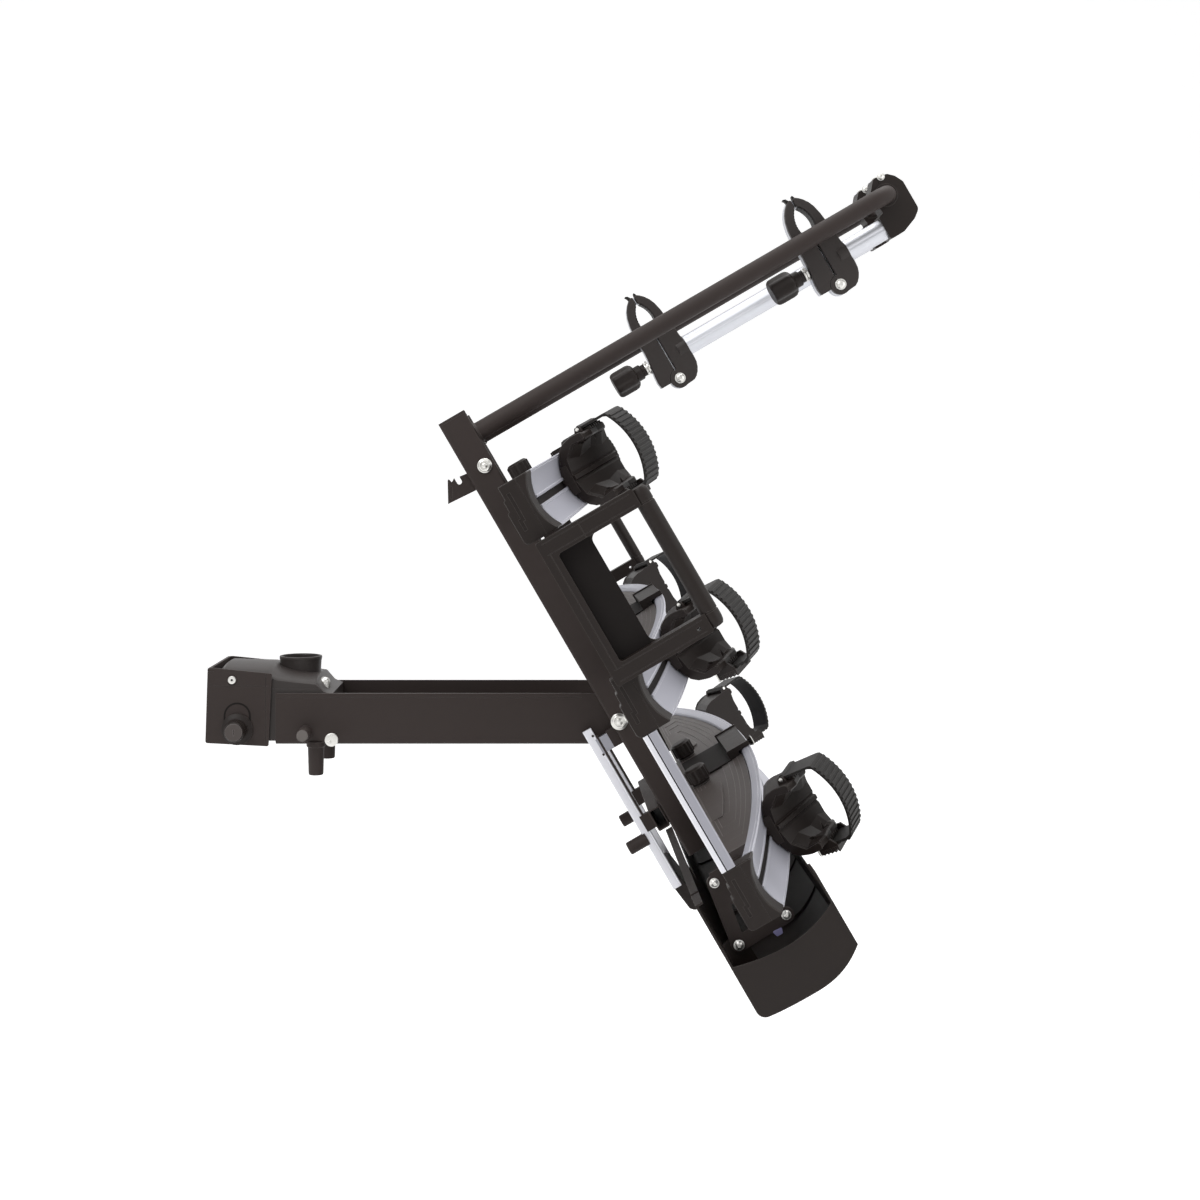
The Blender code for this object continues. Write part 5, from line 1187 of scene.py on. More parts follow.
def strap_band():
    outer, inner = STRAP_LEG_OUT, STRAP_LEG_IN
    crown_out = strap_line(0.0870, 123.6, 56.4, 40)
    crown_in = strap_line(0.0843, 58.6, 121.4, 40)
    right = [(outer, 0.0762), (outer, 0.0530), (outer - 0.0010, 0.0505), (inner + 0.0008, 0.0505),
             (inner, 0.0530), (inner, 0.0742)]
    left = [(-inner, 0.0742), (-inner, HINGE_V), (-outer, HINGE_V), (-outer, 0.0762)]
    band = prong("band", crown_out + right + crown_in + left, STRAP_LOW, STRAP_HIGH)
    join(band, rod("hub", 0.0042, STRAP_LOW, STRAP_HIGH, (HINGE_U, HINGE_V), "Z", 28))
    return cut(band, rod("bore", 0.0020, -0.03, 0.05, (HINGE_U, HINGE_V), "Z", 20))


def strap_ribs(tree):
    line = strap_line(0.0872, 119.5, 60.5, 40) + [(STRAP_LEG_OUT, 0.0775), (0.0492, 0.0560)]
    middle = (STRAP_LOW + STRAP_HIGH) / 2
    path = path_mesh("ribs", [(u, v, middle) for u, v in line])
    return grow(path, tree, "strap_plastic", Ribs=19, Rib_Size=(0.0034, 0.0018, 0.0400), Lift=0.0003)


band_shape, ribs_shape = strap_band(), strap_ribs(RIBS)
for number, place in enumerate(TRAY_PLACES, start=1):
    for side, word in SIDES:
        label = "%d_%s" % (number, word)
        spot = holder_place(place, side)
        dress(copy_of(band_shape, "strap_band_" + label), "wheel_strap_" + label, place=spot, width=0.0005)
        add(copy_of(ribs_shape, "strap_ribs_" + label), "wheel_strap_" + label, "strap_plastic",
            spot, 0.0004, 1)
forget(band_shape, ribs_shape)
print("straps: 6, with 19 ribs each")

# %% [markdown]
# ## Bolts
# Bolts repeat all over the rack, so one Geometry Nodes tree sets a bolt on each point that it is
# given. The head is modelled once.

# %% A tree that sets bolts on points
def bolt_tree():
    tree, given, result = shape_tree("bolts_on_points", [
        ("Bolt", "Object", None), ("Turn", "Rotation", None), ("Size", "Float", 1.0)])
    info = wire(tree, "GeometryNodeObjectInfo", {"Object": given["Bolt"]}, transform_space="ORIGINAL")
    points = wire(tree, "GeometryNodeMeshToPoints", {"Mesh": given["Geometry"]})
    heads = wire(tree, "GeometryNodeInstanceOnPoints", {
        "Points": points.outputs[0], "Instance": info.outputs["Geometry"],
        "Rotation": given["Turn"], "Scale": given["Size"]})
    return close_tree(tree, given, result, heads.outputs[0])


BOLTS = bolt_tree()
print("tree:", BOLTS.name, "with", len(BOLTS.nodes), "nodes")

# %% [markdown]
# A head is turned from its own profile, and a hexagon is sunk in the domed ones.

# %% Bolt heads
def hexagon(radius, turn=0):
    return [(radius * math.cos(math.radians(60 * k + turn)), radius * math.sin(math.radians(60 * k + turn)))
            for k in range(6)]


def dome_head(name, radius, height):
    """A domed head on its washer; the face it sits on is y = 0 and it looks along -Y."""
    washer = radius * 1.25
    profile = [(washer, 0.0), (washer, -0.0009), (washer - 0.0004, -0.0012), (radius, -0.0012)]
    for degrees in (0, 20, 40, 58, 72):
        turn = math.radians(degrees)
        profile.append((radius * math.cos(turn), -0.0014 - height * math.sin(turn)))
    profile.append((radius * 0.16, -0.0014 - height))
    head = lathe(name, profile, (0, 0), "Y", 32)
    return cut(head, push("socket", hexagon(radius * 0.42), -0.01 - height, -0.0014 - height * 0.45))


def ring_head(name, radius):
    """A flanged bolt head with a sunk ring round a small middle, as at the pivot."""
    profile = [(radius, 0.0), (radius, -0.0020), (radius * 0.95, -0.0026), (radius * 0.86, -0.0028),
               (radius * 0.82, -0.0040), (radius * 0.74, -0.0048), (radius * 0.60, -0.0050),
               (radius * 0.56, -0.0036), (radius * 0.42, -0.0036), (radius * 0.38, -0.0050),
               (radius * 0.24, -0.0056), (radius * 0.05, -0.0058)]
    return lathe(name, profile, (0, 0))


def bolts(name, head, spots, body, side=-1, size=1.0):
    """Heads at spots (x, y, z) of one body; side 1 looks to the far side."""
    mesh = bpy.data.meshes.new(name)
    mesh.from_pydata([Vector(spot) for spot in spots], [], [])
    turn = (0, 0, 0) if side < 0 else (0, 0, math.pi)
    heads = grow(link(name, mesh), BOLTS, "zinc_plate", Bolt=head, Turn=turn, Size=size)
    return add(heads, body, "zinc_plate", PLATFORM, 0.0002, 1)


SMALL_BOLT = dome_head("small_bolt", 0.0045, 0.0022)
LARGE_BOLT = dome_head("large_bolt", 0.0062, 0.0028)
print("bolt heads:", SMALL_BOLT.name, LARGE_BOLT.name)

# %% [markdown]
# ## Handles and side rails
# A lifting handle joins the first two caps on each side. It is one moulding with two flat arms,
# a recessed wall and a round grip; fine seams along the arms show where its shell is joined.

# %% Side handles
HANDLE_IN, HANDLE_OUT = 0.5833, 0.6038
HANDLE_FRONT, HANDLE_REAR = -0.2818, -0.1079
GRIP_N = 0.154


def handle_shell(side):
    y = span(side, HANDLE_IN, HANDLE_OUT)
    beyond = (y[0] - 0.01, y[1] + 0.01)
    arm = 0.021
    frame_line = rounded([(HANDLE_FRONT, 0.030, 0.003), (HANDLE_REAR, 0.030, 0.003),
                          (HANDLE_REAR, GRIP_N - 0.0060, 0.003), (HANDLE_FRONT, GRIP_N - 0.0060, 0.003)], 6)
    shell = push("shell", frame_line, *y)
    left, right = HANDLE_FRONT + arm, HANDLE_REAR - arm
    window = rounded([(left, 0.085, 0.009), (right, 0.085, 0.009), (right, GRIP_N + 0.02, 0),
                      (left, GRIP_N + 0.02, 0)], 6)
    cut(shell, push("window", window, *beyond))
    deep = span(side, HANDLE_IN + 0.0045, HANDLE_OUT + 0.01)
    pocket = rounded([(left, 0.046, 0.004), (right, 0.046, 0.004), (right, 0.110, 0), (left, 0.110, 0)], 5)
    cut(shell, push("pocket", pocket, *deep))
    face = span(side, HANDLE_OUT - 0.0006, HANDLE_OUT + 0.01)
    seams = []
    for low in (HANDLE_FRONT + 0.0035, HANDLE_FRONT + 0.0165, HANDLE_REAR - 0.0172, HANDLE_REAR - 0.0042):
        seams.append(slab("seam", (low, low + 0.0007), face, (0.036, GRIP_N - 0.012)))
    seams.append(slab("seam", (left - 0.004, right + 0.004), face, (0.0385, 0.0392)))
    seams.append(slab("seam", (HANDLE_FRONT - 0.01, left + 0.001), face, (0.0805, 0.0812)))
    return cut(shell, *seams)


def handle_grip(side):
    middle = side * (HANDLE_IN + HANDLE_OUT) / 2
    rows = [(0.0040, HANDLE_FRONT + 0.0016), (0.0076, HANDLE_FRONT + 0.0026), (0.0094, HANDLE_FRONT + 0.0060),
            (0.0101, HANDLE_FRONT + 0.0110), (0.0101, HANDLE_FRONT + 0.0190), (0.0094, HANDLE_FRONT + 0.0194),
            (0.0094, HANDLE_FRONT + 0.0206), (0.0101, HANDLE_FRONT + 0.0210)]
    rows += [(r, HANDLE_FRONT + HANDLE_REAR - w) for r, w in reversed(rows)]
    return lathe("grip", rows, (middle, GRIP_N), "X", 40)


for side, word in SIDES:
    shell = join(handle_shell(side), handle_grip(side))
    y = span(side, HANDLE_IN - 0.01, HANDLE_OUT + 0.01)
    cut(shell, rod("pin_hole", 0.0022, *y, (HANDLE_REAR - 0.010, GRIP_N - 0.019), "Y", 20))
    shell.name = "handle_moulding_" + word
    dress(shell, "side_handle_" + word, width=0.0007)
    # A dull black sheet on the recessed wall is painted shade for the recess.
    wall = slab("handle_wall_" + word, (HANDLE_FRONT + 0.0212, HANDLE_REAR - 0.0212),
                span(side, HANDLE_IN + 0.0044, HANDLE_IN + 0.0049), (0.0462, 0.0848))
    add(wall, "platform", "slot_shadow", width=0)
print("handles: 2, each", round(HANDLE_REAR - HANDLE_FRONT, 3), "m long")

# %% [markdown]
# Between the second and third caps runs a drawn aluminium bar with a groove along it. Its upper
# face takes a darker copy of the bar's finish, a painted shade, and a dull black strip in the
# groove is painted shade too.

# %% Side rails
rail_front, rail_rear = TRAY_PLACES[1] + 0.0353, TRAY_PLACES[2] - 0.0353
for side, word in SIDES:
    out, low = side * CAP_OUT, 0.0255
    back, sunk = out - side * 0.0150, out - side * 0.0014
    line = [(back, low), (out - side * 0.0010, low), (out, low + 0.0010), (out, low + 0.0056),
            (sunk, low + 0.0062), (back, low + 0.0062)]
    bar = push("side_bar_" + word, line, rail_front, rail_rear, "X")
    dress(bar, "side_rail_" + word, finish="drawn_bar", width=0.0003)
    # The upper face takes the darker bar finish, a painted shade.
    line = [(back, low + 0.0068), (sunk, low + 0.0068), (out, low + 0.0072), (out, low + 0.0160),
            (out - side * 0.0012, low + 0.0172), (back, low + 0.0172)]
    face = push("side_bar_face_" + word, line, rail_front, rail_rear, "X")
    add(face, "platform", "shaded_bar", width=0.0003)
    # A dull black strip in the groove is painted shade.
    y = span(side, 0.5680, CAP_OUT - 0.0010)
    gap = slab("side_bar_groove_" + word, (rail_front, rail_rear), y, (low + 0.0062, low + 0.0068))
    add(gap, "platform", "slot_shadow", width=0)
print("side rails:", round(rail_rear - rail_front, 3), "m long")

# %% [markdown]
# ## The lamp board
# The board is a long folded shell, open towards the rack. Its end plates bow in at the front and
# bulge at the rear, so its section is two curves whose fall grows towards the ends.

# %% The lamp board's section
BOARD_END, BOARD_LOW, BOARD_HIGH = 0.550, -0.018, 0.1145


def board_rear(inset, steps=32):
    line = []
    for i in range(steps + 1):
        share = 2 * i / steps - 1
        fall = 0.004 if share < 0 else 0.0225
        n = BOARD_LOW + inset + (BOARD_HIGH - BOARD_LOW - 2 * inset) * (share + 1) / 2
        line.append((0.2942 - inset - fall * abs(share)**2.4, n, 0))
    toe = (line[0][0], line[0][1], 0.011)
    above = [point for point in line if point[1] > BOARD_LOW + 0.0135]
    return rounded([(0.2607, BOARD_LOW + inset, 0), toe] + above, 8)


def board_front(steps=24):
    line = []
    for i in range(steps + 1):
        share = 1 - 2 * i / steps
        fall = 0.0100 if share < 0 else 0.0175
        line.append((0.2346 - fall * share**2, BOARD_LOW + (BOARD_HIGH - BOARD_LOW) * (share + 1) / 2))
    return line


print("board section:", len(board_front()) + len(board_rear(0)), "points")

# %% [markdown]
# The shell is hollowed at one wall's thickness. Ledges stiffen its front, ears carry the hinge
# pins of the links, and sunk fields at the rear take the lamps.

# %% The lamp board's shell
LINK_HINGE = (0.2205, 0.001)
BOARD_WALL = 0.0025


def board_shell():
    shell = push("board_shell", board_front() + board_rear(0), -BOARD_END, BOARD_END)
    inner = board_rear(BOARD_WALL)
    inner = [(0.18, inner[0][1])] + inner + [(0.18, inner[-1][1])]
    cut(shell, push("inside", inner, BOARD_WALL - BOARD_END, BOARD_END - BOARD_WALL))
    end = BOARD_END - 0.0008
    join(shell, slab("ledge", (0.2055, 0.245), (-end, end), (0.1119, 0.1144)))
    for side in (-1, 1):
        shelf = slab("shelf", (0.147, 0.245), span(side, 0.160, end), (-0.0179, -0.0154))
        lip = slab("lip", (0.147, 0.1495), span(side, 0.160, end), (-0.0179, -0.0085))
        corner = slab("corner", (0.180, 0.240), span(side, 0.512, end), (0.1118, 0.1143))
        join(shell, shelf, lip, corner)
        ear = [(0.2105, 0.001), (0.2205, 0.011), (0.262, 0.012), (0.262, -0.017), (0.2145, -0.017)]
        join(shell, push("ear", ear, *span(side, 0.4960, 0.5000)))
        cut(shell, slab("link_slot", (0.137, 0.2345), span(side, 0.5000, 0.5077), (-0.028, -0.0080)))
        rows = [(0.0035, 0.498), (0.0035, 0.5063), (0.0066, 0.5064), (0.0066, 0.5070), (0.0050, 0.5080)]
        pin = lathe("hinge_pin", rows, LINK_HINGE, "Y", 28)
        if side < 0:
            pin.data.transform(Matrix.Scale(-1, 4, (0, 1, 0)))
            pin.data.flip_normals()
        join(shell, pin)
        field = [(a, n) for a, n in board_rear(0.0012) if 0.012 < n < 0.082]
        field += [(0.31, field[-1][1]), (0.31, field[0][1])]
        cut(shell, push("lens_field", field, *span(side, 0.335, 0.525)))
    return shell


dress(board_shell(), "lamp_board", width=0.0003, segments=1)
print("lamp board:", round(2 * BOARD_END, 3), "m wide")

# %% [markdown]
# Upright ribs stiffen the rear skin from inside. The lamps face away from the photograph, so
# plain lenses in the usual colours fill their fields.

# %% Ribs and lenses
def board_ribs():
    ribs = []
    for i in range(-3, 4):
        y = 0.150 * i
        back = [(a, n) for a, n in board_rear(0.002) if n > -0.012]
        web = back + [(a - 0.0030, n) for a, n in reversed(back)]
        ribs.append(push("rib", web, y - 0.0010, y + 0.0010))
    return ribs


def lens_band(low, high, name, finish):
    pieces = []
    for side in (-1, 1):
        back = [(a, n) for a, n in board_rear(0.0014) if 0.0125 < n < 0.0815]
        front = [(a + 0.0013, n) for a, n in reversed(back)]
        pieces.append(push("lens", back + front, *span(side, low, high)))
    return add(gather(name, pieces), "lamp_board", finish, width=0.0004)


add(gather("board_ribs", board_ribs()), "lamp_board", "powder_coat", width=0)
lens_band(0.3352, 0.4398, "lens_inner", "lens_red")
lens_band(0.4402, 0.4948, "lens_middle", "lens_amber")
lens_band(0.4952, 0.5248, "lens_outer", "lens_clear")
print("lenses: 3 bands on each side")

# %% [markdown]
# Bent links hang the board from the rear saddle. They are thick plates with round ends, and
# bright bolts stand on them.

# %% Links
LINK_FOOT, LINK_TOP = (0.148, 0.0118), (0.219, 0.0633)
LINK_FACE, PIN_FACE = 0.5043, 0.5080


def stadium(start, end, radius):
    heading = math.degrees(math.atan2(end[1] - start[1], end[0] - start[0]))
    far_end = arc(end, radius, heading - 90, heading + 90, 14)
    return far_end + arc(start, radius, heading + 90, heading + 270, 14)


for side, word in SIDES:
    y = span(side, 0.5003, LINK_FACE)
    foot = [(0.1362, 0.0118), (0.1782, 0.0078), (0.1782, 0.0505), (0.1362, 0.0505)]
    plate = push("lamp_hanger_" + word, foot, *y)
    join(plate, push("bar", stadium(LINK_FOOT, LINK_HINGE, 0.0083), *y))
    join(plate, push("bar", stadium(LINK_HINGE, LINK_TOP, 0.0088), *y))
    cut(plate, rod("hole", 0.0039, y[0] - 0.01, y[1] + 0.01, LINK_HINGE, "Y", 24))
    dress(plate, "lamp_link_" + word, width=0.0006)
    spots = [(a, side * LINK_FACE, n) for a, n in (LINK_FOOT, LINK_TOP, (0.1700, 0.040))]
    bolts("hanger_bolts_" + word, SMALL_BOLT, spots, "platform", side=side)
    spots = [(LINK_HINGE[0], side * PIN_FACE, LINK_HINGE[1])]
    bolts("board_pin_" + word, LARGE_BOLT, spots, "lamp_board", side=side, size=0.8)
print("links: 2")

# %% [markdown]
# ## Rails and U-frame
# Two rectangular steel tubes carry everything. Rolled tube has round corners, so its section is
# a rounded rectangle, and a smaller one is cut from it. The near rail has a slot for the hook.

# %% Rails
RAIL_IN, RAIL_OUT = 0.0785, 0.1105
RAIL_FRONT, RAIL_REAR = -0.469, 0.205
RAIL_LOW, RAIL_TOP = -0.010, 0.030
HOOK_A, HOOK_N = -0.3896, 0.0165


def rail_section(side, inset, radius):
    y = span(side, RAIL_IN + inset, RAIL_OUT - inset)
    corners = [(y[0], RAIL_LOW + inset), (y[1], RAIL_LOW + inset), (y[1], RAIL_TOP - inset),
               (y[0], RAIL_TOP - inset)]
    return rounded([(u, v, radius) for u, v in corners], 6)


def steel_rail(side, word):
    tube_body = push("rail_tube_" + word, rail_section(side, 0, 0.0036), RAIL_FRONT, RAIL_REAR, "X")
    cut(tube_body, push("hollow", rail_section(side, 0.0025, 0.0018), -0.4665, 0.215, "X"))
    if side < 0:
        middle = -RAIL_MID
        y = (middle - 0.0035, middle + 0.0035)
        cut(tube_body, slab("slot", (HOOK_A - 0.0154, HOOK_A + 0.0446), y, (-0.02, -0.0065)))
    groove = push("plug_seam", rail_section(side, -0.002, 0.0036), -0.4655, -0.4650, "X")
    cut(groove, push("core", rail_section(side, 0.0005, 0.0034), -0.47, -0.46, "X"))
    return cut(tube_body, groove)


for side, word in SIDES:
    dress(steel_rail(side, word), "rail_" + word, width=0.0006)
print("rails: 2, each", round(RAIL_REAR - RAIL_FRONT, 3), "m long")

# %% [markdown]
# The U-frame is one bent tube, so a curve with a round bevel is its natural form. Its feet are
# welded to the rails with a collar each.

# %% U-frame
FRAME_A, FRAME_R, BAR_N = -0.4345, 0.0125, 0.680


def frame_route():
    corner, bend = RAIL_MID - 0.026, 0.026
    left = arc((-corner, BAR_N - bend), bend, 180, 90, 14)
    right = arc((corner, BAR_N - bend), bend, 90, 0, 14)
    foot = RAIL_TOP + 0.0003
    line = [(-RAIL_MID, foot), (-RAIL_MID, 0.3)] + left + right + [(RAIL_MID, 0.3), (RAIL_MID, foot)]
    return [(FRAME_A, y, n) for y, n in line]


def weld_collar(side):
    rows = [(FRAME_R - 0.001, 0.0304), (FRAME_R + 0.0024, 0.0304), (FRAME_R + 0.0016, 0.0318),
            (FRAME_R + 0.0003, 0.0332), (FRAME_R - 0.001, 0.0332)]
    return lathe("collar", rows, (FRAME_A, side * RAIL_MID), "Z", 48)


bent = tube("frame", frame_route(), FRAME_R, smooth=9)
dress(gather("frame_tube", [bent] + [weld_collar(side) for side, word in SIDES]), "u_frame", width=0)
print("U-frame:", round(BAR_N, 3), "m high")

# %% [markdown]
# ## The bike arms
# Each arm is a clamp on the crossbar, an aluminium tube, and a pair of jaws closed by a knob. The
# clamp is a moulded block, slit behind the crossbar and bored for both tubes.

# %% The top clamps
ARMS = (("medium", -0.051, 0.565), ("long", 0.051, 0.320))
ARM_A, KNUCKLE = -0.396, 0.036


def top_block(y):
    corners = [(-0.4478, 0.6629, 0.002), (-0.4630, 0.6756, 0.005), (-0.4597, 0.6953, 0.006),
               (-0.4518, 0.7036, 0.005), (-0.4398, 0.7097, 0.006), (-0.3964, 0.7096, 0.009),
               (-0.3874, 0.6984, 0.003), (-0.3790, 0.6770, 0.003), (-0.3790, 0.6555, 0.003),
               (-0.4126, 0.6555, 0.002), (-0.4155, 0.6640, 0.002), (-0.4345, 0.6615, 0.002)]
    block = push("top_block", rounded(corners, 6), y - 0.017, y + 0.017)
    cut(block, rod("bar_bore", FRAME_R + 0.0004, y - 0.05, y + 0.05, (FRAME_A, BAR_N)),
        rod("arm_bore", 0.0154, 0.640, 0.684, (ARM_A, y), "Z"))
    cut(block, slab("slit", (-0.4640, -0.4465), (y - 0.02, y + 0.02), (0.6795, 0.6803)))
    ring = [(FRAME_R + 0.0022, y - 0.0178), (FRAME_R + 0.0034, y - 0.0172), (FRAME_R + 0.0034, y + 0.0172),
            (FRAME_R + 0.0022, y + 0.0178)]
    hoop = lathe("hoop", ring, (FRAME_A, BAR_N))
    cut(hoop, rod("bore", FRAME_R + 0.0004, y - 0.05, y + 0.05, (FRAME_A, BAR_N)))
    return join(block, hoop)


print("top clamps on a bar of radius", FRAME_R)

# %% [markdown]
# The arm is a drawn tube with four shallow grooves, so its section is pushed in one piece.

# %% The arm tubes
ARM_R, ARM_TOP = 0.015, 0.6837


def fluted_tube(name, y, low):
    line = []
    for i in range(96):
        turn = 2 * math.pi * i / 96
        dent = 0.0007 if min(i % 24, 24 - i % 24) < 1.5 else 0.0
        line.append((ARM_A + (ARM_R - dent) * math.cos(turn), y + (ARM_R - dent) * math.sin(turn)))
    return push(name, line, low, ARM_TOP, "Z")


for word, y, slit in ARMS:
    dress(top_block(y), "top_clamp_" + word, width=0.0006).name = "top_block_" + word
    dress(fluted_tube("arm_bar_" + word, y, slit + 0.0328), "arm_tube_" + word, width=0.0002)
    for side, part in ((-1, "top_bolts_"), (1, "top_nuts_")):
        spots = [(-0.4603, y + side * 0.0172, 0.6861)]
        bolts(part + word, LARGE_BOLT, spots, "bike_arm_" + word, side=side, size=0.72)
print("arms:", [word for word, y, slit in ARMS])

# %% [markdown]
# A jaw is shaped like a beak: a round eye for the bike's tube, a finger in front and a broad back
# that ends at the hinge. Both jaws share one outline, and the upper one has a fuller back.

# %% The jaws' outline
EYE_HALF, EYE_RISE = 0.027, 0.011
EYE_RADIUS = (EYE_HALF**2 + EYE_RISE**2) / (2 * EYE_RISE)
EYE_CENTRE = (-0.061, 0.001 + EYE_RISE - EYE_RADIUS)


def jaw_line(swell, steps=20):
    spread = math.degrees(math.asin(EYE_HALF / EYE_RADIUS))
    eye = arc(EYE_CENTRE, EYE_RADIUS, 90 - spread, 90 + spread, steps)
    finger = [(-0.0985, 0.001), (-0.1000, 0.0045), (-0.0960, 0.0098), (-0.0915, 0.0142), (-0.0845, 0.0190),
              (-0.0760, 0.0226)]
    back = [(-0.0635, 0.0254), (-0.050, 0.0265), (-0.036, 0.0266), (-0.022, 0.0262), (-0.008, 0.0270),
            (0.005, 0.0285), (0.018, 0.0305), (0.027, 0.0310), (0.0345, 0.0298), (0.040, 0.0270),
            (0.0448, 0.0228), (0.0480, 0.0175), (0.0495, 0.001)]
    back = [(u, v + swell * max(0, 1 - ((u + 0.008) / 0.045)**2)) for u, v in back]
    return [(-0.0339, 0.001)] + eye[1:-1] + [(-0.088, 0.001)] + finger + back


def placed(points, slit, sign):
    """Jaw points from the arm's axis and the slit; sign -1 turns them over for the lower jaw."""
    return [(ARM_A + u, slit + sign * v) for u, v in points]


print("jaw outline:", len(jaw_line(0)), "points, eye radius", round(EYE_RADIUS, 4))

# %% [markdown]
# A soft lining follows the eye, with fine teeth across it. Small hooked tips stand on the fingers.

# %% Lining, teeth and tips
def jaw_pads(y, slit, sign):
    lining = arc(EYE_CENTRE, EYE_RADIUS - 0.0004, 50, 130, 24)
    lining += arc(EYE_CENTRE, EYE_RADIUS + 0.0010, 130, 50, 24)
    teeth = [push("lining", placed(lining, slit, sign), y - 0.0120, y + 0.0136)]
    hook = [(-0.0985, 0.0030), (-0.1035, 0.0062), (-0.1050, 0.0098), (-0.1034, 0.0112), (-0.1016, 0.0094),
            (-0.0965, 0.0080)]
    horn = [(-0.0985, 0.0012), (-0.1028, 0.0022), (-0.1036, 0.0040), (-0.0980, 0.0066)]
    tip = hook if sign < 0 else horn
    teeth.append(push("tip", placed(tip, slit, sign), y - 0.0100, y - 0.0020))
    for k in range(-6, 7):
        turn = math.radians(90 + 6.2 * k)
        r = EYE_RADIUS - 0.0009
        u, v = EYE_CENTRE[0] + r * math.cos(turn), EYE_CENTRE[1] + r * math.sin(turn)
        du, dv = 0.0012 * math.sin(turn), -0.0012 * math.cos(turn)
        ru, rv = 0.0022 * math.cos(turn), 0.0022 * math.sin(turn)
        tooth = [(u - du, v - dv), (u + du, v + dv), (u + du + ru, v + dv + rv), (u - du + ru, v - dv + rv)]
        teeth.append(push("tooth", placed(tooth, slit, sign), y - 0.011, y + 0.011))
    return teeth


print("teeth: 13 to a jaw, on the lining")

# %% [markdown]
# A jaw's near layer is dark and its far layer bright metal, so one blank with round shoulders is
# cut in two.

# %% Two layers from one blank
JAW_HALF, LAYER_Y, UPPER_SWELL = 0.014, 0.0045, 0.0045


def jaw_blank(y, slit, sign):
    line = placed(jaw_line(UPPER_SWELL if sign > 0 else 0), slit, sign)
    blank = push("jaw", line, y - JAW_HALF, y + JAW_HALF)
    shoulder = blank.modifiers.new("Shoulder", "BEVEL")
    shoulder.width, shoulder.segments = 0.0022, 3
    shoulder.limit_method, shoulder.angle_limit = "ANGLE", math.radians(60)
    return baked(blank)


def far_layer(jaw, word, y, slit):
    far = copy_of(jaw, word)
    a, n = (ARM_A - 0.2, ARM_A + 0.2), (slit - 0.1, slit + 0.1)
    cut(jaw, slab("far_half", a, (y - LAYER_Y, y + 0.1), n))
    return cut(far, slab("near_half", a, (y - 0.1, y - LAYER_Y), n))


print("jaw blank:", 2 * JAW_HALF, "m thick")

# %% [markdown]
# The upper jaw is a fork with two cheeks, a pin and the seat of the arm tube. The lower jaw turns
# on that pin with a knuckle between the cheeks, and has a bore for the knob's spindle.

# %% Upper and lower jaws
CHEEK_Y = 0.0144


def upper_half(word, y, slit):
    pin = (ARM_A + KNUCKLE, slit)
    jaw = jaw_blank(y, slit, 1)
    rim = [(0.0132, y - CHEEK_Y), (0.0140, y - 0.0138), (0.0140, y + 0.0138), (0.0132, y + CHEEK_Y)]
    join(jaw, lathe("cheeks", rim, pin))
    cut(jaw, rod("fork", 0.0146, y - 0.0074, y + 0.0074, pin))
    far = far_layer(jaw, "upper_beak_far_" + word, y, slit)
    seat = [(0.0164, slit + 0.018), (0.0164, slit + 0.0320), (0.0160, slit + 0.0326)]
    join(jaw, lathe("seat", seat, (ARM_A, y), "Z"))
    join(jaw, rod("pin", 0.0040, y - 0.0135, y + 0.0135, pin, "Y", 32))
    jaw.name = "upper_beak_" + word
    dress(jaw, "upper_jaw_" + word, finish="cast_paint", width=0.0004)
    add(far, "bike_arm_" + word, "bright_metal", width=0.0004)
    teeth = gather("upper_teeth_" + word, jaw_pads(y, slit, 1))
    add(teeth, "bike_arm_" + word, "strap_plastic", width=0.0002)


def lower_half(word, y, slit):
    pin = (ARM_A + KNUCKLE, slit)
    jaw = jaw_blank(y, slit, -1)
    cut(jaw, rod("clearance", 0.0147, y - 0.05, y + 0.05, pin),
        slab("behind", (pin[0], pin[0] + 0.05), (y - 0.05, y + 0.05), (slit - 0.05, slit)))
    neck = [(-0.022, -0.001), (0, -0.001), (0, -0.013), (-0.018, -0.022)]
    join(jaw, rod("knuckle", 0.0136, y - 0.007, y + 0.007, pin),
         push("neck", [(pin[0] + u, pin[1] + v) for u, v in neck], y - 0.007, y + 0.007))
    cut(jaw, rod("pin_bore", 0.0044, y - 0.05, y + 0.05, pin, "Y", 32),
        rod("stud_bore", 0.0044, slit - 0.05, slit + 0.01, (ARM_A, y), "Z", 32))
    far = far_layer(jaw, "lower_beak_far_" + word, y, slit)
    jaw.name = "lower_beak_" + word
    dress(jaw, "lower_jaw_" + word, finish="cast_paint", width=0.0004)
    add(far, "lower_jaw_" + word, "bright_metal", width=0.0004)
    teeth = gather("lower_teeth_" + word, jaw_pads(y, slit, -1))
    add(teeth, "lower_jaw_" + word, "strap_plastic", width=0.0002)


print("jaw makers: upper_half, lower_half")

# %% [markdown]
# The star knob pulls the lower jaw shut. Six lobes are rings whose radius waves, the neck is
# round, and a zinc spindle joins it to the jaw.

# %% Star knobs and both arms
def lobed_ring(y, radius, offset, dent, steps=90):
    ring = []
    for i in range(steps):
        turn = 2 * math.pi * i / steps
        r = radius - dent * (1 - math.cos(6 * turn)) / 2
        ring.append((ARM_A + r * math.cos(turn), y + r * math.sin(turn), offset))
    return ring


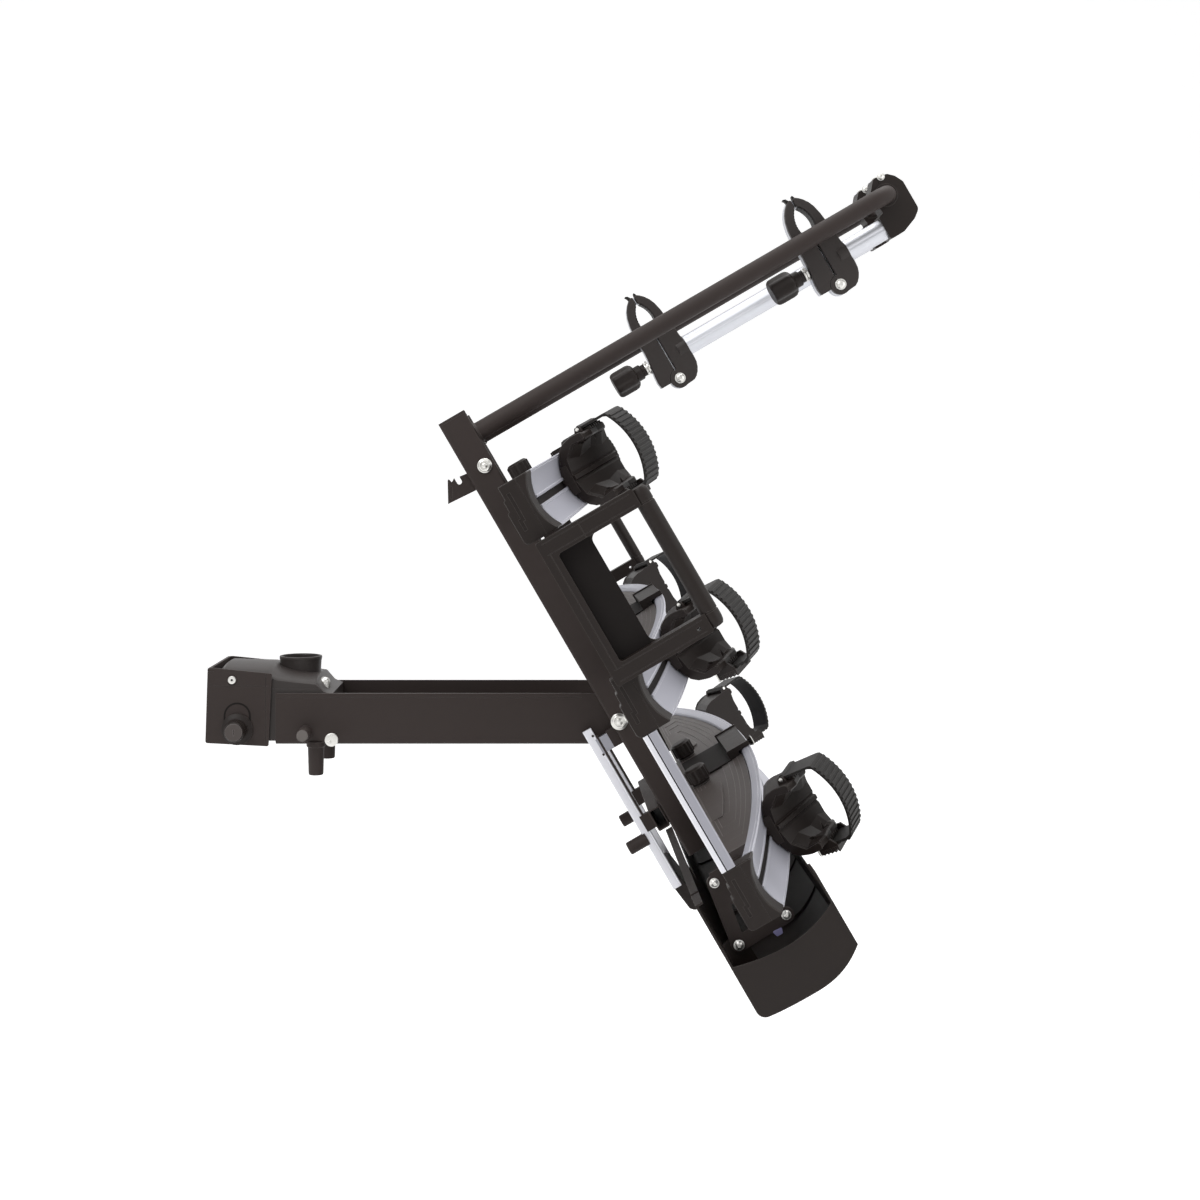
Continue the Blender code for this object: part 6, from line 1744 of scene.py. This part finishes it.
def star_knob(word, y, slit):
    top, low = slit - 0.051, slit - 0.087
    rows = [(0.0130, low, 0), (0.0160, low + 0.0004, 0.0006), (0.0178, low + 0.0018, 0.0022),
            (0.0192, low + 0.0045, 0.0030), (0.0195, low + 0.010, 0.0032), (0.0195, top - 0.0095, 0.0032),
            (0.0186, top - 0.0050, 0.0026), (0.0160, top - 0.0018, 0.0010), (0.0125, top, 0)]
    grip = skin("grip", [lobed_ring(y, r, w, d) for r, w, d in rows])
    rows = [(0.0112, top - 0.001), (0.0112, top + 0.0085), (0.0102, top + 0.0095), (0.0088, top + 0.0098),
            (0.0088, top + 0.0150)]
    neck = lathe("neck", rows, (ARM_A, y), "Z", 36)
    dress(gather("star_knob_" + word, [grip, neck]), "clamp_knob_" + word, width=0.0004)
    seat = slit - 0.0293
    rows = [(0.0095, seat - 0.0066), (0.0098, seat - 0.0062), (0.0098, seat - 0.0048),
            (0.0070, seat - 0.0044), (0.0070, seat - 0.0034), (0.0105, seat - 0.0030),
            (0.0105, seat - 0.0004), (0.0040, seat), (0.0040, slit - 0.004)]
    spindle = lathe("knob_spindle_" + word, rows, (ARM_A, y), "Z", 40)
    add(spindle, "clamp_knob_" + word, "zinc_plate", width=0.0002)


for word, y, slit in ARMS:
    upper_half(word, y, slit)
    lower_half(word, y, slit)
    star_knob(word, y, slit)
    for side, end in SIDES:
        spots = [(ARM_A + KNUCKLE, y + side * CHEEK_Y, slit)]
        bolts("jaw_rivet_%s_%s" % (end, word), LARGE_BOLT, spots, "bike_arm_" + word, side=side)
print("jaws: 4, star knobs: 2")

# %% [markdown]
# ## The coupling
# The coupling doesn't tilt, so its pieces are drawn level. The head is a casting whose top falls
# to its flanks, so it is skinned over slices, and the collar round the tow ball is turned.

# %% Coupling head
LEVER = (-0.084, 0.0095)
CLAW_PIN = (-0.052, -0.001)
HEAD_HALF = 0.0722


def coupling_line():
    back = [(-0.0370, 0.0304), (-0.0300, 0.0284), (-0.0240, 0.0251), (0.0, 0.0196), (0.0300, 0.0140)]
    rear = [(0.0410, -0.0055), (0.0520, -0.0110), (0.0520, -0.0745), (-0.0420, -0.0745), (-0.0420, -0.0160)]
    return [(-0.1105, -0.0160)] + arc(LEVER, 0.0265, 180, 119.8, 12) + back + rear


def crowned(y):
    """One slice of the casting: its top falls from the middle to the flanks."""
    share = abs(y) / HEAD_HALF
    kept = 0.93 - 0.26 * share**2 - 0.16 * share**14
    nose = 0.004 * share**14
    ring = []
    for x, z in coupling_line():
        ring.append((x + nose * (x < -0.1), y, -0.009 + (z + 0.009) * kept if z > -0.009 else z))
    return ring


def coupling_casting():
    slices = [0.0, 0.016, 0.032, 0.045, 0.055, 0.063, 0.0675, 0.0700, 0.0714, HEAD_HALF]
    rings = [crowned(-y) for y in reversed(slices)] + [crowned(y) for y in slices[1:]]
    head = skin("coupling_casting", rings)
    wall = [(0.0280, -0.020), (0.0281, 0.0120), (0.0290, 0.0280), (0.0298, 0.0312), (0.0300, 0.0336),
            (0.0295, 0.0348), (0.0288, 0.0350), (0.0268, 0.0350)]
    join(head, lathe("collar", wall, (0, 0), "Z", 72))
    bore = [(0.0255, -0.09), (0.0255, 0.0322), (0.0268, 0.0345), (0.0268, 0.05)]
    cut(head, lathe("ball_bore", bore, (0, 0), "Z", 72),
        slab("jaw_slot", (-0.069, 0), (-0.0155, 0.0155), (-0.09, 0.011)),
        slab("parting", (-0.1005, 0.056), (-0.0730, -0.0716), (-0.0036, -0.0028)))
    return join(head, rod("jaw_pin", 0.0029, -0.0185, 0.0185, CLAW_PIN, "Y", 24))


head = dress(coupling_casting(), "coupling_head", place=LEVEL, width=0.0005)
print("coupling head:", len(head.data.polygons), "faces")

# %% [markdown]
# The lever turns on a zinc rivet with flat, rounded heads. A domed bolt stands on the nose behind
# the collar. Both are turned from a profile, as on a lathe.

# %% Rivet and dome bolt
head_y = 0.0768
rivet = [(0.0012, -head_y - 0.0008), (0.0015, -head_y - 0.0020), (0.0036, -head_y - 0.0026),
         (0.0052, -head_y - 0.0020), (0.0059, -head_y - 0.0008), (0.0059, -head_y), (0.0044, -head_y),
         (0.0044, head_y), (0.0059, head_y), (0.0059, head_y + 0.0008), (0.0052, head_y + 0.0020),
         (0.0036, head_y + 0.0026)]
add(lathe("lever_rivet", rivet, LEVER, "Y", 40), "tongue", "zinc_plate", LEVEL, 0.0001, 1)
# A dark disc in the rivet's middle, in the dull black finish, is painted shade.
eye_rows = [(0.0015, -head_y - 0.0010), (0.0015, -head_y - 0.0022), (0.0010, -head_y - 0.0023)]
eye = lathe("rivet_eye", eye_rows, LEVER, "Y", 24)
add(eye, "tongue", "slot_shadow", LEVEL, 0)
dome = [(0.0086, -0.014), (0.0086, 0.0010), (0.0082, 0.0034), (0.0071, 0.0056), (0.0052, 0.0072),
        (0.0032, 0.0079), (0.0026, 0.0060)]
add(lathe("dome_bolt", dome, (0.0365, -0.030), "Z", 36), "tongue", "zinc_plate", LEVEL, 0.0001, 1)
print("rivet and dome bolt")

# %% [markdown]
# Inside the head a claw swings against the ball. Little of it shows, so its outline is plain.

# %% The ball claw
claw = [(-0.058, -0.001), (-0.058, -0.0245), (-0.0235, -0.0245), (-0.0178, -0.0182), (-0.0228, -0.0112),
        (-0.0435, -0.001)]
jaw = push("ball_claw", claw, -0.0148, 0.0148)
join(jaw, rod("hub", 0.0090, -0.0148, 0.0148, CLAW_PIN, "Y", 40))
cut(jaw, rod("bore", 0.0033, -0.05, 0.05, CLAW_PIN, "Y", 24),
    *[slab("groove", (-0.046, -0.030), span(side, 0.0142, 0.0155), (-0.0210, -0.0120)) for side in (-1, 1)])
dress(jaw, "ball_jaw", place=LEVEL, width=0.0006)
print("ball claw:", len(jaw.data.polygons), "faces")

# %% [markdown]
# The lever is a folded cover: its cheeks are flat sheet with pressed creases and a lip at the
# front. Shallow cuts draw those lines, and holes take the rivet and the lock.

# %% The lever
LOCK = (-0.0769, -0.058)


def lever_cover():
    outer = rounded([(-0.1207, -0.0770, 0.003), (-0.0343, -0.0815, 0.002), (-0.0296, 0.0180, 0.002),
                     (-0.1095, 0.0260, 0.002), (-0.1175, 0.0255, 0.001)], 6)
    cover = push("lever_cover", outer, -0.0765, 0.0765)
    hollow = [(-0.1187, -0.0970), (0, -0.0970), (0, 0.0460), (-0.1115, 0.0460)]
    cut(cover, push("hollow", hollow, -0.0735, 0.0735))
    cut(cover, rod("rivet_hole", 0.0049, -0.1, 0.1, LEVER, "Y", 32),
        rod("lock_hole", 0.0064, -0.1, 0, LOCK, "Y", 32))
    for side in (-1, 1):
        skin_y = span(side, 0.0758, 0.08)
        cut(cover, slab("crease", (-0.1150, -0.0335), skin_y, (0.0008, 0.0014)),
            slab("crease", (-0.0385, -0.0378), skin_y, (-0.0780, 0.0180)),
            slab("lip", (-0.13, -0.1085), skin_y, (0.0206, 0.0212)))
    cut(cover, slab("front_line", (-0.125, -0.1166), (-0.066, 0.066), (-0.0012, -0.0004)))
    return cover


dress(lever_cover(), "lever_housing", place=LEVEL, width=0.0005)
print("lever cover on its rivet at", LEVER)

# %% [markdown]
# The lock is a knob with fine ribs and a slotted face, under an arched slot. The slot's dark inside
# is painted shade, a thin arch in the dull black finish, and the knob's face is painted lighter,
# a painted highlight.

# %% The lock
def ribbed_ring(radius, offset, depth, ribs=30):
    ring = []
    for i in range(ribs * 6):
        turn = 2 * math.pi * i / (ribs * 6)
        r = radius - depth * (i % 6 in (0, 5))
        ring.append((LOCK[0] + r * math.cos(turn), offset, LOCK[1] + r * math.sin(turn)))
    return ring


def arched_slot():
    middle, foot = (LOCK[0], -0.0400), LOCK[1]
    outer, inner = arc(middle, 0.0186, 0, 180, 24), arc(middle, 0.0162, 180, 0, 24)
    line = [(outer[0][0], foot)] + outer + [(outer[-1][0], foot)]
    line += [(inner[0][0], foot)] + inner + [(inner[-1][0], foot)]
    return push("lock_arch", line, -0.0767, -0.0762)


# The thin dark arch is painted shade in the slot.
add(arched_slot(), "coupling_lever", "slot_shadow", LEVEL, 0)
rows = [(0.0060, -0.0630, 0), (0.0060, -0.0770, 0), (0.0215, -0.0770, 0), (0.0215, -0.0792, 0),
        (0.0203, -0.0802, 0), (0.0178, -0.0810, 0), (0.0150, -0.0832, 0), (0.0145, -0.0845, 0.0006),
        (0.0135, -0.1020, 0.0006), (0.0134, -0.1045, 0), (0.0126, -0.1060, 0), (0.0112, -0.1067, 0)]
grip = skin("lock_grip", [ribbed_ring(r, w, d) for r, w, d in rows])
dress(grip, "lock_knob", place=LEVEL, width=0)
# The lighter face is a painted highlight.
face_rows = [(0.0118, -0.1062), (0.0118, -0.1066), (0.0112, -0.1070)]
face = lathe("lock_face", face_rows, LOCK, "Y", 40)
key = slab("key_slot", (LOCK[0] - 0.0006, LOCK[0] + 0.0006), (-0.12, -0.1066),
           (LOCK[1] - 0.0042, LOCK[1] + 0.0042))
cut(face, key)
add(face, "lock_knob", "cheek_plastic", LEVEL, 0)
print("lock at", LOCK)

# %% [markdown]
# ## The tongue
# The tongue is a folded channel: its section is pushed along the car, with round folds at the
# floor, and two round ears take the pivot bolt. Pegs for parking stand below it.

# %% The tongue's channel
TONGUE_OUT, TONGUE_IN = 0.0765, 0.0725
REST_PEG, LATCH_PIN = (0.017, -0.0612), (0.0564, -0.0669)
PIVOT_PIN = (PIVOT.x, PIVOT.z)


def channel_line(half, floor, radius, top):
    return rounded([(-half, floor, radius), (half, floor, radius), (half, top, 0), (-half, top, 0)], 6)


def tongue_channel():
    outer = channel_line(TONGUE_OUT, -0.0788, 0.006, -0.009)
    inner = channel_line(TONGUE_IN, -0.0748, 0.003, 0.05)
    channel = push("tongue_fold", outer, -0.0245, 0.4056, "X")
    cut(channel, push("bay", inner, -0.1, 0.5, "X"))
    ear_line = [(0.3990, -0.0728), (0.4056, -0.0770)] + arc(PIVOT_PIN, 0.030, -90, 90, 28)
    ear_line += [(0.4056, -0.009), (0.3990, -0.009)]
    for side in (-1, 1):
        join(channel, push("ear", ear_line, *span(side, TONGUE_IN, TONGUE_OUT)))
        peg = [(0.0087, 0.0745), (0.0087, 0.1112), (0.0078, 0.1128), (0.0060, 0.1130), (0.0058, 0.1122)]
        join(channel, lathe("rest_peg", [(r, side * w) for r, w in peg], REST_PEG, "Y", 40))
        foot = [(0.0130, -0.0758), (0.0130, -0.0824), (0.0112, -0.0836), (0.0102, -0.1195),
                (0.0094, -0.1213), (0.0060, -0.1215), (0.0056, -0.1150)]
        join(channel, lathe("stand_peg", foot, (0.030, side * 0.068), "Z", 40))
    cut(channel, slab("ball_slot", (-0.1, 0.045), (-0.040, 0.040), (-0.1, -0.0728)),
        slab("open_end", (0.3966, 0.5), (-0.0715, 0.0715), (-0.1, -0.0728)),
        rod("pivot_hole", 0.0064, -0.1, 0.1, PIVOT_PIN, "Y", 32),
        rod("latch_hole", 0.0034, -0.1, 0.1, LATCH_PIN, "Y", 24))
    for side in (-1, 1):
        cut(channel, slab("fold_line", (-0.0230, 0.3950), span(side, 0.0761, 0.08), (-0.0146, -0.0141)))
    return channel


channel = dress(tongue_channel(), "tongue_channel", place=LEVEL, width=0.0009, segments=3)
print("tongue:", len(channel.data.polygons), "faces")

# %% [markdown]
# Along the top folds of the channel a lighter finish is laid, a painted highlight where those
# edges catch the light, and the pegs' ends get a small disc of the same lighter finish. Two pins
# cross the channel: the platform turns on one, and the hook catches the other.

# %% Painted edge highlights, pivot bolt and latch pin
def pin_across(name, centre, radius, head, near, zinc_head):
    """A pin across the rack, its flanged head near and its nut far."""
    line = [(centre[0] + u, centre[1] + v) for u, v in hexagon(head * 0.86, 12)]
    nut = push("nut", line, near + 0.0010, near + 0.0058)
    ring = rod("washer", head, near, near + 0.0010, centre, "Y", 40)
    shank = lathe("shank", [(radius, -near), (radius, near + 0.0064), (radius * 0.8, near + 0.0070)],
                  centre, "Y", 32)
    zinc_head.data.transform(Matrix.Translation((centre[0], -near, centre[1])))
    return gather(name, [zinc_head, shank, ring, nut])


# The lighter strips on the top folds are a painted highlight.
rims = [slab("rim", (-0.0225, 0.3950), span(side, 0.0734, 0.0756), (-0.0092, -0.0088)) for side in (-1, 1)]
rims += [lathe("peg_end", [(0.0077, side * 0.1126), (0.0077, side * 0.1130), (0.0070, side * 0.1131)],
               REST_PEG, "Y", 36)
         for side in (-1, 1)]
add(gather("tongue_worn_edges", rims), "tongue", "worn_edge", LEVEL, 0)
pivot = pin_across("pivot_pin", PIVOT_PIN, 0.006, 0.0115, 0.1109, ring_head("head", 0.0115))
dress(pivot, "pivot_bolt", place=LEVEL, width=0.0002)
plate = lathe("head", [(0.0090, 0), (0.0090, -0.0018), (0.0080, -0.0026), (0.0030, -0.0027)], (0, 0), "Y", 40)
rows = [(0.0029, -0.0024), (0.0029, -0.0052), (0.0024, -0.0058), (0.0008, -0.0059)]
stud = lathe("stud", rows, (-0.0030, -0.0034), "Y", 28)
cross_pin = pin_across("latch_cross_pin", LATCH_PIN, 0.003, 0.009, 0.1113, gather("head", [plate, stud]))
dress(cross_pin, "latch_pin", place=LEVEL, width=0.0002)
print("pins across:", pivot.name, cross_pin.name)

# %% [markdown]
# ## Hook, pedal frame and pedal
# Under the near rail hangs the hook that holds the platform level. It is cut from plate: a round
# eye, a notch with room for the latch pin, and a long heel with a pressed dent.

# %% Latch hook
HOOK_HALF = 0.0025


def hook_plate():
    pin, room = (-0.3882, -0.0247), 0.0036
    eye = arc((HOOK_A, HOOK_N), 0.010, -20, 200, 24)
    notch = [(-0.3929, -0.010), (-0.3943, pin[1] + room)] + arc(pin, room, 90, -90, 14)
    beak = [(-0.3962, pin[1] - room), (-0.3927, -0.0339), (-0.3957, -0.0345), (-0.3985, -0.0354),
            (-0.3979, -0.0374)]
    heel = [(-0.3697, -0.0529), (-0.3669, -0.0110)]
    faces = (-RAIL_MID - HOOK_HALF, -RAIL_MID + HOOK_HALF)
    plate = push("hook_plate", eye + notch + beak + heel, *faces)
    dent = [(-0.3900, -0.0385), (-0.3745, -0.0468), (-0.3727, -0.0440), (-0.3872, -0.0362)]
    for y in faces:
        cut(plate, push("dent", dent, y - 0.0006, y + 0.0006))
    return plate


dress(hook_plate(), "latch_hook", width=0.0004)
bolt_head = ring_head("hook_bolt", 0.0100)
bolt_head.data.transform(Matrix.Translation((HOOK_A, -0.1110, HOOK_N)))
shank = rod("shank", 0.0040, -0.1110, -0.0775, (HOOK_A, HOOK_N), "Y", 28)
add(gather("hook_bolt", [bolt_head, shank]), "latch_hook", "zinc_plate", width=0.0002, segments=1)
print("hook: its eye at", HOOK_A, HOOK_N)

# %% [markdown]
# Under the rails a black cross tube carries two bright strips on hangers. The strips show a seam,
# and under the tube stand the feet that the tilted platform rests on.

# %% Pedal frame
STRIP_Y, STRIP_LOW, STRIP_TOP = 0.090, -0.0515, -0.0385
AXLE = (0.232, -0.045)


def strip_bar(side):
    low, top = STRIP_LOW, STRIP_TOP
    y = span(side, STRIP_Y - 0.003, STRIP_Y + 0.003)
    section = rounded([(y[0], low, 0.0016), (y[1], low, 0.0016), (y[1], top, 0.0008), (y[0], top, 0.0008)], 5)
    bar = push("strip", section, -0.009, 0.238, "X")
    y = span(side, STRIP_Y + 0.0026, STRIP_Y + 0.01)
    cut(bar, slab("line", (-0.02, 0.25), y, (top - 0.0030, top - 0.0024)))
    return bar


def cross_tube():
    low, top, wall = -0.028, -0.0103, 0.002
    outer = rounded([(0.125, low, 0.0022), (0.156, low, 0.0022), (0.156, top, 0.0022),
                     (0.125, top, 0.0022)], 5)
    inner = rounded([(0.127, low + wall, 0.001), (0.154, low + wall, 0.001),
                     (0.154, top - wall, 0.001), (0.127, top - wall, 0.001)], 5)
    frame_bar = push("cross_tube", outer, -0.1105, 0.1105)
    cut(frame_bar, push("hollow", inner, -0.2, 0.2))
    for side in (-1, 1):
        y = span(side, STRIP_Y - 0.005, STRIP_Y + 0.005)
        join(frame_bar, slab("post", (0.129, 0.152), y, (STRIP_TOP - 0.004, -0.0268)),
             slab("hanger_top", (0.005, 0.030), y, (-0.0235, -0.0103)),
             slab("dark_edge", (0.004, 0.130), y, (STRIP_TOP + 0.0001, STRIP_TOP + 0.0030)))
        rows = [(0.0060, -0.0735), (0.0066, -0.0766), (0.0078, -0.0770), (0.0088, -0.0756),
                (0.0090, -0.0738), (0.0090, -0.0475)]
        join(frame_bar, lathe("foot", rows, (0.160, side * STRIP_Y), "Z", 40))
        for a in (0.0020, 0.0310):
            rows = [(0.0018, side * (STRIP_Y + 0.0025)), (0.0018, side * (STRIP_Y + 0.0040)),
                    (0.0012, side * (STRIP_Y + 0.0044))]
            join(frame_bar, lathe("screw", rows, (a, -0.0415), "Y", 20))
    return frame_bar


strips = gather("pedal_strips", [strip_bar(side) for side in (-1, 1)])
dress(strips, "pedal_frame", finish="drawn_bar", width=0.0003)
add(cross_tube(), "platform", "powder_coat", width=0.0005)
# The hanger plates take the darker bar finish, a painted shade.
plates = [slab("plate", (0.008, 0.030), span(side, STRIP_Y - 0.004, STRIP_Y + 0.004),
               (STRIP_TOP - 0.003, -0.0230))
          for side in (-1, 1)]
add(gather("hanger_plates", plates), "platform", "shaded_bar", width=0.0004)
add(rod("pedal_axle", 0.003, -0.0915, 0.0915, AXLE, "Y", 28), "platform", "zinc_plate", width=0)
print("pedal frame: axle at", AXLE)

# %% [markdown]
# The foot pedal is one moulding on the axle, with ribs under the shoe and cells below to save
# plastic. A small lens with a lilac cast sits on the near end of the lamp board.

# %% Pedal and side light
def pedal_line():
    hub = arc(AXLE, 0.0078, 110, 290, 24)
    end = AXLE[0] + 0.054
    under = [(AXLE[0] + 0.016, AXLE[1] - 0.006), (end - 0.006, AXLE[1] - 0.002),
             (end - 0.0015, AXLE[1] + 0.0020)]
    tail = [(end, AXLE[1] + 0.0045), (end, AXLE[1] + 0.0105)]
    ribs = []
    for i in reversed(range(5)):
        start = AXLE[0] + 0.020 + i * 0.006
        ribs += [(start + 0.004, AXLE[1] + 0.0123), (start + 0.0034, AXLE[1] + 0.0125),
                 (start + 0.0022, AXLE[1] + 0.0125)]
        ribs += [(start + 0.0006, AXLE[1] + 0.0117), (start, AXLE[1] + 0.0105)]
    return hub + under + tail + ribs


pedal = push("pedal_moulding", pedal_line(), -0.060, 0.060)
cut(pedal, rod("bore", 0.0034, -0.1, 0.1, AXLE, "Y", 28))
cells = [slab("cell", (AXLE[0] + 0.014, AXLE[0] + 0.046), (y + 0.001, y + 0.017), (-0.06, AXLE[1] + 0.0055))
         for y in (-0.057, -0.038, -0.019, 0.0, 0.019, 0.038)]
cut(pedal, *cells)
dress(pedal, "foot_pedal", width=0.0004)
glass = rounded([(0.2272, 0.040, 0.0015), (0.2345, 0.0425, 0.0015), (0.2345, 0.050, 0.002),
                 (0.2280, 0.052, 0.001)], 5)
add(push("side_light", glass, -0.5060, -0.4935), "lamp_board", "lens_lilac", width=0.0005)
print("pedal:", len(pedal.data.polygons), "faces")

# %% [markdown]
# The two bolt heads were only patterns for the tree, so they leave at the end.

# %% The bolt patterns leave
forget(SMALL_BOLT, LARGE_BOLT)
